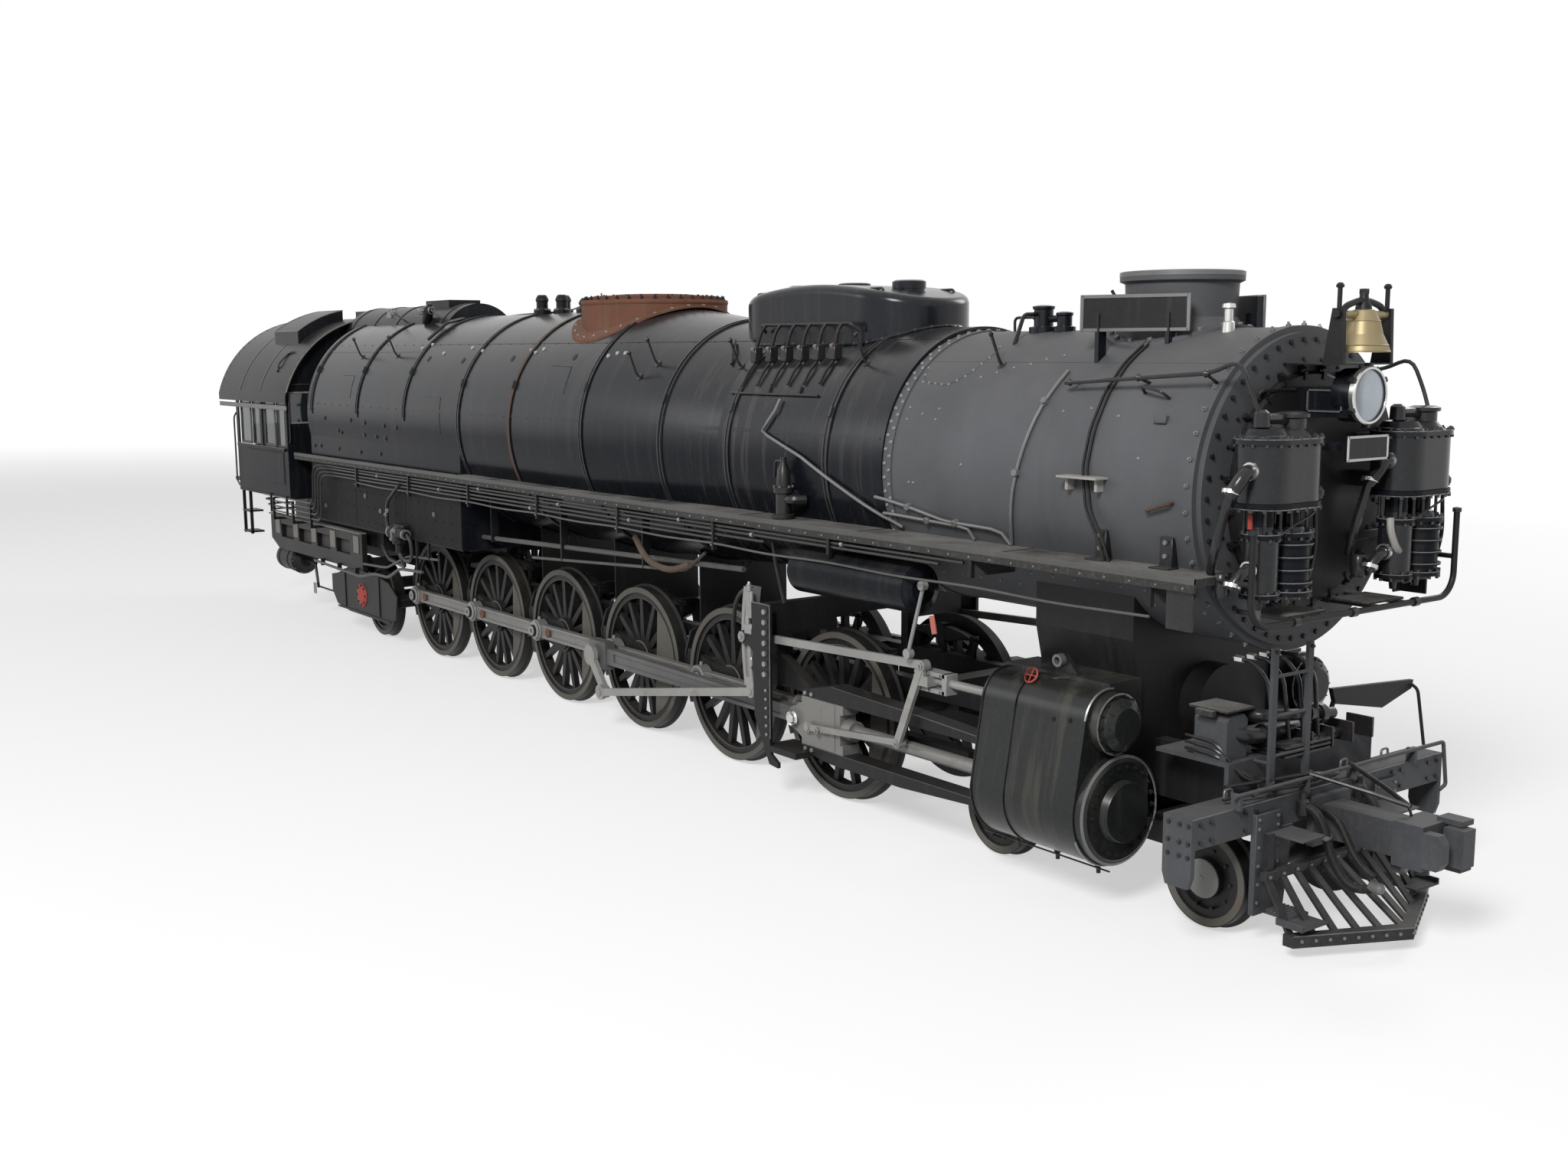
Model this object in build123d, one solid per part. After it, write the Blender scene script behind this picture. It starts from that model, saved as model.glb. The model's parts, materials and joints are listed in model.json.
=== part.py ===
from build123d import *
import math
import os

# Three-cylinder steam locomotive with six driving axles. All lengths are in millimetres.
# It is modelled with x = 0 at the fifth driving axle, +X forward, y = 0 on the centre line
# and z = 0 at the lowest point of the wheel flanges. save() then centres the length.

# Wheels and axles
pitch = 1869.0              # spacing of the six driving axles
driver_tread_d = 1655.0     # driving wheel over the tread
lead_tread_d = 762.0        # leading wheel
trail_tread_d = 1143.0      # trailing wheel
flange_h = 28.0             # flange below the tread
flange_w = 32.0             # flange thickness
tyre_w = 145.0              # tyre width
tyre_t = 75.0               # tyre thickness under the tread
rim_t = 62.0                # cast rim inside the tyre
back_gauge = 1360.0         # between the backs of a pair of wheels
lead_ahead = 4464.0         # front leading axle ahead of the first driving axle
lead_base = 2240.0          # wheelbase of the leading truck
trail_back = 2130.0         # trailing axle behind the sixth driving axle
driver_axle_d = 290.0
lead_axle_d = 170.0
trail_axle_d = 210.0
axle_run = 0.3              # running gap round an axle in its box
spokes = 15                 # spokes in a driving wheel
spoke_root = 92.0           # width of a spoke at the hub
spoke_tip = 60.0            # width of a spoke at the rim
spoke_d = 74.0              # thickness of a spoke along the axle
hub_d = 430.0
hub_proud = 15.0            # hub beyond the tyre on both sides
boss_out = 45.0             # crank boss proud of the tyre face
boss_wall = 62.0            # metal round a pin in its boss
weight_depth = 250.0        # depth of a balance weight at its middle
main_weight = 380.0         # the same on the middle axle

# Cranks and rods
crank_r = 406.0             # half the stroke
crank_deg = 176.7           # right hand crank, measured from straight ahead
crank_apart = 120.0         # the left crank is a third of a turn away
pin_d = 150.0               # side crank pins
main_pin_d = 200.0          # middle pin, where the main rod drives
rod_gap = 0.3               # running gap of a pin in its eye
side_rod_t = 120.0          # thickness of the coupling rods
side_rod_h = 170.0          # depth of the coupling rods
side_rod_off = 15.0         # coupling rod off the crank boss
flute_in = 18.0             # depth of the long recess in a rod's face
eye_wall = 62.0             # metal round a pin in a rod
short_proud = 5.0           # crank pins beside the guides, proud of the rod
long_proud = 60.0           # the other crank pins
main_rod_t = 130.0
main_rod_l = 3960.0
main_rod_h = 190.0
main_gap = 60.0             # main rod outside the coupling rod
wrist_d = 130.0
cheek_t = 30.0              # side cheeks of the crosshead
cheek_gap = 6.0
ecc_throw = 372.0           # eccentric pin from the axle centre
ecc_lag = 80.0              # degrees behind the crank
ecc_gap = 40.0
ecc_t = 55.0
gear_t = 50.0               # thickness of the eccentric rod

# Cylinders and guides
bore_d = 686.0
jacket_wall = 105.0
cyl_ahead = 2674.0          # rear of the cylinder jacket ahead of the first driving axle
cyl_l = 1130.0              # length of the jacket
chest_rise = 700.0          # valve chest centre above the cylinder centre
chest_off = 70.0            # valve chest outside the cylinder centre
chest_d = 520.0
head_t = 90.0
saddle_low = 1000.0
saddle_in = 300.0           # saddle joint inside the cylinder centre
guide_back = 86.0           # rear end of the guides behind the first driving axle
guide_w = 190.0
guide_t = 120.0
guide_half = 240.0          # guide faces from the piston rod centre
slide_gap = 2.0
piston_rod_d = 125.0
shoe_l = 640.0              # crosshead shoe length
shoe_lead = 90.0            # shoe ahead of the wrist pin
yoke_back = 546.0           # guide yoke behind the first driving axle
yoke_half = 55.0            # half thickness of the yoke's cross plate
yoke_top = 1950.0
yoke_foot = 1620.0          # cross plate's lower edge over the wheels
arm_t = 35.0
arm_half = 150.0            # half width of the outer arm at its top

# Boiler
boiler_rise = 2479.5        # smokebox centre above the driving axles
smoke_r = 1225.0
smoke_ahead = 760.0         # smokebox front ahead of the cylinders
smoke_l = 3440.0
course_l = 2600.0           # first course behind the smokebox
cone_l = 2400.0             # tapered course
barrel_l = 3350.0           # wide course
firebox_l = 6600.0
boiler_r = 1440.0
boiler_up = 115.0           # boiler centre above the smokebox centre
first_r = 1250.0            # jacketed first course
band_t = 12.0               # bands and rings proud of the jacket
band_w = 75.0
back_l = 1200.0             # slimmer rear of the firebox, inside the cab's front
back_r = 1120.0
firebox_in = 40.0           # firebox sides inside the boiler's widest part
firebox_drop = 1650.0       # firebox bottom below the boiler centre
front_t = 45.0              # smokebox front plate
door_t = 50.0               # smokebox door proud of the plate
door_r = 890.0
stack_back = 1175.0         # chimney behind the smokebox front
stack_d = 900.0
stack_rim_d = 985.0
stack_rise = 445.0          # chimney above the smokebox
stack_wall = 60.0
skirt_t = 25.0              # thin curved flanges that seat on the boiler
sand_back = 1925.0          # middle of the sand box behind the smokebox's rear end
sand_l = 2810.0
sand_w = 1250.0
sand_rise = 430.0           # sand box above the first course
sand_fall = 170.0           # fall of its top towards the ends
dome_back = 750.0           # steam dome behind the taper's rear end
dome_d = 1750.0
dome_skirt_d = 2000.0
dome_rise = 170.0           # dome above the boiler
turret_l = 3740.0           # long casing on the firebox top
turret_r = 600.0
turret_rise = 190.0         # casing above the boiler
hood_rise = 250.0           # box on the casing above the boiler
valve_rise = 240.0          # safety valves above the boiler

# Running boards and cab
board_drop = 525.0          # top of the running boards below the smokebox centre
board_y = 1500.0
board_in = 1000.0
board_t = 60.0
board_ahead = 260.0         # board's front end ahead of the smokebox
bracket_h = 180.0           # depth of the running board brackets
bracket_t = 30.0
bracket_step = 1880.0       # spacing of the brackets
reservoir_d = 440.0
reservoir_l = 1740.0
cab_over = 550.0            # cab front ahead of the firebox's rear end
cab_l = 2500.0
cab_y = 1550.0              # outside of the cab sides
cab_below = 760.0           # cab sides below the running boards
floor_below = 550.0         # top of the cab floor below the running boards
plate_t = 25.0
floor_t = 60.0
roof_front = 150.0          # roof ahead of the cab front
roof_rear = 700.0
roof_r = 1665.0
roof_drop = 175.0           # centre of the roof's arc below the boiler centre
sill_rise = 50.0            # window sill above the running boards
window_h = 830.0
post_w = 110.0              # posts beside and between the side windows
pane_y = 1160.0             # inner edge of the cab's front windows
pane_w = 320.0
pane_up = 420.0             # their lower edge above the side windows' sill
pane_h = 470.0
hatch_l = 1100.0            # raised hatch covers on both slopes of the roof
hatch_ahead = 425.0         # their middle ahead of the roof's middle
hatch_in = 330.0
hatch_out = 1100.0
hatch_lift = 160.0

# Front end
beam_ahead = 370.0          # front face of the pilot beam ahead of the smokebox
beam_t = 260.0
beam_half = 1570.0
beam_low = 880.0
beam_h = 230.0
deck_t = 30.0
deck_back = 910.0           # rear edge of the deck behind the beam's face
deck_half = 900.0
heel_ahead = 370.0          # pilot heel ahead of the beam
nose_ahead = 790.0          # pilot nose ahead of the beam
pilot_half = 860.0
pilot_bottom = 110.0
pilot_bar = 90.0
pilot_top = 540.0           # top rail of the pilot
pilot_slats = 11
coupler_z = 860.0
coupler_ahead = 1120.0      # pulling face ahead of the beam
pump_ahead = 410.0          # air pumps ahead of the smokebox
pump_y = 820.0
pump_apart = 300.0          # spacing of a pump's two cylinders
steam_r = 200.0
steam_h = 490.0
air_h = 460.0
plain_r = 130.0
fin_r = 170.0
pump_neck = 180.0           # between the steam and the air cylinders
pump_drop = 45.0            # underside of the steam cylinders below the smokebox centre
guard_ahead = 560.0
guard_half = 1260.0
guard_d = 48.0
guard_bend = 190.0
lamp_up = 725.0             # headlamp centre above the smokebox centre
lamp_d = 420.0
lamp_ahead = 580.0          # front of the headlamp ahead of the smokebox
bell_d = 400.0
bell_ahead = 490.0
bell_h = 310.0
bell_gap = 100.0            # bell lip above the headlamp
shelf_gap = 10.0            # bell stand's shelf above the headlamp
shelf_t = 12.0
ladder_half = 210.0         # half width of the front ladder
ladder_y = 410.0
step_t = 30.0

# Frame
frame_y = 540.0             # centre of a side frame
frame_t = 130.0
frame_top = 1330.0
frame_low = 620.0
rail_h = 150.0
frame_back = 350.0          # frame behind the cab
pin_bore_d = 110.0          # drawbar pin hole
pin_bore_in = 200.0
rear_low = 1180.0           # underside of the frame over the trailing wheels
pivot_back = 1080.0         # trailing truck pivot behind the sixth driving axle
pivot_d = 120.0
slab_y = 1300.0             # slotted side slab under the firebox
slab_t = 80.0
slab_low = 1150.0
slab_h = 550.0
slab_l = 4000.0
truck_y = 430.0             # inner face of the leading truck's side frame
truck_t = 130.0
truck_pin_d = 340.0
arm_y = 120.0               # trailing truck arm outside the wheels

# Places that follow from the sizes
tyre_in = back_gauge / 2
tyre_out = tyre_in + tyre_w
axle_z = flange_h + driver_tread_d / 2
lead_z = flange_h + lead_tread_d / 2
trail_z = flange_h + trail_tread_d / 2
axles = [(5 - k) * pitch for k in range(1, 7)]
lead_x1 = axles[0] + lead_ahead
lead_x2 = lead_x1 - lead_base
truck_x = (lead_x1 + lead_x2) / 2
trail_x = axles[5] - trail_back
pivot_x = axles[5] - pivot_back
box_y = tyre_out + arm_y
boss_face = tyre_out + boss_out
side_in = boss_face + side_rod_off
side_out = side_in + side_rod_t
main_in = side_out + main_gap
main_out = main_in + main_rod_t
main_y = (main_in + main_out) / 2
cheek_out = main_out + cheek_gap + cheek_t
ecc_in = main_out + ecc_gap
rod_in = ecc_in + ecc_t + 5
rod_out = rod_in + gear_t
arm_in = rod_out + 10
cyl_x0 = axles[0] + cyl_ahead
cyl_x1 = cyl_x0 + cyl_l
cyl_r = bore_d / 2 + jacket_wall
chest_z = axle_z + chest_rise
chest_y = main_y + chest_off
guide_x0 = axles[0] - guide_back
guide_x1 = cyl_x0 - head_t
yoke_x = axles[0] - yoke_back
smoke_z = axle_z + boiler_rise
smoke_x1 = cyl_x1 + smoke_ahead
smoke_x0 = smoke_x1 - smoke_l
cone_x1 = smoke_x0 - course_l
cone_x0 = cone_x1 - cone_l
firebox_x1 = cone_x0 - barrel_l
firebox_x0 = firebox_x1 - firebox_l
boiler_z = smoke_z + boiler_up
first_z = smoke_z - smoke_r + first_r
firebox_bottom = boiler_z - firebox_drop
smoke_top = smoke_z + smoke_r
boiler_top = boiler_z + boiler_r
door_x = smoke_x1 + front_t + door_t
board_z = smoke_z - board_drop
board_x1 = smoke_x1 + board_ahead
cab_x1 = firebox_x0 + cab_over
cab_x0 = cab_x1 - cab_l
cab_bottom = board_z - cab_below
floor_z = board_z - floor_below
roof_x0 = cab_x0 - roof_rear
roof_x1 = cab_x1 + roof_front
roof_z = boiler_z - roof_drop
window_z0 = board_z + sill_rise
window_z1 = window_z0 + window_h
beam_x = smoke_x1 + beam_ahead
beam_z0 = beam_low
beam_z1 = beam_low + beam_h
deck_z = frame_top
frame_x0 = cab_x0 - frame_back
frame_x1 = beam_x - beam_t
pin_bore_x = frame_x0 + pin_bore_in
coupler_x1 = beam_x + coupler_ahead
pump_x = smoke_x1 + pump_ahead
lamp_z = smoke_z + lamp_up
lamp_x1 = smoke_x1 + lamp_ahead
bell_x = smoke_x1 + bell_ahead
bell_lip = lamp_z + lamp_d / 2 + bell_gap
bell_pivot = bell_lip + bell_h - 40
x_front = coupler_x1
x_rear = roof_x0
mid_x = (x_front + x_rear) / 2

os.makedirs("parts", exist_ok=True)


def save(name, shape):
    """Write one node, moved so that the locomotive's length is centred on x = 0."""
    export_step(Pos(-mid_x, 0, 0) * shape, "parts/" + name + ".step")


def block(x0, x1, y0, y1, z0, z1):
    """A box between two corners."""
    return Pos((x0 + x1) / 2, (y0 + y1) / 2, (z0 + z1) / 2) * Box(x1 - x0, y1 - y0, z1 - z0)


def rod_x(x0, x1, y, z, r):
    """A round bar along X."""
    return Pos((x0 + x1) / 2, y, z) * Rot(0, 90, 0) * Cylinder(r, x1 - x0)


def rod_y(y0, y1, x, z, r):
    """A round bar along Y."""
    return Pos(x, (y0 + y1) / 2, z) * Rot(90, 0, 0) * Cylinder(r, y1 - y0)


def rod_z(z0, z1, x, y, r):
    """A round bar along Z."""
    return Pos(x, y, (z0 + z1) / 2) * Cylinder(r, z1 - z0)


def side_plate(points, y0, y1):
    """A plate parallel to the track: a closed outline in x and z, thick from y0 to y1."""
    face = make_face(Plane.XZ * Polyline(*points, close=True))
    return Pos(0, y1, 0) * extrude(face, amount=y1 - y0, dir=(0, -1, 0))


def cross_plate(points, x0, x1):
    """A plate across the engine: a closed outline in y and z, thick from x0 to x1."""
    face = make_face(Plane.YZ * Polyline(*points, close=True))
    return Pos(x0, 0, 0) * extrude(face, amount=x1 - x0, dir=(1, 0, 0))


def turned_z(points, x, y):
    """A form turned about a vertical axis: its outline as radius and height."""
    return Pos(x, y, 0) * revolve(make_face(Plane.XZ * Polyline(*points, close=True)), Axis.Z)


def turned_x(points, y, z):
    """A form turned about a lengthwise axis: its outline as x and radius."""
    face = make_face(Plane.XY * Polyline(*points, close=True))
    return Pos(0, y, z) * revolve(face, Axis.X)


def mirrored(shape):
    """The same piece on the other side of the engine."""
    return mirror(shape, about=Plane.XZ)


def solids_of(*shapes):
    """Keep several pieces of one node apart as separate solids."""
    found = []
    for shape in shapes:
        found += shape.solids()
    return Compound(children=found)


def pair(shape):
    """Right and left copies as one compound of separate solids."""
    return solids_of(shape, mirrored(shape))


def link_bar(x0, z0, x1, z1, y0, y1, h, r0, r1):
    """A flat bar between two eyes, lying in a plane parallel to the track."""
    length = math.hypot(x1 - x0, z1 - z0)
    tilt = math.degrees(math.atan2(z1 - z0, x1 - x0))
    bar = Pos(length / 2, 0, 0) * Box(length, y1 - y0, h)
    bar = Pos(x0, (y0 + y1) / 2, z0) * Rot(0, -tilt, 0) * bar
    return bar + rod_y(y0, y1, x0, z0, r0) + rod_y(y0, y1, x1, z1, r1)


def bent_tube(points, r, bend):
    """A round tube along straight runs joined by arcs of one radius."""
    path = FilletPolyline(*points, radius=bend)
    start = Plane(path @ 0, z_dir=path % 0)
    return sweep(start * Circle(r), path=path)


# Wheels
def tyre(tread_d):
    """Tyre and cast rim of one +Y wheel as a turned ring, flange inwards."""
    r = tread_d / 2
    inner = r - tyre_t - rim_t
    profile = [
        (inner, tyre_in),
        (r + flange_h, tyre_in),
        (r + flange_h, tyre_in + flange_w / 2),
        (r, tyre_in + flange_w),
        (r, tyre_out),
        (r - tyre_t, tyre_out),
        (r - tyre_t, tyre_out - hub_proud),
        (inner, tyre_out - hub_proud),
    ]
    return revolve(make_face(Plane.XY * Polyline(*profile, close=True)), Axis.Y)


def disc_wheel(tread_d, axle_d):
    """One +Y disc wheel of a leading or trailing pair, with a stepped hub."""
    r = tread_d / 2
    wheel = tyre(tread_d)
    wheel += rod_y(tyre_in + tyre_w * 0.3, tyre_out - tyre_w * 0.3, 0, 0, r - tyre_t)
    wheel += rod_y(tyre_in - hub_proud, tyre_out + hub_proud, 0, 0, axle_d * 0.92)
    return wheel


def disc_wheelset(tread_d, axle_d, end_y):
    """A pair of disc wheels, the axle between them and its ends in outside boxes if it has them."""
    wheel = disc_wheel(tread_d, axle_d)
    inner = tyre_in - hub_proud
    outer = tyre_out + hub_proud
    axle = rod_y(-inner, inner, 0, 0, axle_d / 2)
    if end_y > outer:
        wheel += rod_y(outer - 1, end_y, 0, 0, axle_d / 2)
    return solids_of(wheel, mirrored(wheel), axle)


def spoked_wheel(crank_angle, pin_end, pin_size, weight):
    """One driving wheel on the +Y side at the origin, its crank pin at crank_angle."""
    rim_r = driver_tread_d / 2 - tyre_t - rim_t
    wheel = tyre(driver_tread_d)
    wheel += rod_y(tyre_in - hub_proud, tyre_out + hub_proud, 0, 0, hub_d / 2)
    mid = (tyre_in + tyre_out) / 2
    reach = rim_r + 10
    outline = [(0, -spoke_root / 2), (reach, -spoke_tip / 2), (reach, spoke_tip / 2), (0, spoke_root / 2)]
    spoke = side_plate(outline, mid - spoke_d / 2, mid + spoke_d / 2)
    for i in range(spokes):
        wheel += Rot(0, -(i * 360 / spokes + crank_angle + 180 / spokes), 0) * spoke
    boss_r = pin_size / 2 + boss_wall
    boss_y0 = tyre_in + 20
    neck_r = hub_d / 2 - 30
    boss = side_plate([(0, -neck_r), (crank_r, -boss_r), (crank_r, boss_r), (0, neck_r)], boss_y0, boss_face)
    boss += rod_y(boss_y0, boss_face, crank_r, 0, boss_r)
    boss += rod_y(boss_y0, boss_face, 0, 0, neck_r)
    crescent = rod_y(tyre_in + 12, tyre_out - 20, 0, 0, rim_r + 5)
    crescent = crescent & block(-rim_r - 6, weight - rim_r, 0, tyre_out, -rim_r - 6, rim_r + 6)
    pin = rod_y(boss_face - 10, pin_end, crank_r, 0, pin_size / 2)
    return wheel + Rot(0, -crank_angle, 0) * (boss + crescent + pin)


# One row for each driving axle: pin size, outer end of its pin, depth of the balance weight.
PIN, PIN_END, WEIGHT = range(3)
short_end = side_out + short_proud
long_end = side_out + long_proud
axle_rows = [
    (pin_d, short_end, weight_depth),
    (pin_d, short_end, weight_depth),
    (main_pin_d, short_end, main_weight),
    (pin_d, long_end, weight_depth),
    (pin_d, long_end, weight_depth),
    (pin_d, long_end, weight_depth),
]
right_deg = crank_deg
left_deg = crank_deg - crank_apart
for index, row in enumerate(axle_rows):
    left = spoked_wheel(left_deg, row[PIN_END], row[PIN], row[WEIGHT])
    right = mirrored(spoked_wheel(right_deg, row[PIN_END], row[PIN], row[WEIGHT]))
    axle = rod_y(-tyre_in + hub_proud, tyre_in - hub_proud, 0, 0, driver_axle_d / 2)
    save("driver_axle_" + str(index + 1), Pos(axles[index], 0, axle_z) * solids_of(left, right, axle))

lead_set = disc_wheelset(lead_tread_d, lead_axle_d, 0)
trail_end = box_y + 140
trail_set = disc_wheelset(trail_tread_d, trail_axle_d, trail_end)
save("leading_axle_front", Pos(lead_x1, 0, lead_z) * lead_set)
save("leading_axle_rear", Pos(lead_x2, 0, lead_z) * lead_set)
save("trailing_axle", Pos(trail_x, 0, trail_z) * trail_set)


# Rods
def pin_offset(angle):
    """Crank pin place from the axle centre, in x and z."""
    return crank_r * math.cos(math.radians(angle)), crank_r * math.sin(math.radians(angle))


def coupling_rod(angle):
    """The coupling rod of the +Y side: eyes on every pin, fluted bars between them."""
    dx, dz = pin_offset(angle)
    z = axle_z + dz
    rod = None
    inset = 20.0
    for index, row in enumerate(axle_rows):
        eye_r = row[PIN] / 2 + eye_wall
        eye = rod_y(side_in, side_out, axles[index] + dx, z, eye_r)
        rod = eye if rod is None else rod + eye
        if index:
            x0, x1 = axles[index] + dx, axles[index - 1] + dx
            bar = block(x0, x1, side_in + inset, side_out - inset, z - side_rod_h / 2, z + side_rod_h / 2)
            end = main_pin_d / 2 + eye_wall + 90
            flute = block(x0 + end, x1 - end, side_out - inset - flute_in, side_out, z - side_rod_h / 2 + 38,
                          z + side_rod_h / 2 - 38)
            rod += bar - flute
    for index, row in enumerate(axle_rows):
        rod -= rod_y(side_in - 5, side_out + 5, axles[index] + dx, z, row[PIN] / 2 + rod_gap)
    return rod


save("coupling_rods_left", coupling_rod(left_deg))
save("coupling_rods_right", mirrored(coupling_rod(right_deg)))


def wrist_place(angle):
    """Wrist pin x for a crank angle, the crosshead kept on the cylinder's centre line."""
    dx, dz = pin_offset(angle)
    return axles[2] + dx + math.sqrt(main_rod_l ** 2 - dz ** 2)


def main_rod(angle):
    """Fluted main rod of the +Y side with the outer stub of the crank pin that it carries."""
    dx, dz = pin_offset(angle)
    px, pz = axles[2] + dx, axle_z + dz
    wx = wrist_place(angle)
    tilt = math.degrees(math.atan2(-dz, wx - px))
    big_r = main_pin_d / 2 + eye_wall
    small_h = main_rod_h * 0.8
    strap = big_r + 55
    rod = side_plate([(0, -main_rod_h / 2), (main_rod_l, -small_h / 2), (main_rod_l, small_h / 2),
                      (0, main_rod_h / 2)], main_in + 20, main_out - 20)
    flute = side_plate([(strap + 150, -main_rod_h / 2 + 45), (main_rod_l - 260, -small_h / 2 + 38),
                        (main_rod_l - 260, small_h / 2 - 38), (strap + 150, main_rod_h / 2 - 45)],
                       main_out - 20 - flute_in, main_out)
    rod -= flute
    rod += block(-big_r, strap, main_in, main_out, -big_r, big_r)
    rod = Pos(px, 0, pz) * Rot(0, -tilt, 0) * rod
    rod += rod_y(main_in, main_out, wx, axle_z, wrist_d / 2 + eye_wall)
    rod += rod_y(main_in - 30, ecc_in, px, pz, main_pin_d / 2)
    return rod


def crosshead(angle):
    """Crosshead between its two guides, with the wrist pin's nut and the piston rod, on +Y."""
    wx = wrist_place(angle)
    half = guide_half - slide_gap
    head_y = guide_w / 2
    shoe_x0 = wx + shoe_lead
    shoe_x1 = shoe_x0 + shoe_l
    shoe_t = 90.0
    top = axle_z + half
    low = axle_z - half
    head = block(shoe_x0, shoe_x1, main_y - head_y, main_y + head_y, top - shoe_t, top)
    head += block(shoe_x0, shoe_x1, main_y - head_y, main_y + head_y, low, low + shoe_t)
    web_x0 = wx + wrist_d / 2 + eye_wall + 40
    head += block(web_x0, shoe_x1 - 40, main_y - head_y, main_y + head_y, low + 5, top - 5)
    cheek_r = wrist_d / 2 + 55
    outline = [(wx, axle_z - cheek_r), (shoe_x0 + 120, low + 5), (shoe_x1 - 120, low + 5),
               (shoe_x1 - 120, top - 5), (shoe_x0 + 120, top - 5), (wx, axle_z + cheek_r)]
    cheek_in = main_out + cheek_gap
    head += side_plate(outline, cheek_in, cheek_out) + rod_y(cheek_in, cheek_out, wx, axle_z, cheek_r)
    far_out = main_in - cheek_gap
    far_in = far_out - cheek_t
    head += side_plate(outline, far_in, far_out) + rod_y(far_in, far_out, wx, axle_z, cheek_r)
    head += block(web_x0, shoe_x1 - 120, far_in, cheek_out, axle_z - 150, axle_z + 150)
    head += rod_y(cheek_out - 1, cheek_out + 40, wx, axle_z, wrist_d / 2)
    head += rod_x(shoe_x1 - 60, shoe_x1 + 90, main_y, axle_z, piston_rod_d / 2 + 35)
    head += rod_x(shoe_x1 + 60, cyl_x0 - head_t + 5, main_y, axle_z, piston_rod_d / 2)
    return head


save("main_rods", solids_of(mirrored(main_rod(right_deg)), main_rod(left_deg)))
save("crossheads", solids_of(mirrored(crosshead(right_deg)), crosshead(left_deg)))

# Valve gear, on +Y
link_x = yoke_x - 310
link_mid = chest_z + 25
link_reach = 500.0          # half the height of the slotted link
link_w = 150.0
slot_w = 56.0
lever_x = cyl_x0 - 920
lever_z = chest_z + 130
lever_low = axle_z + 75
radius_r = lever_x - link_x
stem_r = 38.0


def slotted_link():
    """The curved link with its slot, struck from the front end of the radius rod."""
    centre = link_x + radius_r
    y0, y1 = rod_in - 55, rod_out
    half = link_w / 2
    ring = rod_y(y0, y1, centre, link_mid, radius_r + half)
    ring -= rod_y(y0 - 1, y1 + 1, centre, link_mid, radius_r - half)
    link = ring & block(link_x - 300, link_x + 300, y0, y1, link_mid - link_reach, link_mid + link_reach)
    slot_y = rod_out - 20
    slot = rod_y(slot_y, y1 + 1, centre, link_mid, radius_r + slot_w / 2)
    slot -= rod_y(slot_y - 1, y1 + 2, centre, link_mid, radius_r - slot_w / 2)
    reach = link_reach - 90
    slot = slot & block(link_x - 300, link_x + 300, slot_y, y1 + 1, link_mid - reach, link_mid + reach)
    return link - slot


def valve_gear(angle, lag):
    """Eccentric crank and rod, link, radius rod, combination lever and union link."""
    dx, dz = pin_offset(angle)
    px, pz = axles[2] + dx, axle_z + dz
    ea = math.radians(angle + lag)
    ex, ez = axles[2] + ecc_throw * math.cos(ea), axle_z + ecc_throw * math.sin(ea)
    foot_z = link_mid - link_reach - 60
    foot_x = link_x + radius_r - math.sqrt(radius_r ** 2 - (link_reach + 60) ** 2)
    gear = link_bar(px, pz, ex, ez, ecc_in, ecc_in + ecc_t, 110, main_pin_d / 2 + 20, 75)
    gear += rod_y(ecc_in + 20, rod_out + 12, ex, ez, 45)
    gear += link_bar(ex, ez, foot_x, foot_z, rod_in, rod_out, 84, 88, 62)
    gear += rod_y(rod_in - 20, rod_out + 12, foot_x, foot_z, 34)
    gear += block(foot_x - 55, foot_x + 55, rod_in - 55, rod_out, foot_z, link_mid - link_reach + 20)
    gear += slotted_link()
    wx = wrist_place(angle)
    swing = (wx - wrist_place(right_deg)) * 0.18
    top_x = lever_x + swing * 0.4
    low_x = lever_x - 320 + swing
    tail_x = wx + shoe_lead + 170
    gear += link_bar(link_x, link_mid, top_x, lever_z, rod_in - 45, rod_in - 5, 75, 60, 52)
    gear += link_bar(top_x, lever_z, low_x, lever_low, rod_in - 5, rod_in + 35, 75, 52, 46)
    gear += link_bar(tail_x, axle_z - 40, low_x, lever_low, rod_in - 45, rod_in - 5, 58, 48, 46)
    gear += rod_y(cheek_out, rod_in + 10, tail_x, axle_z - 40, 34)
    gear += rod_y(rod_in - 50, rod_in + 50, low_x, lever_low, 28)
    gear += rod_x(top_x - 60, cyl_x0 + 10, chest_y, chest_z, stem_r)
    gear += block(top_x - 90, top_x + 90, chest_y - 60, rod_in + 30, chest_z - 45, chest_z + 45)
    gear += block(top_x - 35, top_x + 35, rod_in - 5, rod_in + 30, chest_z, lever_z)
    return gear


save("valve_gear_right", mirrored(valve_gear(right_deg, ecc_lag)))
save("valve_gear_left", valve_gear(left_deg, ecc_lag))


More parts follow.
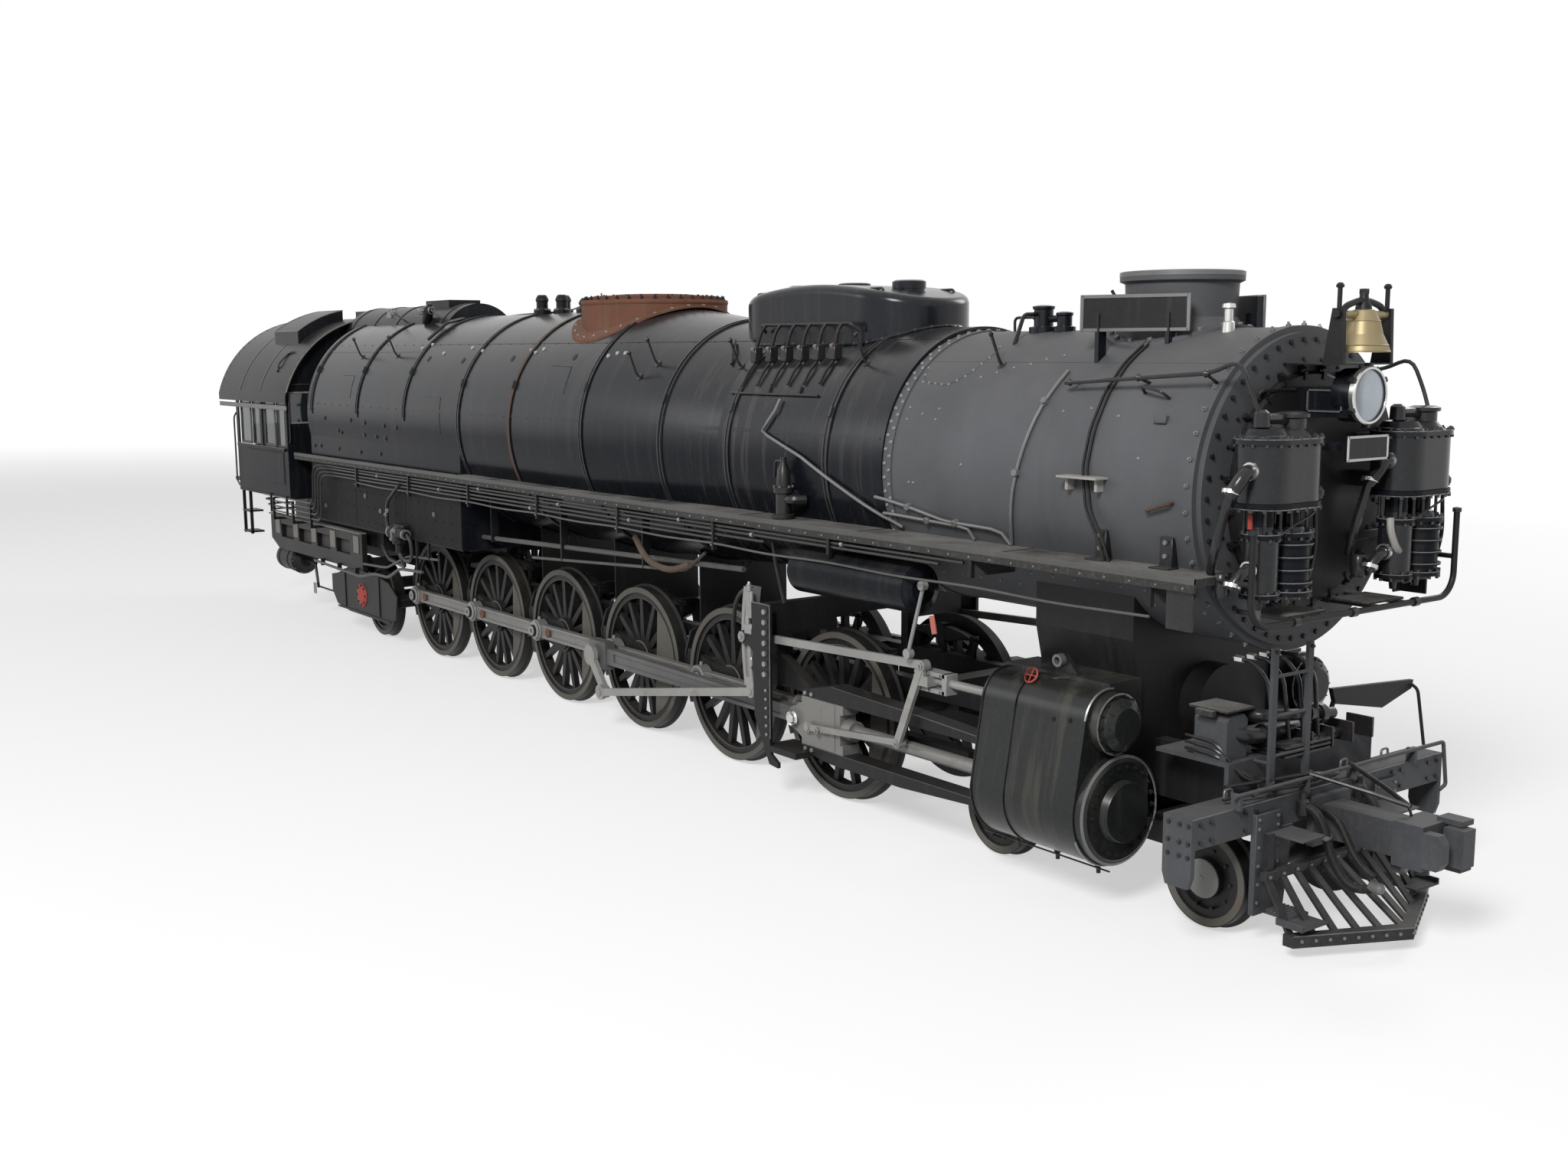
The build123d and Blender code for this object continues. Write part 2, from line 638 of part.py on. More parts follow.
# Guides and yoke
def guides():
    """Guide bars of one side, the yoke's cross plate half and the outer arm with its foot."""
    y0, y1 = main_y - guide_w / 2, main_y + guide_w / 2
    top = axle_z + guide_half
    low = axle_z - guide_half
    arm_out = arm_in + arm_t
    span = guide_x1 - guide_x0
    upper = side_plate([
        (guide_x0, top), (guide_x1, top), (guide_x1, top + 55), (guide_x0 + span * 0.55, top + guide_t),
        (guide_x0 + span * 0.17, top + guide_t + 40), (guide_x0, top + 60)], y0, y1)
    lower = side_plate([
        (guide_x0, low), (guide_x1, low), (guide_x1, low - 55), (guide_x0 + span * 0.55, low - guide_t),
        (guide_x0 + span * 0.17, low - guide_t), (guide_x0, low - 60)], y0, y1)
    cross = cross_plate([
        (frame_y - frame_t / 2, yoke_foot), (y0 - 5, yoke_foot), (y0 - 5, top + 20),
        (main_out + 30, top + 20), (main_out + 30, yoke_top - 100), (arm_out, yoke_top - 100), (arm_out, yoke_top),
        (frame_y - frame_t / 2, yoke_top)], yoke_x - yoke_half, yoke_x + yoke_half)
    post = block(yoke_x - yoke_half, yoke_x + yoke_half, frame_y - frame_t / 2, frame_y + frame_t / 2,
                 frame_top, yoke_top - 20)
    back = yoke_x - arm_half
    front = yoke_x + arm_half
    arm = side_plate([
        (back, yoke_top), (front, yoke_top), (front, low), (front + 15, low - 150), (front + 130, low - 215),
        (front + 130, low - 265), (front - 10, low - 250), (front - 80, low - 130), (back + 45, axle_z - 40)],
        arm_in, arm_out)
    lug = side_plate([
        (yoke_x, top + 20), (guide_x0 + 130, top + 20), (guide_x0 + 130, top + 70), (yoke_x + 60, top + 330),
        (yoke_x, top + 330)], main_y - 50, main_y + 50)
    shelf = block(yoke_x + 70, guide_x0 + 110, y0, arm_out, low - guide_t, low - guide_t + 60)
    holder = side_plate([
        (yoke_x - yoke_half + 5, link_mid - 75), (yoke_x - yoke_half + 5, link_mid + 75),
        (link_x - 60, link_mid + 60), (link_x - 60, link_mid - 60)], main_out + 10, rod_in - 55)
    outer = side_plate([
        (back + 60, link_mid - 90), (back + 60, link_mid + 110), (link_x - 60, link_mid + 50),
        (link_x - 60, link_mid - 60)], arm_in, arm_out)
    trunnion = rod_y(rod_out, arm_in + 1, link_x, link_mid, 48)
    return upper + lower + cross + post + arm + lug + shelf + holder + outer + trunnion


half_yoke = guides()
yoke = half_yoke + mirrored(half_yoke)
yoke += block(yoke_x - yoke_half, yoke_x + yoke_half, -frame_y, frame_y, yoke_top - 200, yoke_top)
save("guides_and_yoke", yoke)


# Cylinders
def outside_cylinder():
    """Jacket, heads and valve chest of one outside cylinder, cut at the saddle's joint."""
    ring = Plane.YZ * Pos(main_y, axle_z) * Circle(cyl_r)
    chest = Plane.YZ * Pos(chest_y, chest_z) * Circle(chest_d / 2)
    jacket = Plane.YZ * make_hull(Plane.YZ.to_local_coords(Sketch() + [ring, chest]).edges())
    body = Pos(cyl_x0, 0, 0) * extrude(jacket, amount=cyl_l, dir=(1, 0, 0))
    chest_r = chest_d / 2
    body += block(cyl_x0, cyl_x1, main_y - saddle_in, chest_y, chest_z, chest_z + chest_r + 40)
    body += block(cyl_x0, cyl_x1, main_y - saddle_in, main_y, axle_z, chest_z)
    body = body & block(cyl_x0, cyl_x1, main_y - saddle_in, main_y + 2 * cyl_r, 0, 2 * chest_z)
    rim = turned_x([(cyl_x1, 0), (cyl_x1, cyl_r - 12), (cyl_x1 + head_t - 25, cyl_r - 12),
                    (cyl_x1 + head_t, cyl_r - 60), (cyl_x1 + head_t, cyl_r - 200),
                    (cyl_x1 + head_t + 60, cyl_r - 230), (cyl_x1 + head_t + 60, 0)], main_y, axle_z)
    body += rim & block(cyl_x1, cyl_x1 + 400, main_y - saddle_in, main_y + cyl_r, 0, 2 * axle_z)
    body += rod_x(guide_x1, cyl_x0, main_y, axle_z, cyl_r - 130)
    body += turned_x([(cyl_x1, 0), (cyl_x1, chest_r - 20), (cyl_x1 + 100, chest_r - 20),
                      (cyl_x1 + 100, chest_r - 55), (cyl_x1 + 150, chest_r - 55),
                      (cyl_x1 + 190, chest_r - 120), (cyl_x1 + 190, 0)], chest_y, chest_z)
    body += turned_x([(cyl_x0 - 120, 0), (cyl_x0 - 120, 90), (cyl_x0 - 70, chest_r - 75),
                      (cyl_x0, chest_r - 40), (cyl_x0, 0)], chest_y, chest_z)
    lug_x = cyl_x0 + cyl_l * 0.45
    body += side_plate([(lug_x, chest_z + chest_r - 30), (lug_x + 330, chest_z + chest_r - 30),
                        (lug_x + 110, chest_z + chest_r + 190), (lug_x + 40, chest_z + chest_r + 190)],
                       chest_y - 80, chest_y - 40)
    body -= rod_x(guide_x1 - 1, cyl_x0 + 30, main_y, axle_z, piston_rod_d / 2 + 1)
    body -= rod_x(cyl_x0 - 121, cyl_x0 + 30, chest_y, chest_z, stem_r + 1)
    return body


save("outside_cylinders", pair(outside_cylinder()))

saddle_half = main_y - saddle_in
saddle_top = chest_z + chest_d / 2 + 40
waist = 900.0
saddle = cross_plate([
    (-saddle_half, saddle_low), (saddle_half, saddle_low), (saddle_half, saddle_top),
    (waist, smoke_z - smoke_r + 40), (waist, smoke_z - 820), (-waist, smoke_z - 820),
    (-waist, smoke_z - smoke_r + 40), (-saddle_half, saddle_top)], cyl_x0 + 40, cyl_x1 - 40)
smoke_body = rod_x(smoke_x0, smoke_x1, 0, smoke_z, smoke_r)
saddle -= smoke_body
saddle += rod_x(cyl_x1 - 50, cyl_x1 + 160, 0, chest_z, 330)
frame_slot = block(cyl_x0, cyl_x1, frame_y - frame_t / 2, frame_y + frame_t / 2, frame_low, frame_top)
saddle -= frame_slot
saddle -= mirrored(frame_slot)
save("cylinder_saddle", saddle)

# Frame
frame_in = frame_y - frame_t / 2
frame_out = frame_y + frame_t / 2
side_frame = block(frame_x0, frame_x1, frame_in, frame_out, frame_low, frame_top)
jaw = 300.0                 # metal on both sides of an axle box
windows = [(axles[i + 1] + jaw, axles[i] - jaw) for i in range(5)]
windows.append((pivot_x + 150, axles[5] - jaw))
windows.append((axles[0] + jaw, cyl_x0 + 20))
for x0, x1 in windows:
    side_frame -= block(x0, x1, frame_in - 1, frame_out + 1, frame_low + rail_h, frame_top - rail_h)
for x in axles:
    side_frame -= rod_y(frame_in - 1, frame_out + 1, x, axle_z, driver_axle_d / 2 + axle_run)
clear_lead = lead_z + lead_tread_d / 2 + flange_h + 60
side_frame -= block(lead_x2 - 620, frame_x1 + 1, 0, frame_out + 1, frame_low - 1, clear_lead)
side_frame -= block(frame_x0 - 1, pivot_x, 0, frame_out + 1, frame_low - 1, rear_low)
pivot_low = trail_z + 130 + axle_run
side_frame += block(pivot_x - 60, pivot_x + 110, frame_in, frame_out, pivot_low, frame_top)
tie_half = 110.0
ties = []
for x in [axles[i] + pitch / 2 for i in range(1, 6)] + [axles[0] + 1050, trail_x + 1000, trail_x - 1600]:
    ties.append(block(x - tie_half, x + tie_half, -frame_in, frame_in, frame_top - rail_h, frame_top))
bolster = block(pivot_x - tie_half, pivot_x + tie_half, -frame_in, frame_in, pivot_low, pivot_low + 120)
bolster -= rod_z(pivot_low - 1, pivot_low + 121, pivot_x, 0, pivot_d / 2 + axle_run)
pocket = block(frame_x0, frame_x0 + 500, -frame_in, frame_in, frame_top - 330, frame_top)
pocket -= rod_z(frame_low, frame_top + 1, pin_bore_x, 0, pin_bore_d / 2)
front_tie = block(frame_x1 - 200, frame_x1, -frame_in, frame_in, frame_top - 240, frame_top)


def side_slab():
    """Slotted slab beside the ash pan with four notches, carried by two cross bars from the frame."""
    x1 = axles[5] - 1431
    x0 = x1 - slab_l
    slab = side_plate([(x0, slab_low + 150), (x0 + 350, slab_low), (x1, slab_low), (x1, slab_low + slab_h),
                       (x0, slab_low + slab_h)], slab_y, slab_y + slab_t)
    for i in range(4):
        left = x0 + 500 + i * 820
        slab -= block(left, left + 560, slab_y - 1, slab_y + slab_t + 1, slab_low + 200, slab_low + 420)
    for x in (x0 + 350, x1 - 250):
        slab += block(x, x + 120, frame_out, slab_y + 5, frame_top - 140, frame_top - 20)
    return slab


save("main_frame", solids_of(side_frame, mirrored(side_frame), *ties, bolster, pocket, front_tie,
                             side_slab(), mirrored(side_slab())))


# Boiler
def boiler_band(x, r, z):
    """A jacket band round the barrel."""
    return rod_x(x - band_w / 2, x + band_w / 2, 0, z, r + band_t)


def skirt(x, d, r, z):
    """A thin round flange bent to the boiler that it sits on, under a dome or chimney."""
    shell = rod_x(x - d, x + d, 0, z, r + skirt_t) - rod_x(x - d, x + d, 0, z, r)
    return shell & rod_z(z + 100, z + 2 * r, x, 0, d / 2)


barrel = rod_x(cone_x1, smoke_x0, 0, first_z, first_r)
wide_end = Plane((cone_x0, 0, boiler_z), x_dir=(0, 1, 0), z_dir=(1, 0, 0)) * Circle(boiler_r)
slim_end = Plane((cone_x1, 0, first_z), x_dir=(0, 1, 0), z_dir=(1, 0, 0)) * Circle(first_r)
barrel += loft([wide_end, slim_end])
barrel += rod_x(firebox_x1, cone_x0, 0, boiler_z, boiler_r)
for share in (0.02, 0.45, 0.98):
    barrel += boiler_band(firebox_x1 + barrel_l * share, boiler_r, boiler_z)
for share in (0.07, 0.69):
    barrel += boiler_band(cone_x1 + course_l * share, first_r, first_z)
save("boiler", barrel)

smokebox = smoke_body
smokebox += rod_x(smoke_x0, smoke_x0 + 110, 0, smoke_z, smoke_r + band_t)
smokebox += rod_x(smoke_x1 - 90, smoke_x1, 0, smoke_z, smoke_r + band_t)
save("smokebox", smokebox)

front_plate = turned_x([
    (smoke_x1, 0), (smoke_x1, smoke_r - 35), (smoke_x1 + front_t, smoke_r - 35), (smoke_x1 + front_t, door_r),
    (door_x - 15, door_r), (door_x, door_r - 20), (door_x, 480), (door_x + 35, 330), (door_x + 50, 150),
    (door_x + 52, 0)], 0, smoke_z)
save("smokebox_front", front_plate)

step_x = firebox_x0 + back_l
back_half = back_r - firebox_in
fire_half = boiler_r - firebox_in
firebox = rod_x(step_x, firebox_x1, 0, boiler_z, boiler_r)
firebox += block(step_x, firebox_x1, -fire_half, fire_half, firebox_bottom, boiler_z)
firebox += rod_x(firebox_x0, step_x, 0, boiler_z, back_r)
firebox += block(firebox_x0, step_x, -back_half, back_half, firebox_bottom, boiler_z)
firebox -= block(firebox_x0 - 1, firebox_x1 + 1, -boiler_r - 1, boiler_r + 1, 0, firebox_bottom)
crown = block(firebox_x0, firebox_x1, -2 * boiler_r, 2 * boiler_r, boiler_z, boiler_z + 2 * boiler_r)
for share in (0.21, 0.49, 0.745):
    firebox += boiler_band(firebox_x0 + firebox_l * share, boiler_r, boiler_z) & crown
save("firebox", firebox)

ash_half = 1180.0
ash_pan = cross_plate([
    (-ash_half, firebox_bottom), (ash_half, firebox_bottom), (ash_half, firebox_bottom - 300),
    (700, firebox_bottom - 440), (-700, firebox_bottom - 440), (-ash_half, firebox_bottom - 300)],
    firebox_x0 + 300, firebox_x0 + 3400)
save("ash_pan", ash_pan)

# On top of the boiler
stack_x = smoke_x1 - stack_back
stack_top = smoke_top + stack_rise
stack_r = stack_d / 2
stack_in = stack_r - stack_wall
stack = turned_z([
    (stack_in, smoke_top + 60), (stack_in, stack_top), (stack_rim_d / 2, stack_top),
    (stack_rim_d / 2, stack_top - 70), (stack_r, stack_top - 90), (stack_r - 12, smoke_top + 90),
    (stack_r + 60, smoke_top - 20), (stack_r + 60, smoke_top - 260), (0, smoke_top - 260),
    (0, smoke_top + 60)], stack_x, 0)
stack += skirt(stack_x, stack_d + 290, smoke_r, smoke_z)
stack -= smoke_body
save("stack", stack.solids().sort_by(SortBy.VOLUME)[-1])

sand_mid = smoke_x0 - sand_back
first_top = first_z + first_r
sand_top = first_top + sand_rise
sand_base = first_top - 320
sand_plan = Pos(sand_mid, 0, sand_base) * extrude(SlotOverall(sand_l, sand_w), amount=sand_top - sand_base)
crown_line = Plane.XZ * ThreePointArc(
    (sand_mid - sand_l / 2, sand_top - sand_fall), (sand_mid, sand_top),
    (sand_mid + sand_l / 2, sand_top - sand_fall))
sand_sides = Plane.XZ * Polyline(
    (sand_mid + sand_l / 2, sand_top - sand_fall), (sand_mid + sand_l / 2, sand_base),
    (sand_mid - sand_l / 2, sand_base), (sand_mid - sand_l / 2, sand_top - sand_fall))
sand_form = extrude(make_face([crown_line, sand_sides]), amount=sand_w, both=True)
sand_box = sand_plan & sand_form
sand_box = fillet(sand_box.faces().sort_by(Axis.Z)[-1].edges(), 90)
sand_box -= barrel
for dx in (-0.3, 0, 0.3):
    sand_box += rod_z(sand_top - 120, sand_top + 20, sand_mid + dx * sand_l, 0, 150)
save("sand_box", sand_box)

dome_x = cone_x0 - dome_back
dome_top = boiler_top + dome_rise
dome_r = dome_d / 2
dome = turned_z([
    (0, boiler_z + 800), (dome_r, boiler_z + 800), (dome_r, dome_top - 130), (dome_r - 45, dome_top - 75),
    (dome_r - 90, dome_top - 75), (dome_r - 90, dome_top - 25), (dome_r - 330, dome_top - 10),
    (dome_r - 420, dome_top), (0, dome_top)], dome_x, 0)
dome += skirt(dome_x, dome_skirt_d, boiler_r, boiler_z)
dome -= barrel
save("steam_dome", dome.solids().sort_by(SortBy.VOLUME)[-1])

# One row for each fitting on top of the firebox and barrel: x ahead of the firebox front, y, radius, rise.
FIT_X, FIT_Y, FIT_R, FIT_UP = range(4)
fittings = [
    (60.0, -170.0, 75.0, valve_rise),
    (60.0, 170.0, 75.0, valve_rise),
    (290.0, 0.0, 75.0, valve_rise),
    (960.0, 0.0, 95.0, valve_rise - 60),
]
casing_x0 = roof_x1 + 5
casing_x1 = casing_x0 + turret_l
casing_z = boiler_top + turret_rise - turret_r
casing = rod_x(casing_x0, casing_x1, 0, casing_z, turret_r)
hood_x = casing_x1 - 900
casing += block(hood_x - 400, hood_x + 400, -250, 250, boiler_top - 20, boiler_top + hood_rise)
casing -= firebox
fitting_solids = []
for row in fittings:
    fx = firebox_x1 + row[FIT_X]
    low = boiler_top - 60
    rise = boiler_top + row[FIT_UP]
    r = row[FIT_R]
    fitting = turned_z([
        (0, low), (r * 1.5, low), (r * 1.5, boiler_top + 40), (r, boiler_top + 60), (r, rise - 30),
        (r * 0.7, rise), (0, rise)], fx, row[FIT_Y])
    fitting_solids.append(fitting - barrel - firebox)
save("turret", solids_of(casing.solids().sort_by(SortBy.VOLUME)[-1], *fitting_solids))

board_len = 850.0
board_h = 260.0
board_mid_x = smoke_x1 - 1121
board_mid_y = 605.0
board_turn = 24.2
number_z = smoke_top - 10 + board_h / 2
number_board = Pos(board_mid_x, board_mid_y, number_z) * Rot(0, 0, -board_turn) * Box(board_len, 60, board_h)
for along in (-0.33, 0.33):
    foot_x = board_mid_x + along * board_len * math.cos(math.radians(board_turn))
    foot_y = board_mid_y - along * board_len * math.sin(math.radians(board_turn))
    foot = block(foot_x - 20, foot_x + 20, foot_y - 45, foot_y + 45, smoke_top - 500, number_z)
    number_board += foot - smoke_body
save("number_boxes", pair(number_board))

# Running boards
board = block(cab_x1 + 120, board_x1, board_in, board_y, board_z - board_t, board_z)
board += block(cab_x1 + 120, board_x1, board_y - 25, board_y, board_z - board_t - 40, board_z)
board -= block(cab_x1, firebox_x1 + 1, 0, boiler_r + 2, 0, 2 * board_z)
board -= block(pump_x - steam_r - 20, board_x1 + 1, 0, pump_y + pump_apart / 2 + steam_r + 40, 0, 2 * board_z)
bracket_low = board_z - board_t - bracket_h
first_bracket = firebox_x1 + 350
x = first_bracket
while x < board_x1 - bracket_t:
    board += cross_plate([
        (board_in - 20, board_z - board_t), (board_y - 60, board_z - board_t),
        (board_y - 60, board_z - board_t - 70), (board_y - 200, bracket_low),
        (board_in - 20, bracket_low)], x - bracket_t / 2, x + bracket_t / 2)
    x += bracket_step
board -= barrel
board -= smokebox
board -= front_plate
board = board & block(cab_x1, board_x1 + 1, 0, 2 * board_y, 0, 2 * board_z)
save("running_boards", pair(board.solids().sort_by(SortBy.VOLUME)[-1]))


# Cab
def arc_band(r0, r1, x0, x1, y_lim, z_min):
    """A slice of a round shell along X, kept above z_min and within y_lim each side."""
    shell = rod_x(x0, x1, 0, roof_z, r1) - rod_x(x0 - 1, x1 + 1, 0, roof_z, r0)
    return shell & block(x0, x1, -y_lim, y_lim, z_min, roof_z + r1 + 1)


roof_in = roof_r - plate_t
roof_lim = cab_y + 60
roof = arc_band(roof_in, roof_r, roof_x0, roof_x1, roof_lim, roof_z + 200)
hatch_x = (roof_x0 + roof_x1) / 2 + hatch_ahead


def hatch_form(inset, low_r):
    """The raised hatch on the left slope, or the hollow inside it, from a radius up."""
    x0 = hatch_x - hatch_l / 2 + inset
    x1 = hatch_x + hatch_l / 2 - inset
    form = rod_x(x0, x1, 0, roof_z, roof_r + hatch_lift - inset) - rod_x(x0 - 1, x1 + 1, 0, roof_z, low_r)
    return form & block(x0, x1, hatch_in + inset, hatch_out - inset, roof_z, roof_z + 2 * roof_r)


hatch = hatch_form(0, roof_in)
hollow = hatch_form(plate_t, roof_in - 1)
roof += hatch + mirrored(hatch)
roof -= hollow
roof -= mirrored(hollow)
save("cab_roof", roof)

eave_z = roof_z + math.sqrt(roof_in ** 2 - cab_y ** 2)
side = block(cab_x0, cab_x1 - plate_t, cab_y - plate_t, cab_y, cab_bottom, eave_z - 4)
win_l = (cab_l - 3 * post_w) / 2
for i in range(2):
    win_x0 = cab_x0 + post_w + i * (win_l + post_w)
    side -= block(win_x0, win_x0 + win_l, cab_y - 2 * plate_t, cab_y + 1, window_z0, window_z1)
sill = block(cab_x0 + post_w - 20, cab_x1 - post_w + 20, cab_y - 1, cab_y + 35, window_z0 - 45, window_z0)
side += sill
save("cab_sides", pair(side))

fire_gap = 5.0
front_wall = rod_x(cab_x1 - plate_t, cab_x1, 0, roof_z, roof_in)
front_wall = front_wall & block(cab_x1 - plate_t, cab_x1, -cab_y, cab_y, roof_z, roof_z + roof_r)
front_wall += block(cab_x1 - plate_t, cab_x1, -cab_y, cab_y, cab_bottom, roof_z)
fire_hole_r = back_r + fire_gap
front_wall -= rod_x(cab_x1 - 100, cab_x1 + 1, 0, boiler_z, fire_hole_r)
front_wall -= block(cab_x1 - 100, cab_x1 + 1, -fire_hole_r, fire_hole_r, 0, boiler_z)
pane_z = window_z0 + pane_up
pane = block(cab_x1 - 100, cab_x1 + 1, pane_y, pane_y + pane_w, pane_z, pane_z + pane_h)
front_wall -= pane
front_wall -= mirrored(pane)
save("cab_front", front_wall)

floor_half = cab_y - plate_t
cab_floor = block(cab_x0 - 300, cab_x1 - plate_t, -floor_half, floor_half, floor_z - floor_t, floor_z)
cab_floor -= block(firebox_x0, cab_x1, -back_r, back_r, 0, 2 * floor_z)
leg = block(cab_x0, cab_x1 - 700, frame_y - 60, frame_y + 60, frame_top, floor_z - floor_t)
cab_floor += leg
cab_floor += mirrored(leg)
save("cab_floor", cab_floor)

# Front end
beam = block(frame_x1, beam_x, -beam_half, beam_half, beam_z0, beam_z1)
beam += block(frame_x1, frame_x1 + 40, -deck_half, deck_half, beam_z1 - 1, deck_z)
beam += block(beam_x - deck_back, frame_x1 + 40, -deck_half, deck_half, deck_z, deck_z + deck_t)
end_plate = side_plate([
    (frame_x1 + 30, beam_z0 - 290), (beam_x - 30, beam_z0 - 290), (beam_x, beam_z0 - 200),
    (beam_x, beam_z0 + 20), (frame_x1, beam_z0 + 20), (frame_x1, beam_z0 - 200)], beam_half - 40, beam_half)
beam += end_plate
beam += mirrored(end_plate)
deck_box = cross_plate([
    (-620, deck_z + deck_t), (-860, deck_z + deck_t), (-860, deck_z + 330), (-820, deck_z + 370),
    (-660, deck_z + 370), (-620, deck_z + 330)], frame_x1 - 320, frame_x1 - 20)
beam += deck_box

# The ladder stands on the beam and leans on the deck's edge, on the engine's right.
ladder_x = beam_x - 60
ladder_top = deck_z + 900
rung_step = 300.0
for sy in (-1, 1):
    rail_y = -ladder_y + sy * ladder_half
    beam += block(ladder_x - 15, ladder_x + 15, rail_y - 30, rail_y + 30, beam_z1 - 5, ladder_top)
rung_z = beam_z1 + rung_step
while rung_z < ladder_top:
    beam += rod_y(-ladder_y - ladder_half, -ladder_y + ladder_half, ladder_x, rung_z, 14)
    rung_z += rung_step
brace_z = deck_z + deck_t / 2
for sy in (-1, 1):
    rail_y = -ladder_y + sy * (ladder_half - 20)
    beam += rod_x(frame_x1 + 30, ladder_x, rail_y, brace_z, 15)

# Steps below the beam on both sides of the coupler.
step_in = 430.0
step_out = 715.0
step_low = 250.0
for sy in (-1, 1):
    hanger = cross_plate([
        (sy * step_in, beam_z0 + 5), (sy * step_out, beam_z0 + 5), (sy * (step_out + 20), step_low),
        (sy * (step_in + 90), step_low)], beam_x - 20, beam_x + 20)
    beam += hanger
    tread = block(beam_x - 20, beam_x + 250, min(sy * (step_in + 90), sy * (step_out + 20)),
                  max(sy * (step_in + 90), sy * (step_out + 20)), step_low, step_low + step_t)
    beam += tread

# Uncoupling rod in front of the beam, with its posts and the hooked end on the left.
lift_x = beam_x + 45
lift_z = beam_z1 + 110
lift_r = 16.0
lift_rod = bent_tube([
    (lift_x, -1170, lift_z), (lift_x, 1500, lift_z), (lift_x, 1570, beam_z0 - 30),
    (lift_x, 1480, beam_z0 - 60)], lift_r, 30)
beam += lift_rod
for y in (-1100, -300, 300, 1100):
    beam += block(beam_x - 25, lift_x + 10, y - 15, y + 15, beam_z1 - 5, lift_z + 5)
save("pilot_beam", beam)

head_x0 = coupler_x1 - 430
coupler = block(beam_x, head_x0 + 10, -120, 120, coupler_z - 130, coupler_z + 130)
coupler += block(beam_x, beam_x + 60, -230, 230, coupler_z - 190, min(coupler_z + 190, beam_z1 - 20))
coupler += block(head_x0, coupler_x1 - 190, -190, 190, coupler_z - 165, coupler_z + 165)
coupler += side_plate([
    (coupler_x1 - 200, coupler_z - 130), (coupler_x1 - 70, coupler_z - 130),
    (coupler_x1 - 30, coupler_z - 70), (coupler_x1 - 30, coupler_z + 70),
    (coupler_x1 - 70, coupler_z + 130), (coupler_x1 - 200, coupler_z + 130)], -200, -110)
coupler += rod_z(coupler_z - 240, coupler_z - 160, coupler_x1 - 300, 0, 55)
knuckle_x = coupler_x1 - 120
knuckle_y = 150.0
knuckle_half = 150.0
lug_x0 = coupler_x1 - 250
lug_y0, lug_y1 = knuckle_y - 70, knuckle_y + 75
lug_z = knuckle_half + rod_gap
coupler += block(lug_x0, knuckle_x + 70, lug_y0, lug_y1, coupler_z + lug_z, coupler_z + lug_z + 40)
coupler += block(lug_x0, coupler_x1 - 195, lug_y0, lug_y1, coupler_z - lug_z - 40, coupler_z + lug_z + 40)
coupler += block(lug_x0, knuckle_x + 70, lug_y0, lug_y1, coupler_z - lug_z - 40, coupler_z - lug_z)
save("coupler", coupler)
knuckle = rod_z(coupler_z - knuckle_half, coupler_z + knuckle_half, knuckle_x, knuckle_y, 60)
knuckle += block(
    knuckle_x - 40, coupler_x1, knuckle_y - 130, knuckle_y + 20, coupler_z - 140, coupler_z + 140)
save("coupler_knuckle", knuckle)


def pilot():
    """V-shaped pilot: a bottom bar, a top rail and sloping flat bars between them."""
    heel = beam_x + heel_ahead
    nose = beam_x + nose_ahead
    half = pilot_half
    outline = [(heel, -half), (nose, 0), (heel, half), (heel - 90, half), (nose - 110, 0), (heel - 90, -half)]
    low_bar = extrude(make_face(Polyline(*outline, close=True)), amount=pilot_bar)
    shape = Pos(0, 0, pilot_bottom) * low_bar
    rail_x = beam_x + 90
    shape += block(rail_x - 30, rail_x + 30, -half, half, pilot_top, pilot_top + 60)
    hang_y = half - 60
    for y in (-hang_y, hang_y - 60):
        shape += block(beam_x - 60, rail_x, y, y + 60, pilot_top, beam_z0)
    foot_z = pilot_bottom + pilot_bar / 2
    for i in range(pilot_slats):
        t = -1 + 2 * i / (pilot_slats - 1)
        y = t * (half - 40)
        foot_x = nose - abs(y) / half * (nose - heel) - 60
        rise = pilot_top + 30 - foot_z
        length = math.hypot(foot_x - rail_x, rise)
        tilt = math.degrees(math.atan2(rise, foot_x - rail_x))
        slat = Pos(length / 2, 0, 0) * Box(length, 64, 22)
        shape += Pos(rail_x, y, pilot_top + 30) * Rot(0, tilt, 0) * slat
    return shape


save("pilot", pilot())


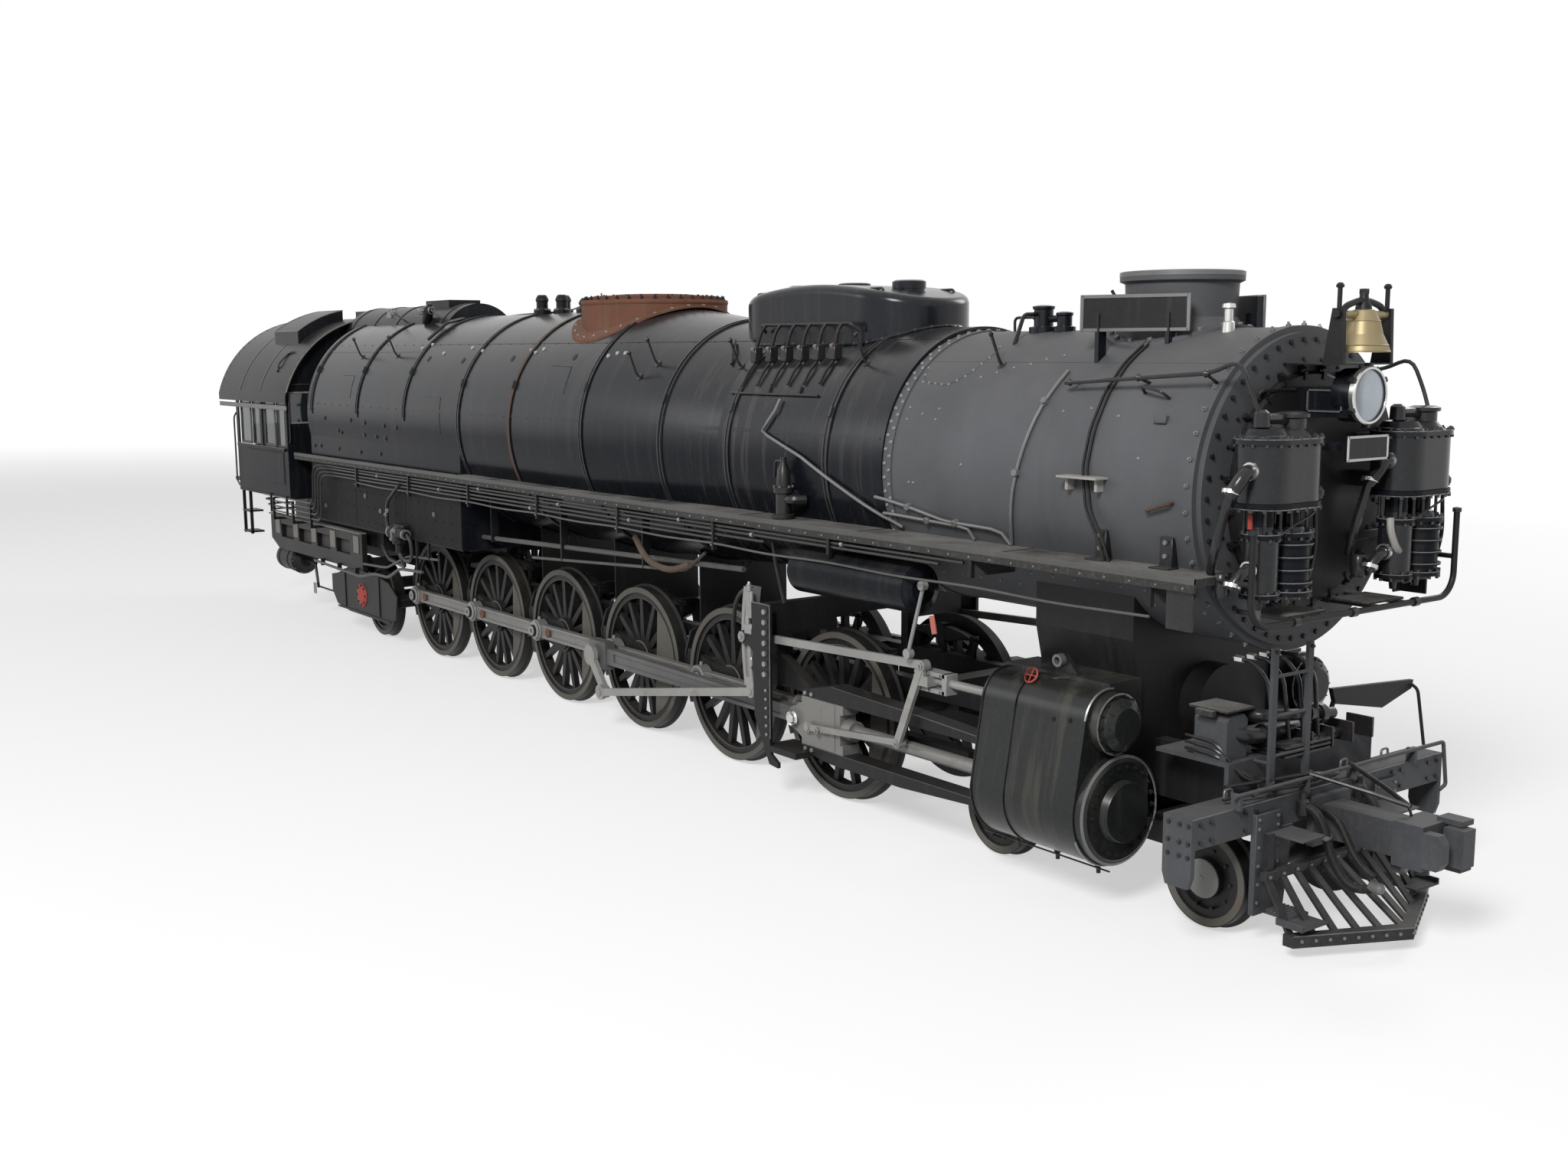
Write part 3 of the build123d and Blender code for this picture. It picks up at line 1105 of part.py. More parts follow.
def air_pump(y):
    """Compound pump: a stadium-shaped steam casing over one plain and one finned air cylinder."""
    steam_z0 = smoke_z - pump_drop
    steam_z1 = steam_z0 + steam_h
    air_z1 = steam_z0 - pump_neck
    air_z0 = air_z1 - air_h
    half = pump_apart / 2
    flange = steam_r + 22
    casing = None
    for z0, z1, r in ((steam_z0, steam_z1, steam_r), (steam_z0, steam_z0 + 40, flange),
                      (steam_z1 - 40, steam_z1, flange)):
        plan = Rot(0, 0, 90) * SlotOverall(pump_apart + 2 * r, 2 * r)
        layer = Pos(pump_x, y, z0) * extrude(plan, amount=z1 - z0)
        casing = layer if casing is None else casing + layer
    casing += turned_z([
        (0, steam_z1 - 5), (steam_r - 20, steam_z1 - 5), (130, steam_z1 + 70),
        (0, steam_z1 + 70)], pump_x, y - half)
    casing += turned_z([
        (0, steam_z1 - 5), (steam_r - 40, steam_z1 - 5), (75, steam_z1 + 90), (75, steam_z1 + 170),
        (0, steam_z1 + 170)], pump_x, y + half)
    for dy, r in ((-half, plain_r), (half, fin_r)):
        casing += rod_z(air_z1 - 5, steam_z0 + 5, pump_x, y + dy, 85)
        casing += rod_z(air_z0, air_z1, pump_x, y + dy, r - 12)
        casing += rod_z(air_z0, air_z0 + 35, pump_x, y + dy, r + 12)
        casing += rod_z(air_z1 - 35, air_z1, pump_x, y + dy, r + 12)
    for k in range(1, 5):
        fin_z = air_z0 + k * air_h / 5
        casing += rod_z(fin_z - 8, fin_z + 8, pump_x, y + half, fin_r + 12)
    casing += block(pump_x - 90, pump_x + 90, y - half, y + half, air_z1 - 30, air_z1 + 30)
    inner = 1 if y > 0 else -1
    foot_y = y - inner * 250
    casing += block(door_x, pump_x - 90, foot_y - 60, foot_y + 60, steam_z0 + 60, steam_z0 + 180)
    arm_y0, arm_y1 = min(foot_y - 60, y), max(foot_y + 60, y)
    casing += block(pump_x - 150, pump_x - 60, arm_y0, arm_y1, steam_z0 + 60, steam_z0 + 180)
    return casing


save("air_pumps", solids_of(air_pump(-pump_y), air_pump(pump_y)))

guard_x = smoke_x1 + guard_ahead
guard_low = board_z - 340
guard_high = board_z + 340
guard = bent_tube([
    (guard_x, -guard_half, guard_high), (guard_x, -guard_half, guard_low), (guard_x, guard_half, guard_low),
    (guard_x, guard_half, guard_high)], guard_d / 2, guard_bend)
strut_z = board_z - board_t / 2
guard += rod_x(board_x1, guard_x, guard_half, strut_z, guard_d / 2 - 4)
guard += rod_x(board_x1, guard_x, -guard_half, strut_z, guard_d / 2 - 4)
save("pump_guard", guard)

lamp_r = lamp_d / 2
lamp = turned_x([
    (lamp_x1 - 240, 0), (lamp_x1 - 240, lamp_r - 70), (lamp_x1 - 200, lamp_r - 15),
    (lamp_x1 - 35, lamp_r - 10), (lamp_x1 - 35, lamp_r), (lamp_x1, lamp_r), (lamp_x1, lamp_r - 22),
    (lamp_x1 - 25, lamp_r - 28), (lamp_x1 - 25, 0)], 0, lamp_z)
lamp_box = block(door_x, lamp_x1 - 60, -170, 170, lamp_z - 160, lamp_z + 60)
lamp += lamp_box - rod_x(lamp_x1 - 100, lamp_x1, 0, lamp_z, lamp_r - 30)
plate_x = smoke_x1 + 580
plate_z = lamp_z - 380
plate = block(plate_x - 25, plate_x, -250, 250, plate_z - 90, plate_z + 90)
plate += block(door_x, plate_x - 5, 80, 120, plate_z - 25, plate_z + 25)
plate += block(door_x, plate_x - 5, -120, -80, plate_z - 25, plate_z + 25)
plate -= front_plate
save("headlamp", solids_of(lamp, plate))

shelf_z = lamp_z + lamp_r + shelf_gap
post_y0, post_y1 = 275.0, 310.0
stand = block(smoke_x1, bell_x + 60, -post_y1, post_y1, shelf_z, shelf_z + shelf_t)
post = side_plate([
    (bell_x - 110, shelf_z + 5), (bell_x + 60, shelf_z + 5), (bell_x + 45, bell_pivot + 45),
    (bell_x - 45, bell_pivot + 45)], post_y0, post_y1)
stand += post
stand += mirrored(post)
stand += rod_z(bell_pivot + 40, bell_pivot + 190, bell_x, post_y0 + 17, 17)
stand += rod_z(bell_pivot + 40, bell_pivot + 190, bell_x, -post_y0 - 17, 17)
stand -= smokebox
stand -= front_plate
pin_hole = rod_y(post_y0 - 1, post_y1 + 1, bell_x, bell_pivot, 28 + rod_gap)
stand -= pin_hole
stand -= mirrored(pin_hole)
save("bell_stand", stand)
bell_r = bell_d / 2
bell = turned_z([
    (bell_r - 30, bell_lip), (bell_r, bell_lip), (bell_r - 14, bell_lip + 45), (bell_r - 55, bell_lip + 130),
    (bell_r - 80, bell_lip + 230), (bell_r - 115, bell_lip + bell_h - 10), (50, bell_lip + bell_h),
    (0, bell_lip + bell_h), (0, bell_lip + bell_h - 45), (bell_r - 130, bell_lip + bell_h - 50),
    (bell_r - 100, bell_lip + 220), (bell_r - 75, bell_lip + 120)], bell_x, 0)
bell += rod_y(-post_y1 + 5, post_y1 - 5, bell_x, bell_pivot, 28)
save("bell", bell)

reservoir_z = bracket_low - reservoir_d / 2
reservoir_x1 = smoke_x0 + 600
reservoir_y = board_y - 230
tank_r = reservoir_d / 2
reservoir = turned_x([
    (reservoir_x1 - reservoir_l, 0), (reservoir_x1 - reservoir_l, tank_r - 90),
    (reservoir_x1 - reservoir_l + 50, tank_r), (reservoir_x1 - 50, tank_r), (reservoir_x1, tank_r - 90),
    (reservoir_x1, 0)], reservoir_y, reservoir_z)
save("air_reservoirs", pair(reservoir))

# Trucks
truck_out = truck_y + truck_t
truck_frame = side_plate([
    (lead_x2 - 250, lead_z + 110), (lead_x2 - 170, lead_z - 170), (lead_x2 + 170, lead_z - 170),
    (lead_x2 + 300, lead_z + 60), (lead_x1 - 300, lead_z + 60), (lead_x1 - 170, lead_z - 170),
    (lead_x1 + 170, lead_z - 170), (lead_x1 + 250, lead_z + 110), (lead_x1 + 200, lead_z + 240),
    (lead_x2 - 200, lead_z + 240)], truck_y, truck_out)
for x in (lead_x1, lead_x2):
    truck_frame -= rod_y(truck_y - 1, truck_out + 1, x, lead_z, lead_axle_d / 2 + axle_run)
truck_frame += mirrored(truck_frame)
truck_frame += block(truck_x - 260, truck_x + 260, -truck_y - 5, truck_y + 5, lead_z + 110, lead_z + 240)
truck_frame += rod_z(lead_z + 190, saddle_low - 0.5, truck_x, 0, truck_pin_d / 2)
save("leading_truck", truck_frame)

arm_out = box_y + 160
trail_arm = side_plate([
    (trail_x - 820, trail_z + 170), (trail_x - 820, trail_z + 30), (trail_x - 250, trail_z + 20),
    (trail_x - 200, trail_z - 190), (trail_x + 200, trail_z - 190), (trail_x + 250, trail_z + 20),
    (trail_x + 800, trail_z + 30), (trail_x + 800, trail_z + 170), (trail_x + 200, trail_z + 210),
    (trail_x - 200, trail_z + 210)], box_y, arm_out)
trail_arm -= rod_y(box_y - 1, box_y + 150, trail_x, trail_z, trail_axle_d / 2 + axle_run)
trail_frame = trail_arm + mirrored(trail_arm)
trail_frame += block(trail_x - 820, trail_x - 690, -box_y - 5, box_y + 5, trail_z + 30, trail_z + 170)
tongue = [(trail_x + 670, -box_y - 5), (trail_x + 670, box_y + 5), (trail_x + 800, box_y + 5),
          (pivot_x + 130, 150), (pivot_x + 130, -150), (trail_x + 800, -box_y - 5)]
trail_frame += Pos(0, 0, trail_z + 30) * extrude(make_face(Polyline(*tongue, close=True)), amount=100)
trail_frame += rod_z(trail_z + 100, pivot_low + 110, pivot_x, 0, pivot_d / 2)
save("trailing_truck", trail_frame)
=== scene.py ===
import json
import logging
import math
from dataclasses import dataclass, field
from enum import Enum
from typing import Optional, Sequence, Union

import bmesh
import bpy
import numpy as np
from mathutils import Matrix, Vector

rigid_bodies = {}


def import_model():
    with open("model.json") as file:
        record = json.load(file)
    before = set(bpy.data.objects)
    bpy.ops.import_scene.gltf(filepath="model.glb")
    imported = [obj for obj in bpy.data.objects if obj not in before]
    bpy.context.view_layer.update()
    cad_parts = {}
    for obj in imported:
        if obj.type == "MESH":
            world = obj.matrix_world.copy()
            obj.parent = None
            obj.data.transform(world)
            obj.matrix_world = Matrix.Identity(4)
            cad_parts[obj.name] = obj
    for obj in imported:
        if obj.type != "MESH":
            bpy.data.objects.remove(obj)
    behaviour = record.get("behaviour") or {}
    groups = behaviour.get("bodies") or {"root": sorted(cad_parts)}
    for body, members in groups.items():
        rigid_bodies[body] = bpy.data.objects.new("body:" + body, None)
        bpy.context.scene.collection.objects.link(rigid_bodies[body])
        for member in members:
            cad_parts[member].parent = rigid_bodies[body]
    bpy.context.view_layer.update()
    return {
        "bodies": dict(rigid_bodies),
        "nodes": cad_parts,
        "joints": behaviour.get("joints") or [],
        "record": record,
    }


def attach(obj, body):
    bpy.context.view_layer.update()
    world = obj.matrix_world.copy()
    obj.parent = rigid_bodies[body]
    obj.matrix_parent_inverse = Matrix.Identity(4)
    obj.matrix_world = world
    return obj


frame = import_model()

Rows = Sequence[Sequence[float]]
Values = Union[float, Sequence[float], np.ndarray]
Feed = Union[bpy.types.NodeSocket, float, Sequence[float]]
LOG = logging.getLogger("locomotive")
# x is measured from the fifth driving axle, and the frame's origin lies this far ahead of it.
SHIFT = 2.265
AXLES = (7.476, 5.607, 3.738, 1.869, 0.0, -1.869)
AXLE_Z = 0.8555
SMOOTH_UNDER = math.radians(34)
EASE_OVER = math.radians(40)
MERGE_WITHIN = 1e-5
BUMP_DEPTH = 0.004
COAT_ROUGHNESS = 0.22
# Between these heights, about the boiler's middle, the coat of a dull finish fades away downwards.
DULL_FROM, DULL_TO = 3.30, 3.66


# Node trees and the effects that several finishes share.

@dataclass
class Pen:
    """Adds nodes to one tree and joins them by short calls."""

    tree: bpy.types.NodeTree

    def node(self, kind: str, inputs: Optional[dict] = None, **settings) -> bpy.types.Node:
        """Add a node.

        Args:
            kind: The node's type name after "ShaderNode".
            inputs: Input name or number to a constant or to a socket that feeds it.
            **settings: Attributes of the node itself.

        Returns:
            The new node.
        """
        made = self.tree.nodes.new("ShaderNode" + kind)
        for name, value in settings.items():
            setattr(made, name, value)
        for name, value in (inputs or {}).items():
            if isinstance(value, bpy.types.NodeSocket):
                self.tree.links.new(value, made.inputs[name])
            else:
                made.inputs[name].default_value = value
        return made

    def math(self, operation: str, first: Feed, second: Feed = 0.0,
             clamp: bool = False) -> bpy.types.NodeSocket:
        """Return the output of a Math node on two values or sockets."""
        return self.node("Math", {0: first, 1: second}, operation=operation, use_clamp=clamp).outputs[0]

    def blend(self, amount: Feed, first: Feed, second: Feed) -> bpy.types.NodeSocket:
        """Return the mix of two colours by an amount from 0 to 1."""
        made = self.node("Mix", {0: amount, 6: first, 7: second}, data_type="RGBA", clamp_factor=True)
        return made.outputs[2]

    def span(self, value: Feed, low: float, high: float) -> bpy.types.NodeSocket:
        """Return a value rescaled so that low gives 0 and high gives 1, kept within them."""
        made = self.node("MapRange", {0: value, 1: low, 2: high}, interpolation_type="SMOOTHSTEP")
        return made.outputs[0]


class Effects:
    """Shader groups that several finishes use, each built once."""

    def __init__(self) -> None:
        """Build every group."""
        self.weather = self._weather()

    @staticmethod
    def _group(name: str, inputs: Sequence[tuple],
               outputs: Sequence[tuple]) -> tuple[Pen, dict, bpy.types.Node]:
        """Start a group.

        Args:
            name: The group's name.
            inputs: Rows of socket name, socket kind and default value.
            outputs: Rows of socket name and socket kind.

        Returns:
            A pen on its tree, its input sockets by name and its output node.
        """
        tree = bpy.data.node_groups.new(name, "ShaderNodeTree")
        for label, kind, value in inputs:
            made = tree.interface.new_socket(label, in_out="INPUT", socket_type="NodeSocket" + kind)
            made.default_value = value
        for label, kind in outputs:
            tree.interface.new_socket(label, in_out="OUTPUT", socket_type="NodeSocket" + kind)
        pen = Pen(tree)
        start = tree.nodes.new("NodeGroupInput")
        end = tree.nodes.new("NodeGroupOutput")
        return pen, {s.name: s for s in start.outputs if s.name}, end

    def _weather(self) -> bpy.types.NodeTree:
        """Paint that has stood outdoors: cloudy tone, rain streaks, dust on what faces up and rust patches.

        A stain is a stretch of the length, about a middle and within a reach, where the streaks are
        stronger and turn to the rust colour. Gloss is what a coat is multiplied by: 1, less the
        amount of "Dull below" on what lies under the boiler's middle.

        Returns:
            The group, which puts out colour, roughness, height and gloss.
        """
        pen, given, end = self._group("weather", [
            ("Paint", "Color", (0.03, 0.03, 0.03, 1)),
            ("Dust", "Color", (0.30, 0.27, 0.23, 1)),
            ("Rust", "Color", (0.17, 0.065, 0.03, 1)),
            ("Cloud", "Float", 0.25),
            ("Streaks", "Float", 0.2),
            ("Dust amount", "Float", 0.3),
            ("Rust amount", "Float", 0.1),
            ("Roughness", "Float", 0.4),
            ("Stain middle", "Float", 0.0),
            ("Stain reach", "Float", 1.0),
            ("Stain amount", "Float", 0.0),
            ("Dull below", "Float", 0.0),
        ], [("Color", "Color"), ("Roughness", "Float"), ("Height", "Float"), ("Gloss", "Float")])
        place = pen.node("TexCoord").outputs["Object"]
        broad = pen.node("TexNoise",
                         {"Vector": place, "Scale": 0.9, "Detail": 5.0, "Roughness": 0.6}).outputs[0]
        fine = pen.node("TexNoise", {"Vector": place, "Scale": 28.0, "Detail": 4.0}).outputs[0]
        drawn = pen.node("Mapping", {"Vector": place, "Scale": (9.0, 3.0, 0.4)}).outputs[0]
        drip = pen.node("TexNoise",
                        {"Vector": drawn, "Scale": 1.0, "Detail": 4.0, "Roughness": 0.65}).outputs[0]
        facing = pen.node("SeparateXYZ", {0: pen.node("NewGeometry").outputs["Normal"]}).outputs[2]
        cloud = pen.math("MULTIPLY", pen.math("SUBTRACT", broad, 0.5), given["Cloud"])
        bright = pen.math("ADD", 1.0, pen.math("MULTIPLY", cloud, 3.0))
        tone = pen.node("VectorMath", {0: given["Paint"], "Scale": bright}, operation="SCALE").outputs[0]
        drips = pen.span(drip, 0.50, 0.70)
        streak = pen.math("MULTIPLY", drips, given["Streaks"])
        up = pen.span(facing, 0.25, 1.0)
        settled = pen.math("MULTIPLY", up, pen.span(broad, 0.25, 0.65))
        dusty = pen.math("MULTIPLY", settled, given["Dust amount"])
        grit = pen.math("MULTIPLY", pen.span(fine, 0.45, 0.8),
                        pen.math("MULTIPLY", given["Dust amount"], 0.25))
        dust = pen.math("ADD", pen.math("ADD", dusty, grit), streak, clamp=True)
        worn = pen.blend(dust, tone, given["Dust"])
        axes = pen.node("SeparateXYZ", {0: place}).outputs
        low = pen.math("SUBTRACT", 1.0, pen.span(axes[2], DULL_FROM, DULL_TO))
        gloss = pen.math("SUBTRACT", 1.0, pen.math("MULTIPLY", low, given["Dull below"]), clamp=True)
        away = pen.math("ABSOLUTE", pen.math("SUBTRACT", axes[0], given["Stain middle"]))
        near = pen.math("SUBTRACT", 1.0, pen.math("DIVIDE", away, given["Stain reach"]), clamp=True)
        stain = pen.math("MULTIPLY", pen.math("MULTIPLY", near, drips), given["Stain amount"], clamp=True)
        patch = pen.node("TexNoise",
                         {"Vector": place, "Scale": 3.2, "Detail": 7.0, "Roughness": 0.7}).outputs[0]
        spots = pen.math("MULTIPLY", pen.span(patch, 0.56, 0.68), given["Rust amount"], clamp=True)
        rust = pen.math("MAXIMUM", spots, stain)
        final = pen.blend(rust, worn, given["Rust"])
        rough = pen.math("ADD", given["Roughness"], pen.math("MULTIPLY", pen.math("ADD", dust, rust), 0.45))
        rough = pen.math("ADD", rough, pen.math("MULTIPLY", pen.math("SUBTRACT", broad, 0.5), 0.2),
                         clamp=True)
        height = pen.math("ADD", pen.math("MULTIPLY", fine, 0.4), pen.math("MULTIPLY", rust, 0.6))
        for name, value in (("Color", final), ("Roughness", rough), ("Height", height), ("Gloss", gloss)):
            pen.tree.links.new(value, end.inputs[name])
        return pen.tree


EFFECTS = Effects()


@dataclass(frozen=True)
class Finish:
    """One weathered finish, and the record's slot that it belongs to.

    Colours are linear red, green and blue. Amounts run from 0 to 1. A stain is (middle, reach, amount),
    with its middle in x from the fifth driving axle. The share of the coat that is lost below the
    boiler's middle is dull_below.
    """

    name: str
    slot: str
    paint: tuple[float, float, float]
    roughness: float = 0.4
    metallic: float = 0.0
    coat: float = 0.0
    shine: float = 0.25
    cloud: float = 0.25
    streaks: float = 0.1
    dust: float = 0.3
    rust: float = 0.0
    grain: float = 0.15
    stain: tuple[float, float, float] = (0.0, 1.0, 0.0)
    dull_below: float = 0.0
    dust_colour: tuple[float, float, float] = (0.25, 0.23, 0.20)
    rust_colour: tuple[float, float, float] = (0.17, 0.07, 0.035)

    def material(self) -> bpy.types.Material:
        """Return this finish's material, made at its first use."""
        found = bpy.data.materials.get("finish_" + self.name)
        return found if found else self._make()

    def _make(self) -> bpy.types.Material:
        """Build the material: the shared weather group feeds one Principled shader."""
        made = bpy.data.materials.new("finish_" + self.name)
        made.use_nodes = True
        made.node_tree.nodes.clear()
        pen = Pen(made.node_tree)
        worn = pen.node("Group", node_tree=EFFECTS.weather)
        middle, reach, amount = self.stain
        for label, value in (("Paint", (*self.paint, 1)), ("Dust", (*self.dust_colour, 1)),
                             ("Rust", (*self.rust_colour, 1)), ("Cloud", self.cloud),
                             ("Streaks", self.streaks), ("Dust amount", self.dust),
                             ("Rust amount", self.rust), ("Roughness", self.roughness),
                             ("Stain middle", middle - SHIFT), ("Stain reach", reach),
                             ("Stain amount", amount), ("Dull below", self.dull_below)):
            worn.inputs[label].default_value = value
        bump = pen.node("Bump",
                        {"Height": worn.outputs["Height"], "Strength": self.grain, "Distance": BUMP_DEPTH})
        shader = pen.node("BsdfPrincipled", {
            "Base Color": worn.outputs["Color"], "Roughness": worn.outputs["Roughness"],
            "Metallic": self.metallic, "Specular IOR Level": self.shine,
            "Coat Weight": self.coat, "Coat Roughness": COAT_ROUGHNESS,
            "Normal": bump.outputs[0]})
        if self.dull_below:
            coat = pen.math("MULTIPLY", worn.outputs["Gloss"], self.coat)
            made.node_tree.links.new(coat, shader.inputs["Coat Weight"])
        out = pen.node("OutputMaterial")
        made.node_tree.links.new(shader.outputs[0], out.inputs[0])
        return made


@dataclass(frozen=True)
class Glass(Finish):
    """Glass with a little dust on it; its paint colour tints what is seen through it."""

    clear: float = 0.85
    ior: float = 1.45

    def _make(self) -> bpy.types.Material:
        """Build the material: the weather group gives the dust, and the shader lets light through."""
        made = super()._make()
        shader = made.node_tree.nodes["Principled BSDF"]
        shader.inputs["Transmission Weight"].default_value = self.clear
        shader.inputs["IOR"].default_value = self.ior
        return made


GRAPHITE = Finish("graphite", "graphite", (0.098, 0.101, 0.108), 0.50, cloud=0.35, streaks=0.04, dust=0.16,
                  grain=0.06)
# The jacket black leans blue: black paint, with the blue tint a painted reflection of the sky.
JACKET = Finish("jacket", "jacket_black", (0.008, 0.0095, 0.0135), 0.24, shine=0.06, coat=0.48,
                dull_below=0.85, cloud=0.3, streaks=0.05, dust=0.10, grain=0.04)
STAINED = Finish("stained_jacket", "jacket_black", (0.008, 0.0095, 0.0135), 0.24, shine=0.07, coat=0.48,
                 dull_below=0.85, cloud=0.3, streaks=0.05, dust=0.10, grain=0.04, stain=(6.9, 1.7, 0.42),
                 rust_colour=(0.12, 0.105, 0.092))
CYLINDER = Finish("cylinder", "jacket_black", (0.011, 0.0125, 0.0125), 0.34, coat=0.15, cloud=0.3,
                  streaks=0.25, dust=0.25, dust_colour=(0.13, 0.13, 0.10))
# The chassis black and its dust are kept darker than plain black paint: the extra darkness is painted shade
# for the underside below the running boards.
CHASSIS = Finish("chassis", "frame_black", (0.010, 0.010, 0.011), 0.45, streaks=0.06, dust=0.16, rust=0.07,
                 dust_colour=(0.16, 0.145, 0.125))
BOARD = Finish("board", "frame_black", (0.034, 0.033, 0.032), 0.6, cloud=0.5, streaks=0.06, dust=0.85,
               rust=0.08, dust_colour=(0.27, 0.262, 0.245))
PIPE = Finish("pipe", "frame_black", (0.018, 0.018, 0.019), 0.33, coat=0.15, streaks=0.04, dust=0.18,
              rust=0.08)
# The wheel black and its dust are darkened the same way, as painted shade below the running boards.
WHEEL = Finish("wheel", "wheel_black", (0.012, 0.012, 0.012), 0.48, streaks=0.06, dust=0.16, rust=0.08,
               dust_colour=(0.16, 0.145, 0.125))
RIM = Finish("rim", "wheel_black", (0.115, 0.11, 0.095), 0.6, cloud=0.4, dust=0.3, rust=0.25)
ROD = Finish("rod", "rod_steel", (0.235, 0.232, 0.222), 0.38, metallic=0.2, cloud=0.25, streaks=0.08,
             dust=0.2, rust=0.3)
BRIGHT = Finish("bright", "rod_steel", (0.62, 0.62, 0.60), 0.26, metallic=0.85, cloud=0.15, dust=0.1,
                rust=0.06)
WORN_EDGE = Finish("worn_edge", "rod_steel", (0.19, 0.19, 0.19), 0.4, metallic=0.3, cloud=0.4, dust=0.3,
                   rust=0.15)
PALE = Finish("pale", "rod_steel", (0.40, 0.39, 0.36), 0.6, cloud=0.3, streaks=0.05, dust=0.25, rust=0.12)
WHITE = Finish("white", "rod_steel", (0.78, 0.78, 0.76), 0.45, cloud=0.1, streaks=0.05, dust=0.12)
RED = Finish("red", "rust_steel", (0.42, 0.07, 0.055), 0.55, cloud=0.3, dust=0.25, rust=0.15)
RUSTED = Finish("rusted", "rust_steel", (0.185, 0.082, 0.050), 0.78, cloud=0.45, streaks=0.15, dust=0.25,
                rust=0.4, rust_colour=(0.12, 0.050, 0.030))
BRASS = Finish("brass", "bell_brass", (0.36, 0.29, 0.16), 0.42, metallic=0.35, cloud=0.35, streaks=0.15,
               dust=0.2)
LENS = Glass("lens", "jacket_black", (0.80, 0.84, 0.88), 0.06, dust=0.12, cloud=0.1, streaks=0.03)
# The window panes are tinted dark grey: painted shade standing in for the shaded cab behind them.
SHADE_TINTED_PANE = Glass("pane", "jacket_black", (0.09, 0.10, 0.105), 0.08, dust=0.25, cloud=0.2, streaks=0.1)

BAND = Finish("band", "jacket_black", (0.040, 0.042, 0.046), 0.34, metallic=0.2, cloud=0.35, dust=0.3,
              rust=0.12)
DOOR = Finish("door", "jacket_black", (0.012, 0.012, 0.013), 0.42, cloud=0.3, streaks=0.06, dust=0.12)
STEEL_DOT = Finish("steel_dot", "graphite", (0.21, 0.215, 0.22), 0.42, metallic=0.3, cloud=0.3, dust=0.25,
                   rust=0.08)
DARK_GLOSS = Finish("dark_gloss", "jacket_black", (0.012, 0.013, 0.015), 0.25, coat=0.3, cloud=0.3,
                    streaks=0.08, dust=0.12)
EDGE = Finish("edge", "jacket_black", (0.20, 0.20, 0.20), 0.35, metallic=0.3, cloud=0.4, dust=0.25)
REFLECTOR = Finish("reflector", "jacket_black", (0.72, 0.74, 0.74), 0.22, metallic=0.7, cloud=0.3, dust=0.1)
BRIGHT_DULL = Finish("dull_bright", "rod_steel", (0.30, 0.305, 0.31), 0.34, metallic=0.6, cloud=0.3, dust=0.2,
                     rust=0.12)
LIGHT_ROD = Finish("light_rod", "rod_steel", (0.33, 0.33, 0.325), 0.42, metallic=0.15, cloud=0.3, dust=0.2,
                   rust=0.2)
TAG_RED = Finish("tag_red", "rod_steel", (0.52, 0.16, 0.13), 0.5, cloud=0.3, dust=0.15)
PALE_EDGE = Finish("pale_edge", "frame_black", (0.235, 0.225, 0.205), 0.55, cloud=0.45, streaks=0.1,
                   dust=0.35, rust=0.2)
WORN_PIPE = Finish("worn_pipe", "frame_black", (0.10, 0.10, 0.098), 0.45, cloud=0.4, dust=0.35, rust=0.15)
LAGGING = Finish("lagging", "frame_black", (0.13, 0.095, 0.07), 0.8, cloud=0.5, streaks=0.2, dust=0.3,
                 rust=0.3)
SASH = Finish("sash", "frame_black", (0.12, 0.12, 0.115), 0.5, cloud=0.35, dust=0.25, rust=0.1)
RAIL = Finish("rail", "frame_black", (0.02, 0.02, 0.021), 0.35, coat=0.15, cloud=0.3, dust=0.2)
RUST_PIN = Finish("rust_pin", "rust_steel", (0.17, 0.085, 0.055), 0.7, cloud=0.4, dust=0.2, rust=0.4)
HUB_GREY = Finish("hub_grey", "wheel_black", (0.30, 0.30, 0.29), 0.55, cloud=0.35, streaks=0.1, dust=0.2,
                  rust=0.1)
BROWN_BAND = Finish("brown_band", "rust_steel", (0.085, 0.050, 0.034), 0.6, cloud=0.5, dust=0.25, rust=0.4,
                    rust_colour=(0.12, 0.060, 0.035))
PUMP_NUT = Finish("pump_nut", "jacket_black", (0.055, 0.057, 0.060), 0.35, metallic=0.2, cloud=0.3, dust=0.15)
FIREBOX = Finish("firebox_side", "jacket_black", (0.011, 0.011, 0.012), 0.62, shine=0.12, cloud=0.5,
                 streaks=0.12, dust=0.12, rust=0.1, dust_colour=(0.10, 0.095, 0.085))
BEAM = Finish("grey_beam", "frame_black", (0.060, 0.057, 0.052), 0.6, cloud=0.5, streaks=0.15, dust=0.3,
              rust=0.15)
FRONT = Finish("front_beam", "frame_black", (0.068, 0.071, 0.077), 0.5, cloud=0.5, streaks=0.1, dust=0.45,
               rust=0.1, dust_colour=(0.22, 0.215, 0.21))
BARS = Finish("pilot_bars", "frame_black", (0.030, 0.031, 0.034), 0.42, cloud=0.4, streaks=0.08, dust=0.35,
              rust=0.08)
# The main rods get a darker copy of the rod steel: the darkening is painted shade.
SHADED_MAIN_ROD = Finish("main_rod", "rod_steel", (0.135, 0.136, 0.136), 0.42, metallic=0.2, cloud=0.45, streaks=0.1,
                  dust=0.25, rust=0.15)
GEAR = Finish("gear", "rod_steel", (0.33, 0.328, 0.315), 0.38, metallic=0.2, cloud=0.3, streaks=0.08,
              dust=0.2, rust=0.25)
CAB_BLACK = Finish("cab_black", "jacket_black", (0.008, 0.009, 0.012), 0.34, shine=0.05, coat=0.26,
                   dull_below=0.8, cloud=0.4, streaks=0.06, dust=0.12)
RUBBER = Finish("rubber", "frame_black", (0.012, 0.012, 0.012), 0.62, cloud=0.2, dust=0.2)

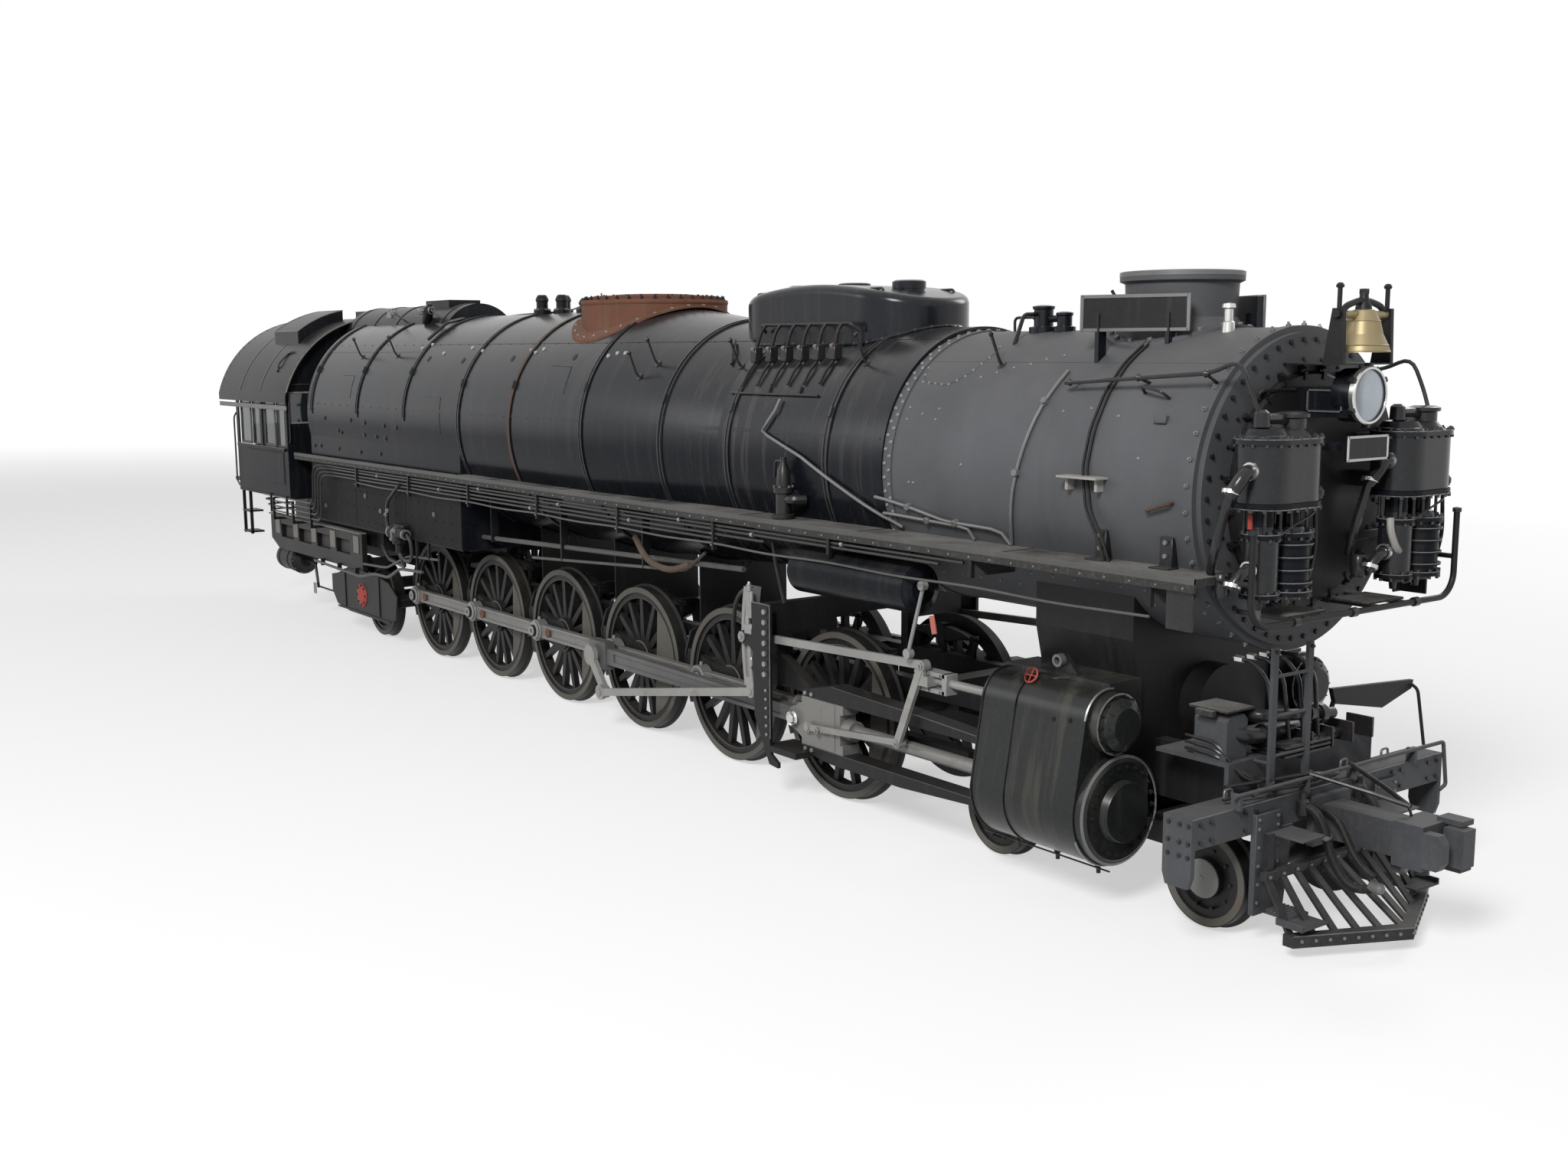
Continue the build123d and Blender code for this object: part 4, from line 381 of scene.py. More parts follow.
SLOT_FINISHES = {
    "graphite": GRAPHITE, "jacket_black": JACKET, "frame_black": CHASSIS, "wheel_black": WHEEL,
    "rod_steel": ROD, "rust_steel": RUSTED, "bell_brass": BRASS,
}
NODE_FINISHES = {"boiler": STAINED, "outside_cylinders": CYLINDER, "running_boards": BOARD,
                 "pilot_beam": FRONT, "coupler": FRONT, "coupler_knuckle": FRONT, "pilot": BARS,
                 "cab_roof": CAB_BLACK, "cab_sides": CAB_BLACK, "cab_front": CAB_BLACK, "turret": CAB_BLACK,
                 "main_rods": SHADED_MAIN_ROD, "valve_gear_right": GEAR, "valve_gear_left": GEAR,}


# Shapes as arrays.

def unit(rows: np.ndarray) -> np.ndarray:
    """Return vectors scaled to length one."""
    return rows / np.maximum(np.linalg.norm(rows, axis=-1, keepdims=True), 1e-9)


def grid_faces(rows: int, columns: int, wrap_rows: bool = False, wrap_columns: bool = False) -> np.ndarray:
    """Return the quads of a grid numbered row by row; a wrap joins the last row or column to the first.

    Args:
        rows: Points in one direction.
        columns: Points in the other.
        wrap_rows: Whether the last row joins the first.
        wrap_columns: Whether the last column joins the first.

    Returns:
        The faces, four points each.
    """
    i = np.arange(rows if wrap_rows else rows - 1)[:, None]
    j = np.arange(columns if wrap_columns else columns - 1)[None, :]
    below, beside = (i + 1) % rows, (j + 1) % columns
    corners = (i * columns + j, i * columns + beside, below * columns + beside, below * columns + j)
    return np.stack(corners, axis=-1).reshape(-1, 4)


@dataclass
class Shape:
    """A mesh as arrays: points, one row each, and tables of faces with one width each."""

    points: np.ndarray
    faces: list[np.ndarray]

    @staticmethod
    def join(*shapes: "Shape") -> "Shape":
        """Return several shapes as one."""
        starts = np.cumsum([0] + [len(s.points) for s in shapes])
        faces = [table + start for s, start in zip(shapes, starts) for table in s.faces]
        return Shape(np.vstack([s.points for s in shapes]), faces)

    def moved(self, x: float = 0.0, y: float = 0.0, z: float = 0.0) -> "Shape":
        """Return the shape shifted."""
        return Shape(self.points + (x, y, z), self.faces)

    def turned(self, degrees: float, axis: str, about: Sequence[float] = (0, 0, 0)) -> "Shape":
        """Return the shape turned about an axis through a point.

        Args:
            degrees: The turn.
            axis: x, y or z.
            about: A point of the axis.

        Returns:
            The turned shape.
        """
        turn = np.array(Matrix.Rotation(math.radians(degrees), 3, axis.upper()))
        centre = np.asarray(about, float)
        return Shape((self.points - centre) @ turn.T + centre, self.faces)

    def mirrored(self) -> "Shape":
        """Return the same shape on the other side of the engine."""
        return Shape(self.points * (1, -1, 1), [table[:, ::-1] for table in self.faces])

    def both(self) -> "Shape":
        """Return the shape and its mirror."""
        return Shape.join(self, self.mirrored())

    def repeated(self, offsets: Rows) -> "Shape":
        """Return one copy at each offset: every point plus every offset, as one array.

        Args:
            offsets: Rows of x, y and z.

        Returns:
            All the copies as one shape.
        """
        rows = np.asarray(offsets, float).reshape(-1, 3)
        count = len(self.points)
        points = (self.points[None] + rows[:, None]).reshape(-1, 3)
        shift = (np.arange(len(rows)) * count)[:, None, None]
        return Shape(points, [(table[None] + shift).reshape(-1, table.shape[1]) for table in self.faces])

    def mesh(self, name: str) -> bpy.types.Mesh:
        """Return a Blender mesh in the frame's place, doubles merged and faces outwards.

        Args:
            name: The mesh's name.

        Returns:
            The mesh.
        """
        made = bpy.data.meshes.new(name)
        corners = np.concatenate([table.ravel() for table in self.faces]).astype(np.int32)
        sizes = np.concatenate([np.full(len(table), table.shape[1]) for table in self.faces])
        starts = np.concatenate([[0], np.cumsum(sizes)[:-1]]).astype(np.int32)
        made.vertices.add(len(self.points))
        made.vertices.foreach_set("co", (self.points - (SHIFT, 0, 0)).astype(np.float32).ravel())
        made.loops.add(len(corners))
        made.loops.foreach_set("vertex_index", corners)
        made.polygons.add(len(sizes))
        made.polygons.foreach_set("loop_start", starts)
        made.update(calc_edges=True)
        work = bmesh.new()
        work.from_mesh(made)
        bmesh.ops.remove_doubles(work, verts=work.verts, dist=MERGE_WITHIN)
        bmesh.ops.recalc_face_normals(work, faces=work.faces)
        work.to_mesh(made)
        work.free()
        made.shade_smooth()
        made.set_sharp_from_angle(angle=SMOOTH_UNDER)
        return made


def prism(outline: Rows, axis: str, low: float, high: float) -> Shape:
    """Carry a flat outline, rows of the other two coordinates in x, y, z order, straight along an axis.

    Args:
        outline: The outline's points in order.
        axis: x, y or z.
        low: Where it starts along the axis.
        high: Where it ends.

    Returns:
        The closed shape.
    """
    rows = np.asarray(outline, float)
    along = "xyz".index(axis)
    points = np.zeros((2, len(rows), 3))
    points[:, :, [i for i in range(3) if i != along]] = rows
    points[0, :, along], points[1, :, along] = low, high
    count = np.arange(len(rows))
    return Shape(points.reshape(-1, 3), [grid_faces(2, len(rows), wrap_columns=True), count[None, ::-1],
                                         count[None] + len(rows)])


def slab(x0: float, x1: float, y0: float, y1: float, z0: float, z1: float) -> Shape:
    """Return a block between two corners, to be joined to others and eased."""
    return prism([(x0, y0), (x1, y0), (x1, y1), (x0, y1)], "z", z0, z1)


def rounded(points: Rows, bend: float, steps: int = 5) -> np.ndarray:
    """Round the corners of a path.

    Each corner b becomes the curve (1 - t)^2 a + 2 t (1 - t) b + t^2 c, where a and c lie on the runs
    one bend before and after it, or under half a run where it is short.

    Args:
        points: The path's corners.
        bend: How far from a corner its curve starts.
        steps: Points on each curve.

    Returns:
        The path's points.
    """
    path = np.asarray(points, float)
    if bend <= 0 or len(path) < 3:
        return path
    runs = np.diff(path, axis=0)
    reach = np.minimum(bend, 0.48 * np.linalg.norm(runs, axis=1, keepdims=True))
    ways = unit(runs)
    corner = path[1:-1]
    before = corner - ways[:-1] * reach[:-1]
    after = corner + ways[1:] * reach[1:]
    t = np.linspace(0, 1, steps)[None, :, None]
    curve = (1 - t) ** 2 * before[:, None] + 2 * t * (1 - t) * corner[:, None] + t * t * after[:, None]
    return np.vstack([path[:1], curve.reshape(-1, 3), path[-1:]])


def sweep(path: np.ndarray, profile: np.ndarray, up: Values = (0, 0, 1), loop: bool = False) -> Shape:
    """Carry a closed profile along a path.

    A point is the path's point, plus the profile's first number along the side direction, which is the
    path's direction crossed with up, plus its second number along the direction square to both.

    Args:
        path: Points in order.
        profile: The profile's points as two numbers each.
        up: A direction, or one for each point.
        loop: Whether the path closes on itself.

    Returns:
        The shape, with both ends closed unless it is a loop.
    """
    path = np.asarray(path, float)
    profile = np.asarray(profile, float)
    ahead = np.roll(path, -1, axis=0) - path
    behind = path - np.roll(path, 1, axis=0)
    if not loop:
        ahead[-1], behind[0] = behind[-1], ahead[0]
    way = unit(unit(ahead) + unit(behind))
    side = unit(np.cross(way, np.broadcast_to(np.asarray(up, float), path.shape)))
    rise = np.cross(side, way)
    points = path[:, None] + profile[None, :, :1] * side[:, None] + profile[None, :, 1:] * rise[:, None]
    faces = [grid_faces(len(path), len(profile), loop, True)]
    if not loop:
        count = np.arange(len(profile))
        faces += [count[None, ::-1], count[None] + (len(path) - 1) * len(profile)]
    return Shape(points.reshape(-1, 3), faces)


def circle(radius: float, sides: int) -> np.ndarray:
    """Return a circle's points as radius times (cos, sin)."""
    angle = np.linspace(0, 2 * math.pi, sides, endpoint=False)
    return radius * np.stack([np.cos(angle), np.sin(angle)], axis=1)


def strip(half: float, low: float, high: float) -> np.ndarray:
    """Return a flat bar's profile: half its width to each side, and from low to high."""
    return np.array([(-half, low), (half, low), (half, high), (-half, high)])


def tube(points: Rows, radius: float, bend: float = 0.0, sides: int = 8, loop: bool = False) -> Shape:
    """Return a round bar or pipe along a path with rounded corners.

    Args:
        points: The path's corners.
        radius: The bar's radius.
        bend: How far from a corner its curve starts.
        sides: Sides of the bar.
        loop: Whether the path closes on itself.

    Returns:
        The shape.
    """
    path = rounded(points, bend)
    lean = np.abs(unit(np.diff(path, axis=0))).max(axis=0)
    up = np.eye(3)[int(np.argmin(lean))]
    return sweep(path, circle(radius, sides), up, loop)


def lathe(profile: Rows, centre: Sequence[float], axis: str = "x", sides: int = 32,
          ring: bool = False) -> Shape:
    """Turn a profile about an axis.

    A point is the centre, plus the row's first number along the axis, plus its second times the cosine
    and sine of the angle across it. A ring's profile closes on itself; another starts and ends on the axis.

    Args:
        profile: Rows of the place along the axis and the radius.
        centre: What the rows are measured from.
        axis: x, y or z.
        sides: Steps round the axis.
        ring: Whether the profile closes on itself.

    Returns:
        The turned shape.
    """
    rows = np.asarray(profile, float)
    along = "xyz".index(axis)
    across = [i for i in range(3) if i != along]
    points = np.zeros((len(rows), sides, 3))
    points[:, :, along] = rows[:, :1]
    points[:, :, across] = rows[:, 1, None, None] * circle(1.0, sides)[None]
    faces = [grid_faces(len(rows), sides, ring, True)]
    return Shape(points.reshape(-1, 3) + np.asarray(centre, float), faces)


def washer(half: float, inner: float, outer: float, centre: Sequence[float], axis: str, sides: int) -> Shape:
    """Return a square-edged ring that reaches half to each side of its centre."""
    return lathe([(-half, inner), (-half, outer), (half, outer), (half, inner)], centre, axis, sides,
                 ring=True)


def bead(half: float, inner: float, outer: float, centre: Sequence[float], axis: str = "x",
         sides: int = 10) -> Shape:
    """Return a ring with a pointed edge that reaches half to each side of its centre."""
    return lathe([(-half, inner), (0.0, outer), (half, inner)], centre, axis, sides, ring=True)


class Head(Enum):
    """Small heads as (sides, rings), each ring a share of the radius and of the height."""

    RIVET = (8, ((1.0, -0.3), (0.95, 0.35), (0.62, 0.85)))
    BOLT = (6, ((1.0, -0.3), (1.0, 0.88), (0.84, 1.0)))
    STUD = (6, ((1.0, -0.2), (1.0, 0.5), (0.5, 0.5), (0.5, 1.0)))
    PLUG = (10, ((1.0, -0.2), (1.0, 0.45), (0.55, 0.55), (0.5, 1.0)))


def heads(places: Rows, outward: Values, radius: float, height: float, kind: Head = Head.BOLT) -> Shape:
    """Set one small head at many places.

    A point is the place, plus the ring's radius times the cosine and sine of its angle along two
    directions square to the outward one, plus the ring's height along that.

    Args:
        places: The middle of each foot.
        outward: A direction, or one for each place.
        radius: The foot's radius.
        height: The head's height.
        kind: Which head.

    Returns:
        All the heads as one shape.
    """
    spots = np.asarray(places, float).reshape(-1, 3)
    out = unit(np.broadcast_to(np.asarray(outward, float), spots.shape))
    helper = np.where(np.abs(out[:, :1]) > 0.9, (0.0, 1.0, 0.0), (1.0, 0.0, 0.0))
    first = unit(np.cross(out, helper))
    second = np.cross(out, first)
    sides, rings = kind.value
    turn = circle(1.0, sides)
    share = np.asarray(rings)
    flat = share[:, 0, None, None] * radius * turn[None]
    points = (spots[:, None, None] + flat[None, :, :, :1] * first[:, None, None]
              + flat[None, :, :, 1:] * second[:, None, None]
              + (share[:, 1] * height)[None, :, None, None] * out[:, None, None])
    each = len(rings) * sides
    shift = (np.arange(len(spots)) * each)[:, None, None]
    walls = grid_faces(len(rings), sides, wrap_columns=True)
    cap = np.arange(sides)[None]
    faces = [(table[None] + shift).reshape(-1, table.shape[1])
             for table in (walls, cap[:, ::-1], cap + each - sides)]
    return Shape(points.reshape(-1, 3), faces)


def line(start: Sequence[float], end: Sequence[float], count: int) -> np.ndarray:
    """Return evenly spaced points from start to end."""
    return np.linspace(np.asarray(start, float), np.asarray(end, float), count)


def around(centre: Sequence[float], radius: float, count: int, axis: str = "x",
           first: float = 0.0) -> np.ndarray:
    """Return points evenly round a circle across an axis, from a first angle in degrees.

    Args:
        centre: The circle's centre.
        radius: Its radius.
        count: How many points.
        axis: x, y or z.
        first: The first point's angle.

    Returns:
        The points.
    """
    angle = np.radians(first) + np.linspace(0, 2 * math.pi, count, endpoint=False)
    points = np.zeros((count, 3))
    across = [i for i in range(3) if i != "xyz".index(axis)]
    points[:, across] = radius * np.stack([np.cos(angle), np.sin(angle)], 1)
    return points + np.asarray(centre, float)


def spaced(points: Rows, step: float) -> np.ndarray:
    """Return points at even steps along a path.

    Args:
        points: The path's corners.
        step: About how far apart.

    Returns:
        The points, both ends among them.
    """
    path = np.asarray(points, float)
    far = np.concatenate([[0], np.cumsum(np.linalg.norm(np.diff(path, axis=0), axis=1))])
    at = np.linspace(0, far[-1], max(2, int(round(far[-1] / step)) + 1))
    return np.stack([np.interp(at, far, path[:, i]) for i in range(3)], axis=1)


class Skin:
    """The outside of the boiler, from the firebox to the smokebox.

    Stations are rows of x, radius and the centre's height. Angles are degrees up from the engine's
    right side, so 90 is the top and 180 the left side. Straps and seams start a little way under
    the surface, at the height SUNK over it. The steps are metres, and degrees for a strap.
    """

    STATIONS = np.array([(-6.35, 1.120, 3.450), (-5.151, 1.120, 3.450), (-5.15, 1.440, 3.450),
                         (3.60, 1.440, 3.450), (6.00, 1.250, 3.360), (8.60, 1.250, 3.360),
                         (8.601, 1.225, 3.335), (12.04, 1.225, 3.335)])
    SUNK = -0.01
    PIPE_STEP = 0.12
    SEAM_STEP = 0.25
    STRAP_STEP = 5

    @classmethod
    def size(cls, x: Values) -> tuple[np.ndarray, np.ndarray]:
        """Return the radius and the centre's height at x, read between the stations."""
        return (np.interp(x, cls.STATIONS[:, 0], cls.STATIONS[:, 1]),
                np.interp(x, cls.STATIONS[:, 0], cls.STATIONS[:, 2]))

    @classmethod
    def at(cls, x: Values, angle: Values, proud: float = 0.0) -> np.ndarray:
        """Return points: y is minus the radius times the cosine, z the centre plus radius times the sine.

        Args:
            x: One place along the engine or many.
            angle: Degrees, one or as many.
            proud: Height over the skin.

        Returns:
            The points.
        """
        x, angle = np.broadcast_arrays(np.asarray(x, float), np.radians(np.asarray(angle, float)))
        radius, middle = cls.size(x)
        return np.stack([x, -(radius + proud) * np.cos(angle), middle + (radius + proud) * np.sin(angle)],
                        axis=-1)

    @staticmethod
    def out(angle: Values) -> np.ndarray:
        """Return the outward directions at these angles."""
        turn = np.radians(np.asarray(angle, float))
        return np.stack([np.zeros_like(turn), -np.cos(turn), np.sin(turn)], axis=-1)

    @classmethod
    def angle(cls, x: Values, z: Values) -> np.ndarray:
        """Return the angle on the right side where the skin is at this height."""
        radius, middle = cls.size(np.asarray(x, float))
        return np.degrees(np.arcsin(np.clip((np.asarray(z, float) - middle) / radius, -1, 1)))

    @classmethod
    def steps(cls, rows: Rows, step: float) -> np.ndarray:
        """Return rows of x and height at even steps over the skin through rows of the same kind.

        Args:
            rows: Rows of x and height on the right side.
            step: About how far apart.

        Returns:
            The finer rows.
        """
        table = np.asarray(rows, float)
        path = spaced(cls.at(table[:, 0], cls.angle(table[:, 0], table[:, 1])), step)
        return path[:, [0, 2]]

    @classmethod
    def pipe(cls, rows: Rows, radius: float, proud: float) -> Shape:
        """Lay a pipe over the skin through rows of x and height on the right side."""
        path = cls.steps(rows, cls.PIPE_STEP)
        return tube(cls.at(path[:, 0], cls.angle(path[:, 0], path[:, 1]), proud), radius)

    @classmethod
    def dots(cls, rows: Rows, radius: float, height: float, kind: Head, proud: float = 0.0) -> Shape:
        """Set small heads on the skin at rows of x and height on the right side.

        Args:
            rows: Rows of x and height.
            radius: The head's radius.
            height: Its height.
            kind: Which head.
            proud: Height of the feet over the skin.

        Returns:
            All the heads as one shape.
        """
        table = np.asarray(rows, float)
        angle = cls.angle(table[:, 0], table[:, 1])
        return heads(cls.at(table[:, 0], angle, proud), cls.out(angle), radius, height, kind)

    @classmethod
    def strap(cls, x: float, low: float, high: float, width: float, proud: float) -> Shape:
        """Lay a thin flat band round the skin between two angles."""
        angle = np.linspace(low, high, max(4, int(abs(high - low) / cls.STRAP_STEP)))
        return sweep(cls.at(x, angle), strip(width / 2, cls.SUNK, proud), cls.out(angle))

    @classmethod
    def seam(cls, x0: float, x1: float, z: float, width: float, proud: float) -> Shape:
        """Lay a thin flat strip along the skin at one height on the right side.

        Args:
            x0: Where it starts.
            x1: Where it ends.
            z: Its height.
            width: Its width.
            proud: Height over the skin.

        Returns:
            The strip.
        """
        x = np.linspace(x0, x1, max(3, int((x1 - x0) / cls.SEAM_STEP)))
        angle = cls.angle(x, z)
        return sweep(cls.at(x, angle), strip(width / 2, cls.SUNK, proud), cls.out(angle))


@dataclass
class Assembly:
    """A group of pieces; each rides on a body and takes a finish."""

    body: str = "engine"

    def add(self, name: str, shape: Shape, finish: Finish, body: Optional[str] = None,
            ease: float = 0.0) -> None:
        """Make one piece.

        Args:
            name: The piece's name.
            shape: Its form, in x from the fifth driving axle.
            finish: Its finish.
            body: The body that it rides on, if not the group's.
            ease: Width of the small bevel on its edges, or 0.
        """
        made = bpy.data.objects.new(name, shape.mesh(name))
        bpy.context.scene.collection.objects.link(made)
        made.data.materials.append(finish.material())
        if ease > 0:
            edge = made.modifiers.new("ease", "BEVEL")
            edge.width, edge.segments, edge.limit_method = ease, 1, "ANGLE"
            edge.angle_limit = EASE_OVER
        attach(made, body or self.body)
        LOG.info("made %s: %d faces in %s", name, len(made.data.polygons), finish.name)

    def build(self) -> None:
        """Make every piece of the group."""
        raise NotImplementedError


@dataclass
class Studio:
    """Floor, lamps, world and the camera at the photograph's angle.

    The camera's place is in metres in the frame, its turn in degrees, its lens and sensor in
    millimetres. The floor turns white from near to far, in metres from the engine's middle. The
    sky's two numbers are its strength as light and as the backdrop that is seen.
    """

    eye: tuple[float, float, float] = (17.183, -10.329, 4.428)
    azimuth: float = 53.59
    elevation: float = 8.591
    roll: float = -0.314
    lens: float = 36.567
    sensor: float = 36.0
    clip: float = 1000.0
    floor_size: float = 600.0
    floor_tone: float = 0.60
    floor_glow: float = 0.55
    near: float = 14.0
    far: float = 34.0
    sky: tuple[float, float] = (0.16, 1.0)

    def build(self) -> None:
        """Make the camera, the floor, the lamps and the world."""
        self._camera()
        self._floor()
        self._lamps()
        self._world()

    def _camera(self) -> None:
        """Aim the camera: its back axis is (sin a cos e, -cos a cos e, sin e), then rolled about it."""
        data = bpy.data.cameras.new("camera")
        data.sensor_width, data.lens, data.clip_end = self.sensor, self.lens, self.clip
        made = bpy.data.objects.new("camera", data)
        bpy.context.scene.collection.objects.link(made)
        a, e, r = (math.radians(v) for v in (self.azimuth, self.elevation, self.roll))
        back = Vector((math.sin(a) * math.cos(e), -math.cos(a) * math.cos(e), math.sin(e)))
        right = Vector((math.cos(a), math.sin(a), 0.0))
        up = back.cross(right)
        turned = right * math.cos(r) + up * math.sin(r)
        risen = up * math.cos(r) - right * math.sin(r)
        made.matrix_world = Matrix.Translation(self.eye) @ Matrix((turned, risen, back)).transposed().to_4x4()
        bpy.context.scene.camera = made

    @staticmethod
    def _seen(pen: Pen) -> bpy.types.NodeSocket:
        """Return 1 for what the camera sees straight, mirrored or through glass."""
        path = pen.node("LightPath")
        shown = pen.math("MAXIMUM", path.outputs["Is Camera Ray"], path.outputs["Is Transmission Ray"])
        return pen.math("MAXIMUM", shown, path.outputs["Is Glossy Ray"])

    def _floor(self) -> None:
        """Lay one pale square under the wheels; far from the engine it turns to the backdrop's white."""
        half = self.floor_size / 2
        mesh = bpy.data.meshes.new("floor")
        mesh.from_pydata([(-half, -half, 0), (half, -half, 0), (half, half, 0), (-half, half, 0)], [],
                         [(0, 1, 2, 3)])
        made = bpy.data.objects.new("floor", mesh)
        bpy.context.scene.collection.objects.link(made)
        mat = bpy.data.materials.new("floor")
        mat.use_nodes = True
        mat.node_tree.nodes.clear()
        pen = Pen(mat.node_tree)
        place = pen.node("TexCoord").outputs["Object"]
        away = pen.node("VectorMath", {0: place, 1: (0.45, 1.0, 1.0)}, operation="MULTIPLY").outputs[0]
        mask = pen.span(pen.node("VectorMath", {0: away}, operation="LENGTH").outputs["Value"], self.near,
                        self.far)
        lift = pen.math("ADD", self.floor_glow, pen.math("MULTIPLY", mask, 1.0 - self.floor_glow))
        glow = pen.math("MULTIPLY", lift, self._seen(pen))
        tone = (self.floor_tone, self.floor_tone, self.floor_tone, 1)
        shader = pen.node("BsdfPrincipled", {
            "Base Color": pen.blend(mask, tone, (0, 0, 0, 1)), "Roughness": 0.9, "Specular IOR Level": 0.1,
            "Emission Color": pen.blend(glow, (0, 0, 0, 1), (1, 1, 1, 1)), "Emission Strength": 1.0})
        out = pen.node("OutputMaterial")
        mat.node_tree.links.new(shader.outputs[0], out.inputs[0])
        mesh.materials.append(mat)

    def _lamps(self) -> None:
        """Hang soft area lamps: one key from the front right above, one fill and one behind."""
        rows = [
            ("key", (20.0, -24.0, 20.0), 9.0, 7500.0),
            ("fill", (-16.0, -26.0, 14.0), 14.0, 1200.0),
            ("rim", (4.0, 26.0, 18.0), 12.0, 1800.0),
        ]
        for name, place, size, power in rows:
            data = bpy.data.lights.new(name, "AREA")
            data.shape, data.size, data.energy = "DISK", size, power
            made = bpy.data.objects.new(name, data)
            made.location = place
            made.rotation_euler = (Vector((0, 0, 2)) - Vector(place)).to_track_quat("-Z", "Y").to_euler()
            bpy.context.scene.collection.objects.link(made)

    def _world(self) -> None:
        """Light from an even sky, shown white behind the object."""
        world = bpy.data.worlds.new("studio")
        bpy.context.scene.world = world
        world.use_nodes = True
        world.node_tree.nodes.clear()
        pen = Pen(world.node_tree)
        strength = pen.node("MapRange", {0: self._seen(pen), 3: self.sky[0], 4: self.sky[1]}).outputs[0]
        shade = pen.node("Background", {"Color": (1.0, 1.0, 1.0, 1), "Strength": strength})
        out = pen.node("OutputWorld")
        world.node_tree.links.new(shade.outputs[0], out.inputs[0])


@dataclass
class Dressing:
    """Gives every carried-over CAD node the finish of its slot, or one named for it."""

    special: dict[str, Finish] = field(default_factory=lambda: dict(NODE_FINISHES))

    def build(self) -> None:
        """Put a finish on each node."""
        slots = {row["node"]: row["material_slot"] for row in frame["record"]["subparts"]}
        for name, node in frame["nodes"].items():
            finish = self.special.get(name, SLOT_FINISHES[slots[name]])
            if not node.material_slots:
                node.data.materials.append(finish.material())
            for held in node.material_slots:
                held.material = finish.material()
            LOG.info("dressed %s in %s", name, finish.name)


# The boiler and what is on it.

